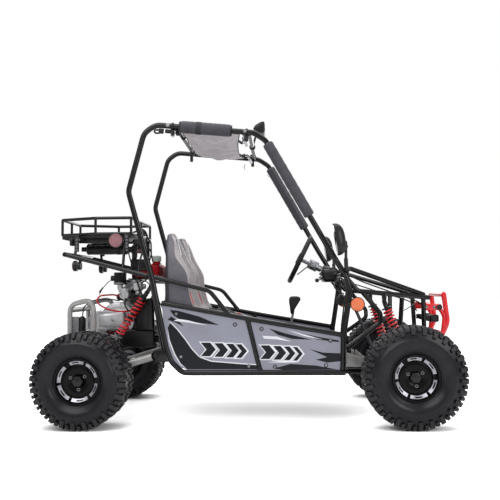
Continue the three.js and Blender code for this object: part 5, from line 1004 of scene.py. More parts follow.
def buildPads():
    bm = bmesh.new()
    y = -cage["half"]
    start, end = (Vector((x, y, roofZ(x))) for x in (roofPad["rear"], roofPad["front"]))
    length = (end - start).length
    profile = sleeveProfile(length, roofPad["radius"], cage["tube"] + 0.3, 10, 0.45)
    addTurned(bm, profile, start, end - start, 56)
    pad = finishPiece("roof_pad_sleeve", bm, "padCloth", "frame", "roof_pad_right")
    bm = bmesh.new()
    for share in (0.0, 0.36, 0.985):
        spot = start.lerp(end, share)
        wide, radius = (13, roofPad["radius"] + 0.6) if share == 0.36 else (9, roofPad["radius"] - 4)
        addTurned(bm, [(radius - 3, -wide), (radius, -wide), (radius + 0.6, 0), (radius, wide),
                       (radius - 3, wide), (radius - 3, -wide)],
                  spot, end - start, 56)
    finishPiece("roof_pad_straps", bm, "strapCloth")
    for name, side in sides:
        bm = bmesh.new()
        y = side * cage["half"]
        (topX, topZ), (footX, footZ) = (84, 1378), (379, 856)
        start = Vector((mix(topX, footX, 0.03), y, mix(topZ, footZ, 0.03)))
        end = Vector((mix(topX, footX, 0.72), y, mix(topZ, footZ, 0.72)))
        addTurned(bm, sleeveProfile((end - start).length, 27, cage["tube"] + 0.3, 9, 0.5), start,
                  end - start, 48)
        pad = finishPiece(f"pillar_pad_sleeve_{name}", bm, "padCloth", "frame", f"pillar_pad_{name}")
        bm = bmesh.new()   # zip tape down the inner side
        along = (end - start).normalized()
        addTubes(bm, [([start + along * 14 + Vector((0, -side * 26.8, 0)),
                        end - along * 14 + Vector((0, -side * 26.8, 0))], 1.6, 0)], fine=2)
        for share in (0.02, 0.98):
            spot = start.lerp(end, share)
            addTurned(bm, [(22, -5), (24.5, -5), (25, 0), (24.5, 5), (22, 5), (22, -5)], spot, along, 48)
        finishPiece(f"pillar_pad_trim_{name}", bm, "strapCloth")


def sleeveProfile(length, radius, bore, rings, depth):
    # A foam sleeve, faintly ribbed where the cloth bunches, with drawn-in ends
    profile = [(bore, 0), (radius - 7, 0), (radius - 3, 2), (radius - 0.8, 7)]
    count = rings * 6
    for k in range(1, count):
        share = k / count
        profile.append((radius - depth + depth * math.cos(2 * math.pi * rings * share),
                        mix(8, length - 8, share)))
    profile += [(radius - 0.8, length - 7), (radius - 3, length - 2), (radius - 7, length),
                (bore, length), (bore, 0)]
    return profile


buildCanopy()
buildPads()
print("canopy and pads made")


# Bucket seats: closed forms with bolsters, a sewn insert, and piped seams between the covers
seat = {
    "y": 186, "half": 159, "bolster": 44, "crown": 12, "shell": 62, "along": 150, "fine": 3,
    # the spine from the cushion's front to the top of the back, then shares of width, bolster and shell
    "x": [28, 6, -38, -125, -255, -291.6, -316, -330.5, -345, -368, -384, -391, -398],
    "z": [418, 456, 462, 481, 500, 526, 565, 642, 720, 810, 873, 900, 922],
    "wide": [0.78, 0.94, 1, 1, 1, 1, 1, 1, 0.98, 0.88, 0.76, 0.66, 0.5],
    "wing": [0.1, 0.35, 0.6, 0.8, 0.9, 1, 1, 0.85, 1, 0.5, 0.35, 0.25, 0],
    "deep": [0.4, 1, 1, 1, 1, 1.4, 1.75, 1.5, 1.3, 0.9, 0.68, 0.56, 0.4],
    # how far from the spine the two covers meet on the flank
    "join": [0, 2, 6, 14, 20, 30, 36, 31, 36, 2, 11, 8, 3],
    # the lap belt from its anchor to the buckle: x, how far out from the middle of the seat, z
    "belt": [(-224, 144, 500), (-208, 132, 546), (-170, 100, 532), (-128, 56, 500), (-96, 16, 495)],
    "channels": [0.09, 0.145, 0.20, 0.255, 0.31, 0.53, 0.585, 0.64, 0.695, 0.75],
}


def seatSection(along):
    # Half of the section at one place on the spine, from the middle of the front to the middle of the back
    crown, shell = seat["crown"], seat["shell"] * tableAt(seat["deep"], along)
    wing, meet = seat["bolster"] * tableAt(seat["wing"], along), tableAt(seat["join"], along)
    meet = max(meet, -0.6 * shell)
    return [(0, crown), (0.2, crown * 0.85), (0.36, crown * 0.1), (0.43, -3.4), (0.55, 0.45 * wing),
            (0.70, 0.92 * wing), (0.82, wing), (0.93, 0.84 * wing), (0.985, mix(0.84 * wing, meet, 0.55)),
            (1.0, meet), (1.012, mix(meet, -0.72 * shell, 0.5)), (0.995, -0.72 * shell),
            (0.95, -0.93 * shell), (0.85, -shell), (0.4, -shell * 1.02), (0, -shell * 1.02)]


def seatRing(side, along):
    here = Vector((tableAt(seat["x"], along), side * seat["y"], tableAt(seat["z"], along)))
    ahead, behind = (Vector((tableAt(seat["x"], t), 0, tableAt(seat["z"], t)))
                     for t in (min(1, along + 0.03), max(0, along - 0.03)))
    way = (ahead - behind).normalized()
    out = Vector((way.z, 0, -way.x))
    half, section = seat["half"] * tableAt(seat["wide"], along), seatSection(along)
    knots, fine = len(section) - 1, seat["fine"]
    run = [[tableAt([knot[k] for knot in section], n / (knots * fine)) for k in (0, 1)]
           for n in range(knots * fine + 1)]
    for n, (across, lift) in enumerate(run):
        place = n / fine
        if place < 2.6:   # sewn channels of the insert
            dip = sum(math.exp(-((along - spot) / 0.0055) ** 2) for spot in seat["channels"])
            run[n][1] -= 4 * dip * min(1, (2.8 - place))
        run[n][1] -= 2.6 * math.exp(-((place - 3) / 0.28) ** 2) + 1.8 * math.exp(-((place - 9) / 0.3) ** 2)
        # the cover wrinkles a little where the back turns into the cushion
        run[n][1] += 1.5 * math.sin(across * 21 + along * 60) * math.exp(-((along - 0.42) / 0.05) ** 2)
    return [here + Vector((0, half * across * sign, 0)) + out * lift
            for sign, part in ((1, run), (-1, run[-2:0:-1])) for across, lift in part]


def seatLook(place, along):
    # 0 pale cover, 1 charcoal cover, 2 dark band down the rear
    if place > 11:
        return 2
    return 1 if place > 9 or along < 0.345 or (place < 3 and 0.72 < along < 0.92) else 0


def addFlash(bm, rings, side):
    # A red leaf sewn on the bolster, wide below and pointed above
    part, total = bmesh.new(), len(rings[0])
    rows = []
    for k in range(25):
        t = k / 24
        along = 3 + seat["along"] * mix(0.572, 0.478, t)
        half = 0.06 + 0.72 * math.sin(math.pi * t ** 1.3)
        ring, after, spare, row = rings[int(along)], rings[int(along) + 1], along - int(along), []
        middle = sum(ring, Vector()) / total
        for j in range(13):
            n = seat["fine"] * (mix(8.5, 7.0, t) + half * (j / 6 - 1))
            spot = [mix(r[int(n) * side % total], r[(int(n) + 1) * side % total], n - int(n))
                    for r in (ring, after)]
            spot = mix(spot[0], spot[1], spare)
            row.append(part.verts.new(spot + (spot - middle).normalized() * 2.2))
        rows.append(row)
    for a, b in zip(rows, rows[1:]):
        for j in range(12):
            part.faces.new((a[j], a[j + 1], b[j + 1], b[j]))
    bmesh.ops.recalc_face_normals(part, faces=part.faces)
    bmesh.ops.solidify(part, geom=part.faces[:], thickness=2.4)
    join(bm, part, slot=2)


def buildSeats():
    for name, side in sides:
        bm = bmesh.new()
        count = seat["along"]
        rings = [seatRing(side, k / count) for k in range(count + 1)]
        # both ends are rounded over
        for end in (0, -1):
            middle = sum(rings[end], Vector()) / len(rings[end])
            way = (middle - sum(rings[1 if end == 0 else -2], Vector()) / len(rings[end])).normalized()
            extra = [[middle + (p - middle) * share + way * push for p in rings[end]]
                     for share, push in ((0.95, 5), (0.82, 10), (0.55, 14))]
            rings = extra[::-1] + rings if end == 0 else rings + extra
        knots = seat["fine"] * 15
        verts = [[bm.verts.new(p) for p in ring] for ring in rings]
        total = len(verts[0])
        for r in range(len(verts) - 1):
            for n in range(total):
                m = (n + 1) % total
                face = bm.faces.new((verts[r][n], verts[r][m], verts[r + 1][m], verts[r + 1][n]))
                place = (n + 0.5 if n < knots else total - n - 0.5) / seat["fine"]
                face.material_index = seatLook(place, (r - 3) / count)
        for ring in (verts[0], verts[-1]):
            hub = bm.verts.new(sum((v.co for v in ring), Vector()) / total)
            for n in range(total):
                bm.faces.new((ring[n], ring[(n + 1) % total], hub)).material_index = 1
        bmesh.ops.recalc_face_normals(bm, faces=bm.faces)
        pad = finishPiece(f"seat_cover_{name}", bm, ["greyVinyl", "charcoalVinyl", "rearVinyl"], "frame",
                          f"seat_{name}", crease=70)
        bm = bmesh.new()
        for knot, radius, slot in ((9, 2.6, 0), (11, 2.2, 1), (3, 1.5, 1)):
            for sign in (1, -1):
                n = knot * seat["fine"]
                path = [ring[n if sign > 0 else total - n] for ring in rings[5:-4]]
                addTubes(bm, [(path, radius, 0)], slot, fine=2)
        for sign in (1, -1):
            addFlash(bm, rings, sign)
        finishPiece(f"seat_piping_{name}", bm, ["greyVinyl", "charcoalVinyl", "redVinyl"])
        bm = bmesh.new()   # lap belt laid over the cushion, with its buckle
        for end in (-1, 1):
            path = [(x, side * seat["y"] + end * y, z) for x, y, z in seat["belt"]]
            addStrap(bm, rounded(path, 50), 44, 1.8)
        finishPiece(f"lap_belt_{name}", bm, "strapCloth")
        bm = bmesh.new()
        addBlock(bm, (-90, side * seat["y"], 500), (46, 62, 18), 5, (0, 8, 0), rounds=3)
        addBlock(bm, (-88, side * seat["y"], 510), (24, 30, 5), 2, (0, 8, 0), slot=1)
        finishPiece(f"belt_buckle_{name}", bm, ["blackMoulding", "redLead"])


def addStrap(bm, path, width, thick, slot=0):
    # Flat webbing that follows a path, its width along the kart
    part = bmesh.new()
    rows = []
    for k, here in enumerate(path):
        ahead, behind = path[min(k + 1, len(path) - 1)], path[max(k - 1, 0)]
        way = (Vector(ahead) - Vector(behind)).normalized()
        wide = (Vector((1, 0, 0)) - way * way.x).normalized() * (width / 2)
        rows.append([part.verts.new(Vector(here) - wide), part.verts.new(Vector(here) + wide)])
    for a, b in zip(rows, rows[1:]):
        part.faces.new((a[0], a[1], b[1], b[0]))
    bmesh.ops.recalc_face_normals(part, faces=part.faces)
    bmesh.ops.solidify(part, geom=part.faces[:], thickness=thick)
    join(bm, part, slot=slot)


buildSeats()
print("seats made")

# Engine: crankcase, covers, barrel and head, all cast alloy
engine = {"crank": (-706, 492), "half": 128,
          "rounds": (((-706, 492), 91), ((-800, 470), 69), ((-560, 438), 41)),
          "casting": [(-552, 399), (-706, 397), (-800, 412), (-812, 520), (-706, 549), (-560, 481),
                      (-522, 452), (-522, 420)],
          "cover": [(-655, 442), (-655, 542), (-812, 527), (-812, 442)], "coverSide": -173.5,
          "boss": (-721, 489), "axis": (50, 0, 148), "barrel": (92.6, 156), "head": 56}


def buildEngine():
    bm = bmesh.new()
    half = engine["half"]
    addSheet(bm, engine["casting"], -half + 14, half - 14, 9, 2)
    for (x, z), radius in engine["rounds"]:
        for side in (-1, 1):
            profile = [(0, 0), (radius, 0), (radius, 9), (radius - 2, 12), (radius - 6, 14),
                       (radius * 0.74, 15.2), (radius * 0.7, 12), (radius * 0.32, 11.5),
                       (radius * 0.28, 14), (0, 14)]
            addTurned(bm, profile, (x, side * (half - 16), z), (0, side, 0), 56, 2 if x > -700 else 0)
            for k in range(6):
                angle = math.radians(60 * k + 20)
                spot = (x + (radius - 9) * math.cos(angle), side * (half - 4),
                        z + (radius - 9) * math.sin(angle))
                addBolt(bm, spot, (0, side, 0), 5, 1, washer=False)
    # clutch cover, with its flange, rim screws and plug
    flange = [(x + (4 if x > -700 else -4), z + (4 if z > 500 else -4)) for x, z in engine["cover"]]
    addSheet(bm, flange, -half - 5, -half + 14, 3)
    addSheet(bm, engine["cover"], engine["coverSide"], -half, 22, rounds=6)
    bossX, bossZ = engine["boss"]
    addTurned(bm, [(0, 2), (9, 2), (9, 0.6), (13, 0.6), (14, 2.6), (18, 2.6), (19.5, 0),
                   (19.5, -12), (0, -12)],
              (bossX, engine["coverSide"], bossZ), (0, -1, 0), 40)
    addTurned(bm, [(0, 5), (6.5, 5), (7, 4), (7, 0), (0, 0)], (bossX, engine["coverSide"], bossZ),
              (0, -1, 0), 6, 1)
    for x, z in ((-660, 448), (-660, 536), (-735, 528), (-806, 520), (-806, 448), (-735, 446)):
        addBolt(bm, (x, -half - 4, z), (0, -1, 0), 5, 1, washer=False)
    for x in range(-780, -640, 28):   # cooling ribs under the case
        addBlock(bm, (x, 0, 404), (4, 190, 14), 1.5)
    for side in (-1, 1):
        addBlock(bm, (engine["crank"][0], side * 92, 398), (150, 44, 8), 2)
        for x in (-770, -642):
            addBolt(bm, (x, side * 92, 401), (0, 0, 1), 8, 1)
    addRod(bm, (-512, 90, 352), (-512, 139, 352), 9, 24)
    addSheet(bm, [(-521, 352), (-503, 352), (-527, 437), (-568, 400)], 90, 118, 3)
    addDisc(bm, (-512, 132, 352), 13, 22, 5, teeth=12, slot=1)
    finishPiece("engine_cases", bm, ["castAlloy", "zincSteel", "darkCasting"], "frame",
                "engine_case")
    bm = bmesh.new()
    addSheet(bm, [(-768, 425), (-748, 413), (-692, 413), (-672, 425), (-672, 434), (-768, 434)],
             -half - 3.4, -half + 1, 1)
    finishPiece("engine_side_plate", bm, "darkRedPlate")


def addDisc(bm, centre, inner, outer, thick, teeth=0, tooth=6, gaps=0, slot=0):
    # A flat disc across the kart, with teeth round it or windows through it
    part = bmesh.new()
    sectors = 4 * max(teeth, gaps, 12)
    rings = [inner, mix(inner, outer, 0.3), mix(inner, outer, 0.5), mix(inner, outer, 0.74), outer]
    grid = []
    for k in range(sectors):
        angle = 2 * math.pi * k / sectors
        low = tooth if teeth and (k % 4) in (2, 3) else 0
        grid.append([part.verts.new(((r - (low if r == outer else 0)) * math.cos(angle), 0,
                                     (r - (low if r == outer else 0)) * math.sin(angle))) for r in rings])
    windows = ((), (0, 1), (2, 3), ())   # which sectors of each ring are open
    for k in range(sectors):
        for i in range(4):
            if not (gaps and k % (sectors // gaps) in windows[i]):
                a, b = grid[k], grid[(k + 1) % sectors]
                part.faces.new((a[i], a[i + 1], b[i + 1], b[i]))
    bmesh.ops.recalc_face_normals(part, faces=part.faces)
    bmesh.ops.solidify(part, geom=part.faces[:], thickness=thick)
    middle = sum((v.co.y for v in part.verts)) / len(part.verts)
    bmesh.ops.translate(part, vec=(0, -middle, 0), verts=part.verts)
    join(bm, part, Matrix.Translation(Vector(centre)), slot)


def buildHead():
    axis = Vector(engine["axis"]).normalized()
    crank = Vector((engine["crank"][0], 0, engine["crank"][1]))
    low, high = engine["barrel"]
    lean = math.degrees(math.atan2(axis.x, axis.z))
    bm = bmesh.new()
    profile = [(0, 0), (54, 0), (54, 6), (49, 6.5)]
    for k in range(6):   # cooling fins
        start = 11 + 8.6 * k
        profile += [(49, start), (66, start + 0.7), (66.6, start + 1.6), (66, start + 2.5), (49, start + 3.2)]
    profile += [(49, high - low - 1), (0, high - low - 1)]
    addTurned(bm, profile, crank + axis * low, axis, 56)
    head = crank + axis * (high + engine["head"] / 2)
    addBlock(bm, head, (82, 88, engine["head"]), 10, (0, lean, 0), rounds=4)
    for k in range(5):
        addBlock(bm, head + axis * (k * 8 - 20), (92, 96, 2.6), 1.2, (0, lean, 0))
    for off in (-26, 26):   # valve caps
        spot = head + Vector((axis.z, 0, -axis.x)) * off + axis * 20
        addTurned(bm, [(0, 14), (13, 14), (16, 11), (16, 0), (0, 0)], spot, axis, 6, 1)
    addTurned(bm, [(0, 148), (7, 148), (7.5, 145), (15, 145), (16.5, 149.5), (22, 149.5), (25, 147),
                   (25, 138), (22.5, 134), (22.5, 100), (25, 98), (25, 40), (0, 40)], (-668, 0, 622),
              (0, -1, 0), 44)
    for k in range(3):
        angle = math.radians(120 * k + 50)
        spot = (-668 + 19 * math.cos(angle), -149, 622 + 19 * math.sin(angle))
        addBolt(bm, spot, (0, -1, 0), 3.6, 1, washer=False)
    # inlet pipe, carburettor with its bowl and slide cover, starter beside it
    addTubes(bm, [([(-656, 0, 645), (-656, -112, 645), (-696, -112, 645), (-696, -112, 674)], 15, 20),
                  ([(-656, -84, 648), (-626, -104, 660), (-604, -116, 668)], 13, 16)], fine=5)
    addBlock(bm, (-598, -118, 664), (46, 50, 44), 7, (0, -8, 0), rounds=3)
    addTurned(bm, [(0, -4), (14, -4), (17, 0), (17, 14), (19, 15), (19, 22), (0, 22)], (-598, -118, 626),
              (0, 0, 1), 32)
    addTurned(bm, [(0, 0), (16, 0), (16, 6), (12, 8), (12, 12), (0, 13)], (-598, -118, 686), (0, 0, 1), 28)
    addTurned(bm, [(0, 0), (12, 0), (13, 3), (13, 12), (9, 16), (0, 16)], (-574, -118, 664), (1, 0, 0), 28)
    addRod(bm, (-640, -60, 690), (-600, -60, 700), 11, 24, 2)
    finishPiece("engine_top", bm, ["castAlloy", "zincSteel"], "frame", "cylinder_head")
    bm = bmesh.new()   # rubber boots and the plug cap
    addTurned(bm, [(0, 0), (18, 0), (20, 3), (18, 6), (20, 9), (18, 12), (20, 15), (17, 20), (0, 20)],
              (-656, -52, 645), (0, -1, 0), 36)
    addTurned(bm, [(0, 0), (15, 0), (17, 5), (17, 22), (12, 30), (0, 31)], (-694, -66, 606),
              (-0.75, -0.5, 0.2), 28)
    addBlock(bm, (-620, -34, 642), (40, 30, 34), 6)
    finishPiece("engine_boots", bm, "gripRubber")


def buildFilter():
    bm = bmesh.new()
    profile = [(0, 0), (30, 0), (33, 2)]
    for k in range(9):
        profile += [(33.6, 6 + k * 6), (31.6, 9 + k * 6)]
    profile += [(33.6, 60), (33, 63), (29, 65), (0, 65)]
    addTurned(bm, profile, (-696, -112, 674), (0, 0, 1), 48)
    addTurned(bm, [(10, 0), (14, 0), (14.6, 3), (14.6, 17), (12, 19.6), (10, 19.6), (10, 0)],
              (-725.4, -112, 708), (-1, 0, 0), 32)
    finishPiece("air_filter_canister", bm, "blackMoulding", "frame", "air_filter")
    bm = bmesh.new()
    addTurned(bm, band(34, 34.7, -3, 3), (-696, -112, 682), (0, 0, 1), 48)
    addBlock(bm, (-696, -146, 682), (12, 3, 8), 1)
    finishPiece("air_filter_clamp", bm, "zincSteel")
    bm = bmesh.new()   # drain hose
    addTubes(bm, [([(-744, -112, 700), (-760, -116, 688), (-788, -120, 656), (-806, -120, 622)], 2.2, 30),
                  ([(-786, -119, 660), (-806, -122, 634)], 4, 0)], fine=3)
    finishPiece("air_filter_drain", bm, "gripRubber")


muffler = {"front": (-690, 56, 872), "radius": 31, "length": 232, "tail": 259}


def buildExhaust():
    bm = bmesh.new()
    radius, length = muffler["radius"], muffler["length"]
    addTubes(bm, [([(-647, 26, 666), (-647, 54, 666), (-661, 80, 672), (-661, 80, 844), (-664, 60, 872),
                    (-693, 56, 872)], 14, 22)],
             fine=6)
    profile = [(0, 0), (18, 0), (27, 3), (30, 7), (radius, 9), (radius, 14), (30, 16), (30, length - 16),
               (radius, length - 14), (radius, length - 9), (30, length - 7), (24, length - 2),
               (13, length), (13, muffler["tail"]), (10, muffler["tail"]), (10, length - 10),
               (0, length - 10)]
    addTurned(bm, profile, muffler["front"], (-1, 0, 0), 48)
    for x in (-742, -868):   # straps up to the rack
        addTurned(bm, band(30.2, 31.2, -9, 9), (x, 56, 872), (1, 0, 0), 48)
        addBlock(bm, (x, 56, 915), (18, 3, 28), 0.8)
    finishPiece("exhaust_silencer", bm, "heatPaint", "frame", "exhaust")
    bm = bmesh.new()   # pressed heat shield over it
    _, pipeY, pipeZ = muffler["front"]
    for k in range(7):
        x = -708 - k * 29
        for angle in range(40, 141, 20):
            a = math.radians(angle)
            spot = (x, pipeY + 33.5 * math.cos(a), pipeZ + 33.5 * math.sin(a))
            addBlock(bm, spot, (22, 10.4, 1.4), 0.5, (angle - 90, 0, 0))
    for angle in (34, 90, 146):
        a = math.radians(angle)
        y, z = pipeY + 33 * math.cos(a), pipeZ + 33 * math.sin(a)
        addRod(bm, (-700, y, z), (-906, y, z), 1.6, 10)
    finishPiece("exhaust_heat_shield", bm, "zincSteel")


tank = {"x": (-618.5, -486), "z": (705, 781), "half": 124, "cap": (-506, -92)}


def buildTank():
    (rear, front), (low, high) = tank["x"], tank["z"]
    bm = bmesh.new()
    addBlock(bm, ((rear + front) / 2, 0, (low + high) / 2), (front - rear, 2 * tank["half"], high - low),
             18, rounds=6)
    addBlock(bm, ((rear + front) / 2, 0, 744), (front - rear + 0.8, 2 * tank["half"] + 1, 3.5), 1)
    capX, capY = tank["cap"]
    addTurned(bm, [(0, 0), (27, 0), (26, 5), (20, 7), (20, 14), (0, 14)], (capX, capY, high - 1),
              (0, 0, 1), 40)
    finishPiece("fuel_tank_shell", bm, "redTank", "frame", "fuel_tank")
    bm = bmesh.new()
    addTurned(bm, [(0, 0), (22, 0), (23.6, 2), (23.6, 28), (21, 31), (10, 32), (0, 32)],
              (capX, capY, high + 14), (0, 0, 1), 48)
    for k in range(20):
        a = 2 * math.pi * k / 20
        x, y = capX + 23 * math.cos(a), capY + 23 * math.sin(a)
        addRod(bm, (x, y, high + 17), (x, y, high + 41), 1.6, 8)
    finishPiece("fuel_cap", bm, "paleCap")
    bm = bmesh.new()
    for y in (-40, 78):   # holding straps
        for x, z, sizeX, sizeZ in (((rear + front) / 2, high + 1, front - rear - 30, 2),
                                   (front + 1, (low + high) / 2, 2, high - low - 34),
                                   (rear - 1, (low + high) / 2, 2, high - low - 34)):
            addBlock(bm, (x, y, z), (sizeX, 24, sizeZ), 0.8)
    finishPiece("tank_straps", bm, "strapCloth")


# Swingarm, axle and chain
swing = {"pivot": (-470, 319), "axle": (-790, 226), "half": 284, "tube": 19, "foot": (-722, -216, 352)}


def swingZ(x):
    (pivotX, pivotZ), (axleX, axleZ) = swing["pivot"], swing["axle"]
    return mix(pivotZ, axleZ, (x - pivotX) / (axleX - pivotX))


def buildSwingarm():
    bm = bmesh.new()
    (pivotX, pivotZ), (axleX, axleZ) = swing["pivot"], swing["axle"]
    runs = []
    for side in (-1, 1):
        y = side * swing["half"]
        runs.append(([(pivotX, y, pivotZ), (axleX, y, axleZ)], swing["tube"], 0))
        addTurned(bm, [(15.6, 0), (26, 0), (30, 4), (30, 45), (27, 49), (20, 49), (15.6, 47), (15.6, 0)],
                  (axleX, side * 254, axleZ), (0, side, 0), 40)
        addWelds(bm, [((mix(pivotX, axleX, 0.055), y, swingZ(-487)), (pivotX - axleX, 0, pivotZ - axleZ),
                       swing["tube"])])
    addTurned(bm, bush(8.6, 19, -303, 303, 1, 2), (pivotX, 0, pivotZ), (0, 1, 0), 36)
    runs += [([(-668, -284, swingZ(-668)), (-668, 90, swingZ(-668))], 13, 0),
             ([(-722, -284, swingZ(-722)), (-722, -194, swingZ(-722))], 13, 0)]
    addTubes(bm, runs, fine=6)
    earsAt(bm, swing["foot"], (-722, 0, swingZ(-722)))
    # caliper bracket
    addSheet(bm, [(-690, 262), (-712, 262), (-730, 296), (-716, 300), (-690, 280)], -117, -111, 1)
    finishPiece("swingarm_tubes", bm, "silverPaint", "swingarm", "swingarm")
    bm = bmesh.new()   # brake caliper astride the disc
    for off in (-15, 15):
        addBlock(bm, (-729, -132 + off, 276), (40, 18, 54), 5, (0, 36, 0), rounds=3)
    addBlock(bm, (-717, -132, 298), (22, 34, 36), 4, (0, 36, 0), rounds=3)
    for z in (266, 290):
        addBolt(bm, (-728, -155.5, z), (0, -1, 0), 6)
    finishPiece("brake_caliper", bm, "darkSteel", "swingarm")


def buildAxle():
    x, z = swing["axle"]
    bm = bmesh.new()
    addTurned(bm, [(0, -573), (13, -573), (15, -571), (15, 571), (13, 573), (0, 573)], (x, 0, z),
              (0, 1, 0), 32)
    for side in (-1, 1):
        addTurned(bm, [(15, 498), (25, 498), (26, 500), (26, 534), (30, 538), (50, 539), (52, 541),
                       (52, 549), (50, 551), (15, 551), (15, 498)],
                  (x, 0, z), (0, side, 0), 44)
        addTurned(bm, [(0, 556), (16.5, 556), (18.5, 558), (18.5, 570), (0, 570)], (x, 0, z), (0, side, 0), 6)
        addTurned(bm, [(15, 308), (24, 308), (25, 310), (25, 320), (15, 320), (15, 308)], (x, 0, z),
                  (0, side, 0), 32)
    addTurned(bm, bush(15, 30, -144, -120, 1, 2), (x, 0, z), (0, 1, 0), 36)
    addTurned(bm, [(15, 122), (34, 122), (35, 124), (35, 142), (15, 142), (15, 122)], (x, 0, z),
              (0, 1, 0), 36)
    finishPiece("rear_axle_shaft", bm, "zincSteel", "rear_axle", "rear_axle")
    bm = bmesh.new()
    addDisc(bm, (x, -132, z), 28, 78, 4, gaps=12)
    addDisc(bm, (x, 132, z), 33, 70, 6, teeth=36, tooth=5, gaps=9, slot=1)
    for k in range(5):
        a = 2 * math.pi * k / 5
        addBolt(bm, (x + 38 * math.cos(a), -134, z + 38 * math.sin(a)), (0, -1, 0), 5)
        addBolt(bm, (x + 42 * math.cos(a), 135, z + 42 * math.sin(a)), (0, 1, 0), 5)
    finishPiece("brake_disc_and_sprocket", bm, ["machinedAlloy", "darkSteel"], "rear_axle")


chain = {"big": (-790, 226, 70.5), "small": (-512, 352, 23), "y": 132, "links": 72, "plate": (15, 1.4, 8.6)}


def chainPoint(share):
    # Round both sprockets and along the two straight runs between them
    (bigX, bigZ, bigR), (smallX, smallZ, smallR) = chain["big"], chain["small"]
    gap = math.hypot(smallX - bigX, smallZ - bigZ)
    heading = math.atan2(smallZ - bigZ, smallX - bigX)
    lean = math.acos((bigR - smallR) / gap)
    straight = math.sqrt(gap ** 2 - (bigR - smallR) ** 2)
    arcs = smallR * 2 * lean, bigR * (2 * math.pi - 2 * lean)
    walk = share * (2 * straight + sum(arcs))
    upper = heading + lean
    tops = [Vector((bigX + bigR * math.cos(upper), bigZ + bigR * math.sin(upper))),
            Vector((smallX + smallR * math.cos(upper), smallZ + smallR * math.sin(upper)))]
    lower = heading - lean
    lows = [Vector((smallX + smallR * math.cos(lower), smallZ + smallR * math.sin(lower))),
            Vector((bigX + bigR * math.cos(lower), bigZ + bigR * math.sin(lower)))]
    if walk < straight:
        return tops[0].lerp(tops[1], walk / straight)
    walk -= straight
    if walk < arcs[0]:
        angle = upper - walk / smallR
        return Vector((smallX + smallR * math.cos(angle), smallZ + smallR * math.sin(angle)))
    walk -= arcs[0]
    if walk < straight:
        return lows[0].lerp(lows[1], walk / straight)
    angle = lower - (walk - straight) / bigR
    return Vector((bigX + bigR * math.cos(angle), bigZ + bigR * math.sin(angle)))


def buildChain():
    bm = bmesh.new()
    count = chain["links"]
    length, thick, high = chain["plate"]
    for k in range(count):
        here, there = chainPoint(k / count), chainPoint((k + 1) / count % 1)
        turn = -math.degrees(math.atan2(there.y - here.y, there.x - here.x))
        out = 5.4 if k % 2 else 3.6
        for side in (-1, 1):
            addBlock(bm, ((here.x + there.x) / 2, chain["y"] + side * out, (here.y + there.y) / 2),
                     (length + 2, thick, high), 0.6, (0, turn, 0), rounds=1)
        addRod(bm, (here.x, chain["y"] - 6.6, here.y), (here.x, chain["y"] + 6.6, here.y), 3.8, 8, 0.4, 1)
    finishPiece("chain_links", bm, ["chainSteel", "zincSteel"], "swingarm", "drive_chain")


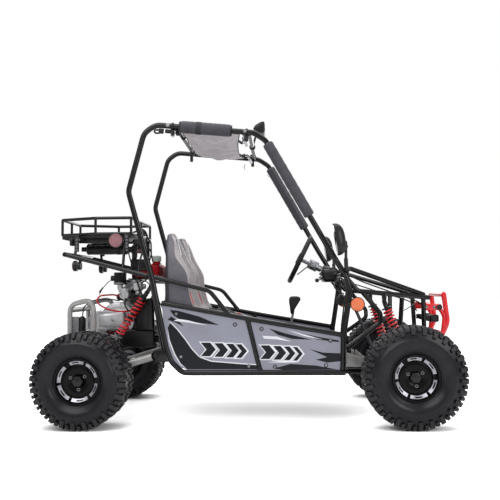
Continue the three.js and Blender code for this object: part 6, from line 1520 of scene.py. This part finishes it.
def buildEngineDress():
    # Moulded boxes, coil and looms that crowd round the engine
    bm = bmesh.new()
    # battery box
    addSheet(bm, [(-606, 440), (-612, 560), (-596, 598), (-520, 604), (-510, 590), (-506, 436)], -180, -136,
             8, rounds=3)
    # under tray
    addSheet(bm, [(-690, 440), (-506, 438), (-506, 352), (-560, 344), (-660, 352), (-694, 372)], -160, -134,
             8, rounds=3)
    for x in (-586, -560, -534):
        addBlock(bm, (x, -181, 520), (7, 4, 120), 1.5)
    addBlock(bm, (-559, -181, 566), (90, 5, 5), 1.5)
    # ignition box
    addBlock(bm, (-588, -142, 776), (90, 30, 62), 7, rounds=3)
    for x in (-618, -588, -558):
        addBlock(bm, (x, -158, 776), (5, 3, 50), 1.2)
    # starter motor
    addTurned(bm, [(0, 0), (17, 0), (18, 2), (18, 66), (16, 70), (0, 70)], (-886, -152, 432), (0, 0, 1), 32)
    addTurned(bm, band(6, 12, -6, 8), (-886, -152, 502), (0, 0, 1), 20)
    # side skirt of the rack
    addBlock(bm, (-786, -214, 906), (196, 5, 36), 2)
    for x in (-860, -786, -712):
        addBlock(bm, (x, -217, 906), (5, 4, 30), 1)
    finishPiece("engine_dress_boxes", bm, "blackMoulding")
    bm = bmesh.new()
    # regulator
    addBlock(bm, (-925, -158, 468), (50, 26, 82), 5, rounds=3)
    for z in (446, 460, 474, 488):
        addBlock(bm, (-925, -172, z), (40, 4, 4), 1)
    for x, z in ((-942, 502), (-908, 434)):
        addBolt(bm, (x, -170.5, z), (0, -1, 0), 4, 1)
    finishPiece("regulator", bm, ["greyMoulding", "zincSteel"])
    bm = bmesh.new()
    looms = [([(-560, -300, 724), (-566, -262, 780), (-550, -236, 850), (-528, -228, 920),
               (-548, -232, 960), (-600, -240, 940)], 5, 30),
             ([(-540, -150, 776), (-520, -170, 830), (-516, -200, 890), (-540, -220, 930),
               (-610, -232, 928)], 4, 30),
             ([(-630, -150, 790), (-640, -170, 840), (-610, -190, 880), (-560, -196, 900),
               (-520, -190, 850), (-512, -170, 790)], 3.4, 30),
             ([(-600, -158, 745), (-596, -176, 700), (-580, -176, 650), (-560, -170, 604)], 4.4, 30),
             ([(-640, -150, 760), (-668, -190, 730), (-672, -160, 700), (-640, -130, 690)], 3.6, 24),
             ([(-520, -170, 600), (-500, -190, 640), (-496, -230, 690), (-520, -290, 716)], 4.4, 30),
             ([(-886, -152, 510), (-880, -150, 560), (-840, -140, 590), (-760, -130, 600),
               (-700, -110, 590)], 3.4, 40),
             ([(-606, -160, 520), (-640, -176, 540), (-660, -178, 570), (-656, -150, 600)], 4, 24)]
    addTubes(bm, looms, fine=3)
    # coil
    addTurned(bm, [(0, 0), (17, 0), (19, 3), (19, 30), (15, 34), (8, 44), (0, 45)], (-566, -214, 884),
              (-1, 0, 0.3), 28)
    # flasher
    addTurned(bm, [(0, 0), (13, 0), (14, 2), (14, 26), (0, 27)], (-620, -206, 852), (0, -1, 0), 24)
    addBlock(bm, (-560, -232, 936), (40, 18, 30), 4)
    addBlock(bm, (-600, -196, 842), (24, 8, 60), 2)
    finishPiece("engine_looms", bm, "gripRubber")


buildEngine()
buildEngineDress()
buildHead()
buildFilter()
buildExhaust()
buildTank()
buildSwingarm()
buildAxle()
buildChain()
print("engine and drive made")


# Front suspension and steering
front = {"x": 763, "spread": 63, "pivot": (156, 265), "kingpin": (385, 215), "foot": (775, 325, 256)}


def armZ(half):
    (pivotHalf, pivotZ), (kingHalf, kingZ) = front["pivot"], front["kingpin"]
    return mix(pivotZ, kingZ, (half - pivotHalf) / (kingHalf - pivotHalf))


def buildFrontEnd():
    for name, side in sides:
        bm = bmesh.new()
        runs = []
        for x in (front["x"] - front["spread"], front["x"] + front["spread"]):
            runs.append(([(x, side * 163, armZ(163)), (front["x"], side * 377, armZ(377))], 11, 0))
            addTurned(bm, bush(4.6, 12.5, -11, 11), (x, side * 156, 265), (1, 0, 0), 28)
        runs.append(([(775, side * 303, armZ(303)), (775, side * 347, armZ(347))], 11, 0))
        addTubes(bm, runs, fine=5)
        addTurned(bm, bush(6.6, 15, -29, 29, 1, 2), (front["x"], side * 385, 215), (0, 0, 1), 32)
        eye = front["foot"]
        earsAt(bm, (eye[0], side * eye[1], eye[2]), (eye[0], 0, armZ(325)))
        finishPiece(f"front_arm_tubes_{name}", bm, "powderCoat", f"front_arm_{name}", f"front_arm_{name}")
        bm = bmesh.new()
        for z in (249.3, 180.7):
            addBlock(bm, (front["x"], side * 388.3, z), (44, 46.5, 10), 3)
        addBlock(bm, (front["x"], side * 406.5, 215), (44, 10, 78.6), 3)
        addRod(bm, (front["x"], side * 385, 177), (front["x"], side * 385, 253), 6, 20)
        addTurned(bm, [(0, 0), (11, 0), (11, 5), (0, 5)], (front["x"], side * 385, 250), (0, 0, 1), 6)
        addTurned(bm, [(0, 0), (18, 0), (18, 6), (12, 12), (12, 135), (10.5, 140), (0, 140)],
                  (front["x"], side * 406.5, 238), (0, side, 0), 32)
        reach = Matrix.Rotation(math.radians(90), 4, "X")
        arm = [(744, 411.5), (744, 398.5), (682, 359), (649, 359), (649, 381), (664, 381)]
        addSheet(bm, [(x, -side * half) for x, half in arm], 187.5, 196.5, 1.5, place=reach)
        finishPiece(f"front_knuckle_casting_{name}", bm, "zincSteel", f"knuckle_{name}",
                    f"front_knuckle_{name}")
        bm = bmesh.new()
        inner, outer = Vector((660, side * 156, 265)), Vector((660, side * 370, armZ(370)))
        addRod(bm, inner, outer, 6.6, 20)
        along = (outer - inner).normalized()
        addTurned(bm, [(0, -11), (7, -9), (10.5, -4), (11, 0), (10.5, 4), (7, 9), (0, 11)], inner, along, 24)
        addTurned(bm, [(0, -11), (8, -10), (11, -6), (11, 6), (8, 10), (0, 11)], outer, along, 24)
        addTurned(bm, band(6.5, 9, 0, 16), inner.lerp(outer, 0.8), along, 6)
        finishPiece(f"tie_rod_bar_{name}", bm, "zincSteel", f"tie_rod_{name}", f"tie_rod_{name}")
    bm = bmesh.new()
    addTurned(bm, [(0, -144), (9, -144), (10, -142), (10, 142), (9, 144), (0, 144)], (660, 0, 265),
              (0, 1, 0), 28)
    for _, side in sides:
        boot = [(13.6 if k % 2 else 11.2, 101 + k * 5) for k in range(7)]
        addTurned(bm, [(10, 99)] + boot + [(10, 136), (10, 99)], (660, 0, 265), (0, side, 0), 28, 1)
    finishPiece("rack_bar", bm, ["zincSteel", "gripRubber"], "steering_rack_bar",
                "steering_rack_bar")


def buildSteering():
    hub, axis = Vector(wheelGear["hub"]), Vector(wheelGear["axis"])
    rim, tube = wheelGear["rim"], wheelGear["tube"]
    bm = bmesh.new()
    ring = [(rim + tube * math.cos(a), tube * math.sin(a)) for a in [k * math.pi / 10 for k in range(20)]]
    addTurned(bm, ring + ring[:1], hub, axis, 96)
    for k in range(24):   # finger ridges on the lower side
        a = 2 * math.pi * k / 24
        out = Vector((axis.z, 0, -axis.x)) * math.cos(a) + Vector((0, 1, 0)) * math.sin(a)
        way = axis.cross(out)
        ridge = [(tube - 1, -2.4), (tube + 0.6, -1.6), (tube + 0.6, 1.6), (tube - 1, 2.4), (tube - 1, -2.4)]
        addTurned(bm, ridge, hub + out * rim, way, 20)
    addTurned(bm, [(0, -18), (30, -17), (36, -13), (38, -6), (38, 4), (0, 4)], hub, axis, 44)
    finishPiece("steering_rim", bm, "gripRubber", "steering_wheel", "steering_wheel")
    bm = bmesh.new()
    up = Vector((axis.z, 0, -axis.x))
    for angle in (0, 118, 242):
        a = math.radians(angle + 180)
        out = up * math.cos(a) + Vector((0, 1, 0)) * math.sin(a)
        side = axis.cross(out)
        matrix = Matrix((out, side, axis)).transposed().to_4x4()
        part = bmesh.new()
        bmesh.ops.create_cube(part, size=1)
        bmesh.ops.scale(part, vec=(98, 26, 3.4), verts=part.verts)
        bevelAll(part, 1.2, 2)
        join(bm, part, Matrix.Translation(hub + out * 80 + axis * 2) @ matrix)
        for reach in (58, 82, 106):
            addTurned(bm, band(5, 8, -2.6, 2.6), hub + out * reach + axis * 2, axis, 20)
    addRod(bm, hub, hub + axis * wheelGear["shaft"], 11, 28)
    addTurned(bm, [(11, 0), (17, 0), (18, 3), (18, 30), (14, 36), (11, 36), (11, 0)],
              hub + axis * 96, axis, 32)
    for k in range(6):
        a = math.radians(60 * k)
        out = up * math.cos(a) + Vector((0, 1, 0)) * math.sin(a)
        addBolt(bm, hub + axis * 4 + out * 26, -axis, 4, washer=False)
    finishPiece("steering_spokes", bm, "zincSteel", "steering_wheel")
    bm = bmesh.new()
    top, foot = (Vector(p) for p in wheelGear["lower"])
    down = (foot - top).normalized()
    addRod(bm, top, foot, 9, 24)
    addTurned(bm, [(9, 0), (13, 0), (14, 2), (14, 26), (12, 30), (9, 30), (9, 0)], top + down * 4, down, 24)
    addTurned(bm, band(9, 13, 0, 24), foot - down * 30, down, 24)
    finishPiece("steering_lower_rod", bm, "darkSteel", "steering_lower_shaft",
                "steering_lower_shaft")


def buildControls():
    for name, y in (("brake", 122), ("throttle", 30)):
        bm = bmesh.new()
        addTubes(bm, [([(520, y, 286), (517, y, 330), (500, y, 392), (496, y, 418)], 8, 60)], fine=5)
        addTurned(bm, band(5, 8, -14.5, 14.5), (520, y, 286), (0, 1, 0), 24)
        addBlock(bm, (491.5, y, 418), (6, 58, 72), 2.6, (0, -10, 0))
        finishPiece(f"{name}_pedal_arm", bm, "powderCoat", f"{name}_pedal", f"{name}_pedal")
        bm = bmesh.new()
        for k in range(6):
            x = 487.4 - 11.4 * math.sin(math.radians(10)) * (k - 2.5)
            addBlock(bm, (x, y, 418 + (k - 2.5) * 11.4), (4, 54, 6.4), 1.4, (0, -10, 0))
        finishPiece(f"{name}_pedal_grip", bm, "gripRubber", f"{name}_pedal")
    bm = bmesh.new()
    foot, knob = Vector((176, 0, 318)), Vector((226, 0, 566))
    way = (knob - foot).normalized()
    addRod(bm, foot, foot + way * 214, 7, 24)
    addTurned(bm, band(4.5, 12, -13, 13), foot, (0, 1, 0), 28)
    finishPiece("gear_lever_rod", bm, "zincSteel", "gear_lever", "gear_lever")
    bm = bmesh.new()
    addSheet(bm, [(202, 512), (216, 508), (224, 534), (258, 588), (254, 601), (240, 606), (204, 606),
                  (196, 598), (194, 574), (198, 556)],
             -25, 25, 9, rounds=4)
    boot = [(mix(18, 8.5, k / 7) + (1.4 if k % 2 else -1.4), 25 + k * 5) for k in range(8)]
    addTurned(bm, [(7, 23)] + boot + [(7, 65)], foot, way, 32)
    finishPiece("gear_lever_knob", bm, "blackMoulding", "gear_lever")


mirrorShape = {"centre": (420, 428, 881), "half": (47, 78), "depth": 44, "lean": 9}


def addDome(bm, place, halfWide, halfHigh, depth, slot=0, flat=False):
    # Half a squared-off ball: its flat side faces backwards
    part = bmesh.new()
    if flat:
        profile = [(0, 0.4), (0.88, 0.4), (0.9, 0.2), (0.9, -1.2), (0, -1.2)]
    else:
        angles = [k * math.pi / 24 for k in range(1, 12)]
        profile = [(0, depth)] + [(math.sin(a) ** 0.72, depth * math.cos(a) ** 0.9) for a in angles]
        profile += [(1, 0), (1, -4), (0.96, -5), (0.94, -3), (0, -3)]
    verts = [part.verts.new((r, 0, along)) for r, along in profile]
    edges = [part.edges.new(pair) for pair in zip(verts, verts[1:])]
    bmesh.ops.spin(part, geom=verts + edges, cent=(0, 0, 0), axis=(0, 0, 1), angle=2 * math.pi, steps=56,
                   use_merge=True)
    for vert in part.verts:   # from round towards a rounded oblong
        angle = math.atan2(vert.co.y, vert.co.x)
        fuller = (abs(math.cos(angle)) ** 2.6 + abs(math.sin(angle)) ** 2.6) ** (-1 / 2.6)
        vert.co.x *= fuller * halfWide
        vert.co.y *= fuller * halfHigh
    turn = Matrix(((0, 0, 1), (1, 0, 0), (0, 1, 0))).to_4x4()
    join(bm, part, place @ turn, slot)


def buildMirrors():
    for name, side in sides:
        x, y, z = mirrorShape["centre"]
        lean = Matrix.Rotation(math.radians(-mirrorShape["lean"]), 4, "Y")
        place = Matrix.Translation(Vector((x, side * y, z))) @ lean
        bm = bmesh.new()
        addDome(bm, place, *mirrorShape["half"], mirrorShape["depth"])
        addTubes(bm, [([(448, side * 428, 874), (464, side * 428, 870), (466, side * 428, 852)], 8, 8)],
                 fine=4)
        finishPiece(f"door_mirror_shell_{name}", bm, "blackMoulding", f"door_mirror_{name}",
                    f"door_mirror_{name}")
        bm = bmesh.new()
        addDome(bm, place @ Matrix.Translation(Vector((-3.6, 0, 0))), *mirrorShape["half"], 0, flat=True)
        finishPiece(f"door_mirror_glass_{name}", bm, "mirrorGlass", f"door_mirror_{name}")
        bm = bmesh.new()
        addTurned(bm, [(0, 0), (9, 0), (10, 2), (10, 8), (8, 10), (0, 10)], (466, side * 428, 842),
                  (0, 0, 1), 24)
        finishPiece(f"door_mirror_joint_{name}", bm, "gripRubber")
    bm = bmesh.new()
    addTubes(bm, [([(4, 0, roofZ(4)), (14, 0, 1450), (28, 0, 1496)], 6, 20)], fine=4)
    addSheet(bm, [(10, 1504), (22, 1524), (52, 1542), (70, 1544), (74, 1530), (74, 1492), (66, 1480),
                  (54, 1482), (30, 1494)], -75, 75, 5, rounds=3)
    addTurned(bm, band(12.2, 17, -9, 9), (4, 0, roofZ(4)), (0, 1, 0), 28)
    finishPiece("centre_mirror_shell", bm, "blackMoulding")
    bm = bmesh.new()
    addBlock(bm, (19, 0, 1510), (3, 130, 26), 0.8, (0, 42, 0))
    finishPiece("centre_mirror_glass", bm, "mirrorGlass")


buildFrontEnd()
buildSteering()
buildControls()
buildMirrors()
print("steering and controls made")


# Lamps, reflectors, horn and cables
lampSpots = {"fog": (942, 95, 489), "tail": (-884, 262, 770), "edge": (-913, 250, 892),
             "amber": (520, 394, 570), "red": (-676, 299, 896)}


def addRound(bm, centre, axis, radius, depth, slot=0, dome=2):
    profile = [(0, 0), (radius - 1, 0), (radius, 1.5), (radius, depth - 2), (radius - 2, depth),
               (radius * 0.6, depth + dome * 0.7), (0, depth + dome)]
    addTurned(bm, profile, centre, axis, 48, slot)


def buildLamps():
    for name, side in sides:
        x, y, z = lampSpots["fog"]
        bm = bmesh.new()
        addBlock(bm, (x - 2, side * y, z), (46, 70, 38), 8, rounds=4)
        for k in range(5):   # cooling fins behind
            addBlock(bm, (x - 29, side * y + (k - 2) * 13, z), (12, 3, 28), 1)
        addBlock(bm, (x - 38, side * 118, z + 2), (22, 8, 26), 1.5)
        finishPiece(f"fog_lamp_body_{name}", bm, "blackMoulding")
        bm = bmesh.new()
        addBlock(bm, (x + 20, side * y, z), (5, 58, 28), 2, rounds=3)
        finishPiece(f"fog_lamp_lens_{name}", bm, "clearLens")
        x, y, z = lampSpots["tail"]
        bm = bmesh.new()
        for off, radius in ((0, 27), (22, 20)):
            addRound(bm, (x + off, side * y, z), (-1, 0, 0), radius, 16)
        addBlock(bm, (x + 14, side * y, z + 30), (10, 12, 44), 2)
        finishPiece(f"tail_lamp_body_{name}", bm, "blackMoulding")
        bm = bmesh.new()
        addRound(bm, (x - 13, side * y, z), (-1, 0, 0), 24, 7)
        finishPiece(f"tail_lamp_lens_{name}", bm, "tailLens")
        x, y, z = lampSpots["edge"]
        bm = bmesh.new()
        addBlock(bm, (x, side * y, z), (14, 44, 38), 4, rounds=3)
        addBlock(bm, (x + 8, side * y, z + 12), (10, 8, 14), 1)
        finishPiece(f"edge_lamp_body_{name}", bm, "blackMoulding")
        bm = bmesh.new()
        addBlock(bm, (x - 7, side * y, z), (4, 36, 30), 1.8)
        finishPiece(f"edge_lamp_lens_{name}", bm, "redLens")
        for kind, radius, look in (("amber", 35, "amberLens"), ("red", 37, "redLens")):
            x, y, z = lampSpots[kind]
            bm = bmesh.new()
            addRound(bm, (x, side * (y + 2), z), (0, side, 0), radius - 2, 6, dome=1.5)
            for ring in (10, 19, 28):   # moulded rings
                addTurned(bm, [(ring, 6.5), (ring + 1.2, 8.4), (ring + 2.4, 6.5), (ring, 6.5)],
                          (x, side * (y + 2), z), (0, side, 0), 48)
            finishPiece(f"{kind}_reflector_{name}", bm, look)
            bm = bmesh.new()
            addTurned(bm, [(radius - 3, 0), (radius, 0), (radius + 0.4, 8), (radius - 2, 8.6),
                           (radius - 3, 7), (radius - 3, 0)],
                      (x, side * y, z), (0, side, 0), 56)
            to = (482, 384, z - 4) if kind == "amber" else (-650, 292, z - 4)
            addBlock(bm, ((x + to[0]) / 2, side * (y - 4 + to[1]) / 2, z - 2),
                     (abs(x - to[0]) + 20, 3, 22), 1)
            finishPiece(f"{kind}_reflector_case_{name}", bm, "blackMoulding")
    # horn on its bracket under the dash bar
    bm = bmesh.new()
    addRound(bm, (461, -164, 587), (0, -1, 0), 27, 12)
    addTurned(bm, [(8, 13), (16, 13.8), (17, 12), (8, 11), (8, 13)], (461, -164, 587), (0, -1, 0), 40)
    addRound(bm, (461, -164, 587), (0, 1, 0), 19, 20)
    addTubes(bm, [([(461, -170, 606), (458, -170, 650), (452, -170, 702)], 5, 40)], fine=4)
    finishPiece("horn", bm, "blackMoulding")
    # cheeks of the toe board, in bare sheet
    bm = bmesh.new()
    for _, side in sides:
        cheek = [(452, 256), (452, 318), (486, 324), (560, 300), (566, 276), (540, 256)]
        addSheet(bm, cheek, side * 233 - 1, side * 233 + 1, 0.4)
        for low, high in (((462, 312), (540, 262)), ((500, 318), (556, 282)), ((458, 284), (500, 262))):
            addTubes(bm, [([(low[0], side * 234, low[1]), (high[0], side * 234, high[1])], 2.2, 0)], fine=3)
    addBlock(bm, (566, 0, 278), (2, 466, 46), 0.8, (0, 12, 0))
    finishPiece("toe_board", bm, "silverPaint")
    # winch hook on its thin rod
    bm = bmesh.new()
    addRod(bm, (786, -122, 530), (846, -122, 565), 2.4, 12)
    addTurned(bm, [(0, 0), (7, 0), (9, 3), (9, 20), (6, 24), (0, 24)], (844, -122, 565), (1, 0, 0.15), 28, 1)
    finishPiece("bonnet_catch", bm, ["darkSteel", "redLead"])


lampLoom = [(474, 336, 716), (560, 318, 676), (700, 250, 628), (800, 192, 596), (868, 140, 570),
            (894, 100, 520)]
leads = {
    "plug_lead": {"path": [(-694, -82, 610), (-732, -118, 622), (-790, -170, 618), (-806, -186, 590),
                           (-780, -190, 566), (-734, -190, 544), (-680, -188, 535), (-640, -176, 536),
                           (-614, -150, 548), (-600, -122, 580), (-598, -104, 610)],
                  "radius": 4.2, "look": "redLead", "bend": 40, "free": True},
    "throttle_cable": {"path": [(512, 30, 258), (430, 40, 260), (200, 60, 259), (-100, 70, 259),
                                (-262, 70, 262), (-352, 70, 262), (-420, 60, 330), (-500, 20, 560),
                                (-560, -60, 690), (-598, -118, 698)],
                       "radius": 3, "bend": 50},
    "brake_hose": {"path": [(512, 122, 262), (430, 150, 262), (200, 160, 259), (-200, 160, 259),
                            (-352, 160, 262), (-420, 140, 340)],
                   "radius": 3.4, "bend": 50},
    "pillar_loom_right": {"path": [(462, -150, 700), (468, -260, 690), (474, -344, 640), (458, -354, 560),
                                   (446, -354, 470), (442, -352, 420)],
                          "radius": 4, "bend": 40},
    "lamp_loom_right": {"path": mirrored(lampLoom, -1), "radius": 3.4, "bend": 60},
    "lamp_loom_left": {"path": lampLoom, "radius": 3.4, "bend": 60},
    "tail_loom": {"path": [(-530, -300, 728), (-640, -300, 754), (-760, -282, 784), (-850, -272, 800),
                           (-866, -262, 790), (-868, -262, 776)],
                  "radius": 3, "bend": 30},
    "fuel_hose": {"path": [(-560, -60, 708), (-570, -84, 694), (-584, -100, 684)], "radius": 4,
                  "look": "redLead", "bend": 12},
    "key_loom": {"path": [(430, 24, 690), (440, 10, 650), (470, -30, 622), (480, -90, 620),
                          (470, -150, 610), (462, -158, 600)],
                 "radius": 3.4, "bend": 40},
}


def buildLeads():
    for name, lead in leads.items():
        bm = bmesh.new()
        addTubes(bm, [(lead["path"], lead["radius"], lead["bend"])], fine=4)
        hose = finishPiece(name, bm, lead.get("look", "gripRubber"))


def buildCanopyTies():
    # Rubber hooks on loops at each corner, tied to the roof rails, with a pale strap between the front ones
    for name, side in sides:
        bm = bmesh.new()
        for along in (0.0, 1.0):
            out = 1 if along > 0.5 else -1
            for reach in (0.97, 0.55):
                corner = Vector(canopyPoint(along, side * reach))
                tip = corner + Vector((-out * 14, 0, 12))
                hook = [tip, corner + Vector((out * 6, 0, 10)), corner + Vector((out * 22, 0, -4)),
                        corner + Vector((out * 30, 0, 14))]
                addTubes(bm, [(hook, 6.5, 12)], fine=4)
                addTurned(bm, [(0, -9), (8, -7), (10, 0), (8, 7), (0, 9)], tip, (1, 0, 0.3), 24)
                rail = Vector((corner.x + out * 44, side * 360, roofZ(corner.x + out * 44) - 8))
                addTubes(bm, [([hook[-1], hook[-1].lerp(rail, 0.5) + Vector((0, 0, -10)), rail], 3.2, 16)],
                         fine=3)
                addTurned(bm, [(0, -12), (9, -10), (12, 0), (9, 10), (0, 12)],
                          hook[-1].lerp(rail, 0.5) + Vector((0, 0, -6)), (1, 0, 0), 24)
            x = mix(canopy["rear"], canopy["front"], along) + out * 34
            ring = [(15.4 + 3 * math.cos(a), 6 * math.sin(a)) for a in [k * math.pi / 4 for k in range(8)]]
            addTurned(bm, ring + ring[:1], (x, side * 372, roofZ(x)), (1, 0, -0.096), 32)
            addBlock(bm, (x, side * 368, roofZ(x) - 30), (18, 14, 34), 4)
        finishPiece(f"canopy_toggles_{name}", bm, "gripRubber")
        bm = bmesh.new()
        low = Vector(canopyPoint(1, side * 0.72)) + Vector((34, 0, -10))
        for reach in (0.9, 0.5):
            addStrap(bm, [Vector(canopyPoint(1, side * reach)) + Vector((26, 0, 4)), low], 14, 2)
        addStrap(bm, [low, low + Vector((10, 0, -24))], 16, 2)
        finishPiece(f"canopy_strap_{name}", bm, "paleFilm")
    # side-release buckle of the rear strap, with its loose tail
    bm = bmesh.new()
    rear = Vector((-398, -366, roofZ(-398) - 26))
    addBlock(bm, rear, (34, 12, 20), 4, (0, 6, 0), rounds=3)
    addBlock(bm, rear + Vector((-36, 0, 2)), (26, 10, 26), 4, (0, 6, 0), rounds=3)
    addTubes(bm, [([rear + Vector((-46, 0, 8)), rear + Vector((-66, 0, 8)), rear + Vector((-72, 0, 0)),
                    rear + Vector((-64, 0, -8)), rear + Vector((-46, 0, -8))], 4.5, 10)], fine=3)
    addStrap(bm, [rear + Vector((10, 0, 0)), rear + Vector((34, 8, -6)), Vector(canopyPoint(0.02, -0.96))],
             18, 2)
    finishPiece("canopy_buckle", bm, "blackMoulding")
    bm = bmesh.new()
    addBlock(bm, rear + Vector((18, 4, -22)), (22, 8, 12), 3, (0, 20, 0))
    finishPiece("canopy_clip", bm, "paleFilm")
    bm = bmesh.new()
    whiskers = [((-60, 350, roofZ(-60) - 40), (2, 4, -34)), ((-52, 350, roofZ(-52) - 40), (-12, 4, -20)),
                ((96, 372, 1340), (-22, -4, -20)),
                ((96, 372, 1340), (-14, -4, -30))]
    for base, reach in whiskers:
        addTubes(bm, [([Vector(base), Vector(base) + Vector(reach)], 1.1, 0)], fine=2)
    finishPiece("cable_ties", bm, "gripRubber")


buildLamps()
buildLeads()
buildCanopyTies()
print("lamps and leads made")


# Floor, light and background
stage = {"floor": 0.94, "seenFloor": 1.5, "glow": 0.42, "world": 0.5}


def makeStage():
    bm = bmesh.new()
    bmesh.ops.create_grid(bm, x_segments=1, y_segments=1, size=30)
    mesh = meshFrom(bm, "floor")
    ground = bpy.data.objects.new("floor", mesh)
    bpy.context.scene.collection.objects.link(ground)
    # To the camera the floor is paler than it is to the kart, so that only contact shadows are left on it
    material = bpy.data.materials.new("paleFloor")
    material.use_nodes = True
    tree = material.node_tree
    tree.nodes.clear()
    rays = addNode(tree, "LightPath")
    tone = addNode(tree, "Math", {1: stage["seenFloor"] - stage["floor"], 2: stage["floor"]},
                   {0: rays.outputs["Is Camera Ray"]},
                   operation="MULTIPLY_ADD")
    matt = addNode(tree, "BsdfDiffuse", links={"Color": tone.outputs["Value"]})
    # a glow that fails where something stands close over the floor: ambient occlusion paints a contact shadow
    # there
    contact = addNode(tree, "AmbientOcclusion", {"Distance": 0.13}, samples=16)
    levels = {"From Min": 0.45, "From Max": 0.95, "To Min": 0.0, "To Max": stage["glow"]}
    near = addNode(tree, "MapRange", levels, {"Value": contact.outputs["AO"]})
    strength = addNode(tree, "Math", links={0: near.outputs["Result"], 1: rays.outputs["Is Camera Ray"]},
                       operation="MULTIPLY")
    glow = addNode(tree, "Emission", {"Color": (1, 1, 1, 1)}, {"Strength": strength.outputs["Value"]})
    both = addNode(tree, "AddShader", links={0: glow.outputs["Emission"], 1: matt.outputs["BSDF"]})
    addNode(tree, "OutputMaterial", links={"Surface": both.outputs["Shader"]})
    mesh.materials.append(material)

    world = bpy.data.worlds.new("studio")
    bpy.context.scene.world = world
    world.use_nodes = True
    tree = world.node_tree
    tree.nodes.clear()
    rays = addNode(tree, "LightPath")
    seen = addNode(tree, "Math", links={0: rays.outputs["Is Camera Ray"],
                                        1: rays.outputs["Is Transmission Ray"]}, operation="MAXIMUM")
    dim = addNode(tree, "Background", {"Color": (1, 1, 1, 1), "Strength": stage["world"]})
    white = addNode(tree, "Background", {"Color": (1, 1, 1, 1), "Strength": 1.0})
    both = addNode(tree, "MixShader", links={"Fac": seen.outputs["Value"], 1: dim.outputs["Background"],
                                             2: white.outputs["Background"]})
    addNode(tree, "OutputWorld", links={"Surface": both.outputs["Shader"]})


lamps = {"key": {"place": (-1.6, -3.2, 4.0), "aim": (0, 0, 0.6), "size": 3.6, "power": 115},
         "side": {"place": (2.6, -2.8, 1.8), "aim": (0.2, 0, 0.6), "size": 1.6, "power": 34},
         "top": {"place": (0, 0.4, 4.4), "aim": (0, 0, 0.5), "size": 5, "power": 120},
         "back": {"place": (0.4, 3.6, 2.2), "aim": (0, 0, 0.8), "size": 2.4, "power": 45}}


def makeLamps():
    for name, values in lamps.items():
        data = bpy.data.lights.new(name, "AREA")
        data.shape, data.size, data.energy = "SQUARE", values["size"], values["power"]
        lamp = bpy.data.objects.new(name, data)
        lamp.location = values["place"]
        aim = Vector(values["aim"]) - Vector(values["place"])
        lamp.rotation_euler = aim.to_track_quat("-Z", "Y").to_euler()
        bpy.context.scene.collection.objects.link(lamp)


makeStage()
makeLamps()
bpy.context.scene.view_settings.view_transform = "Standard"
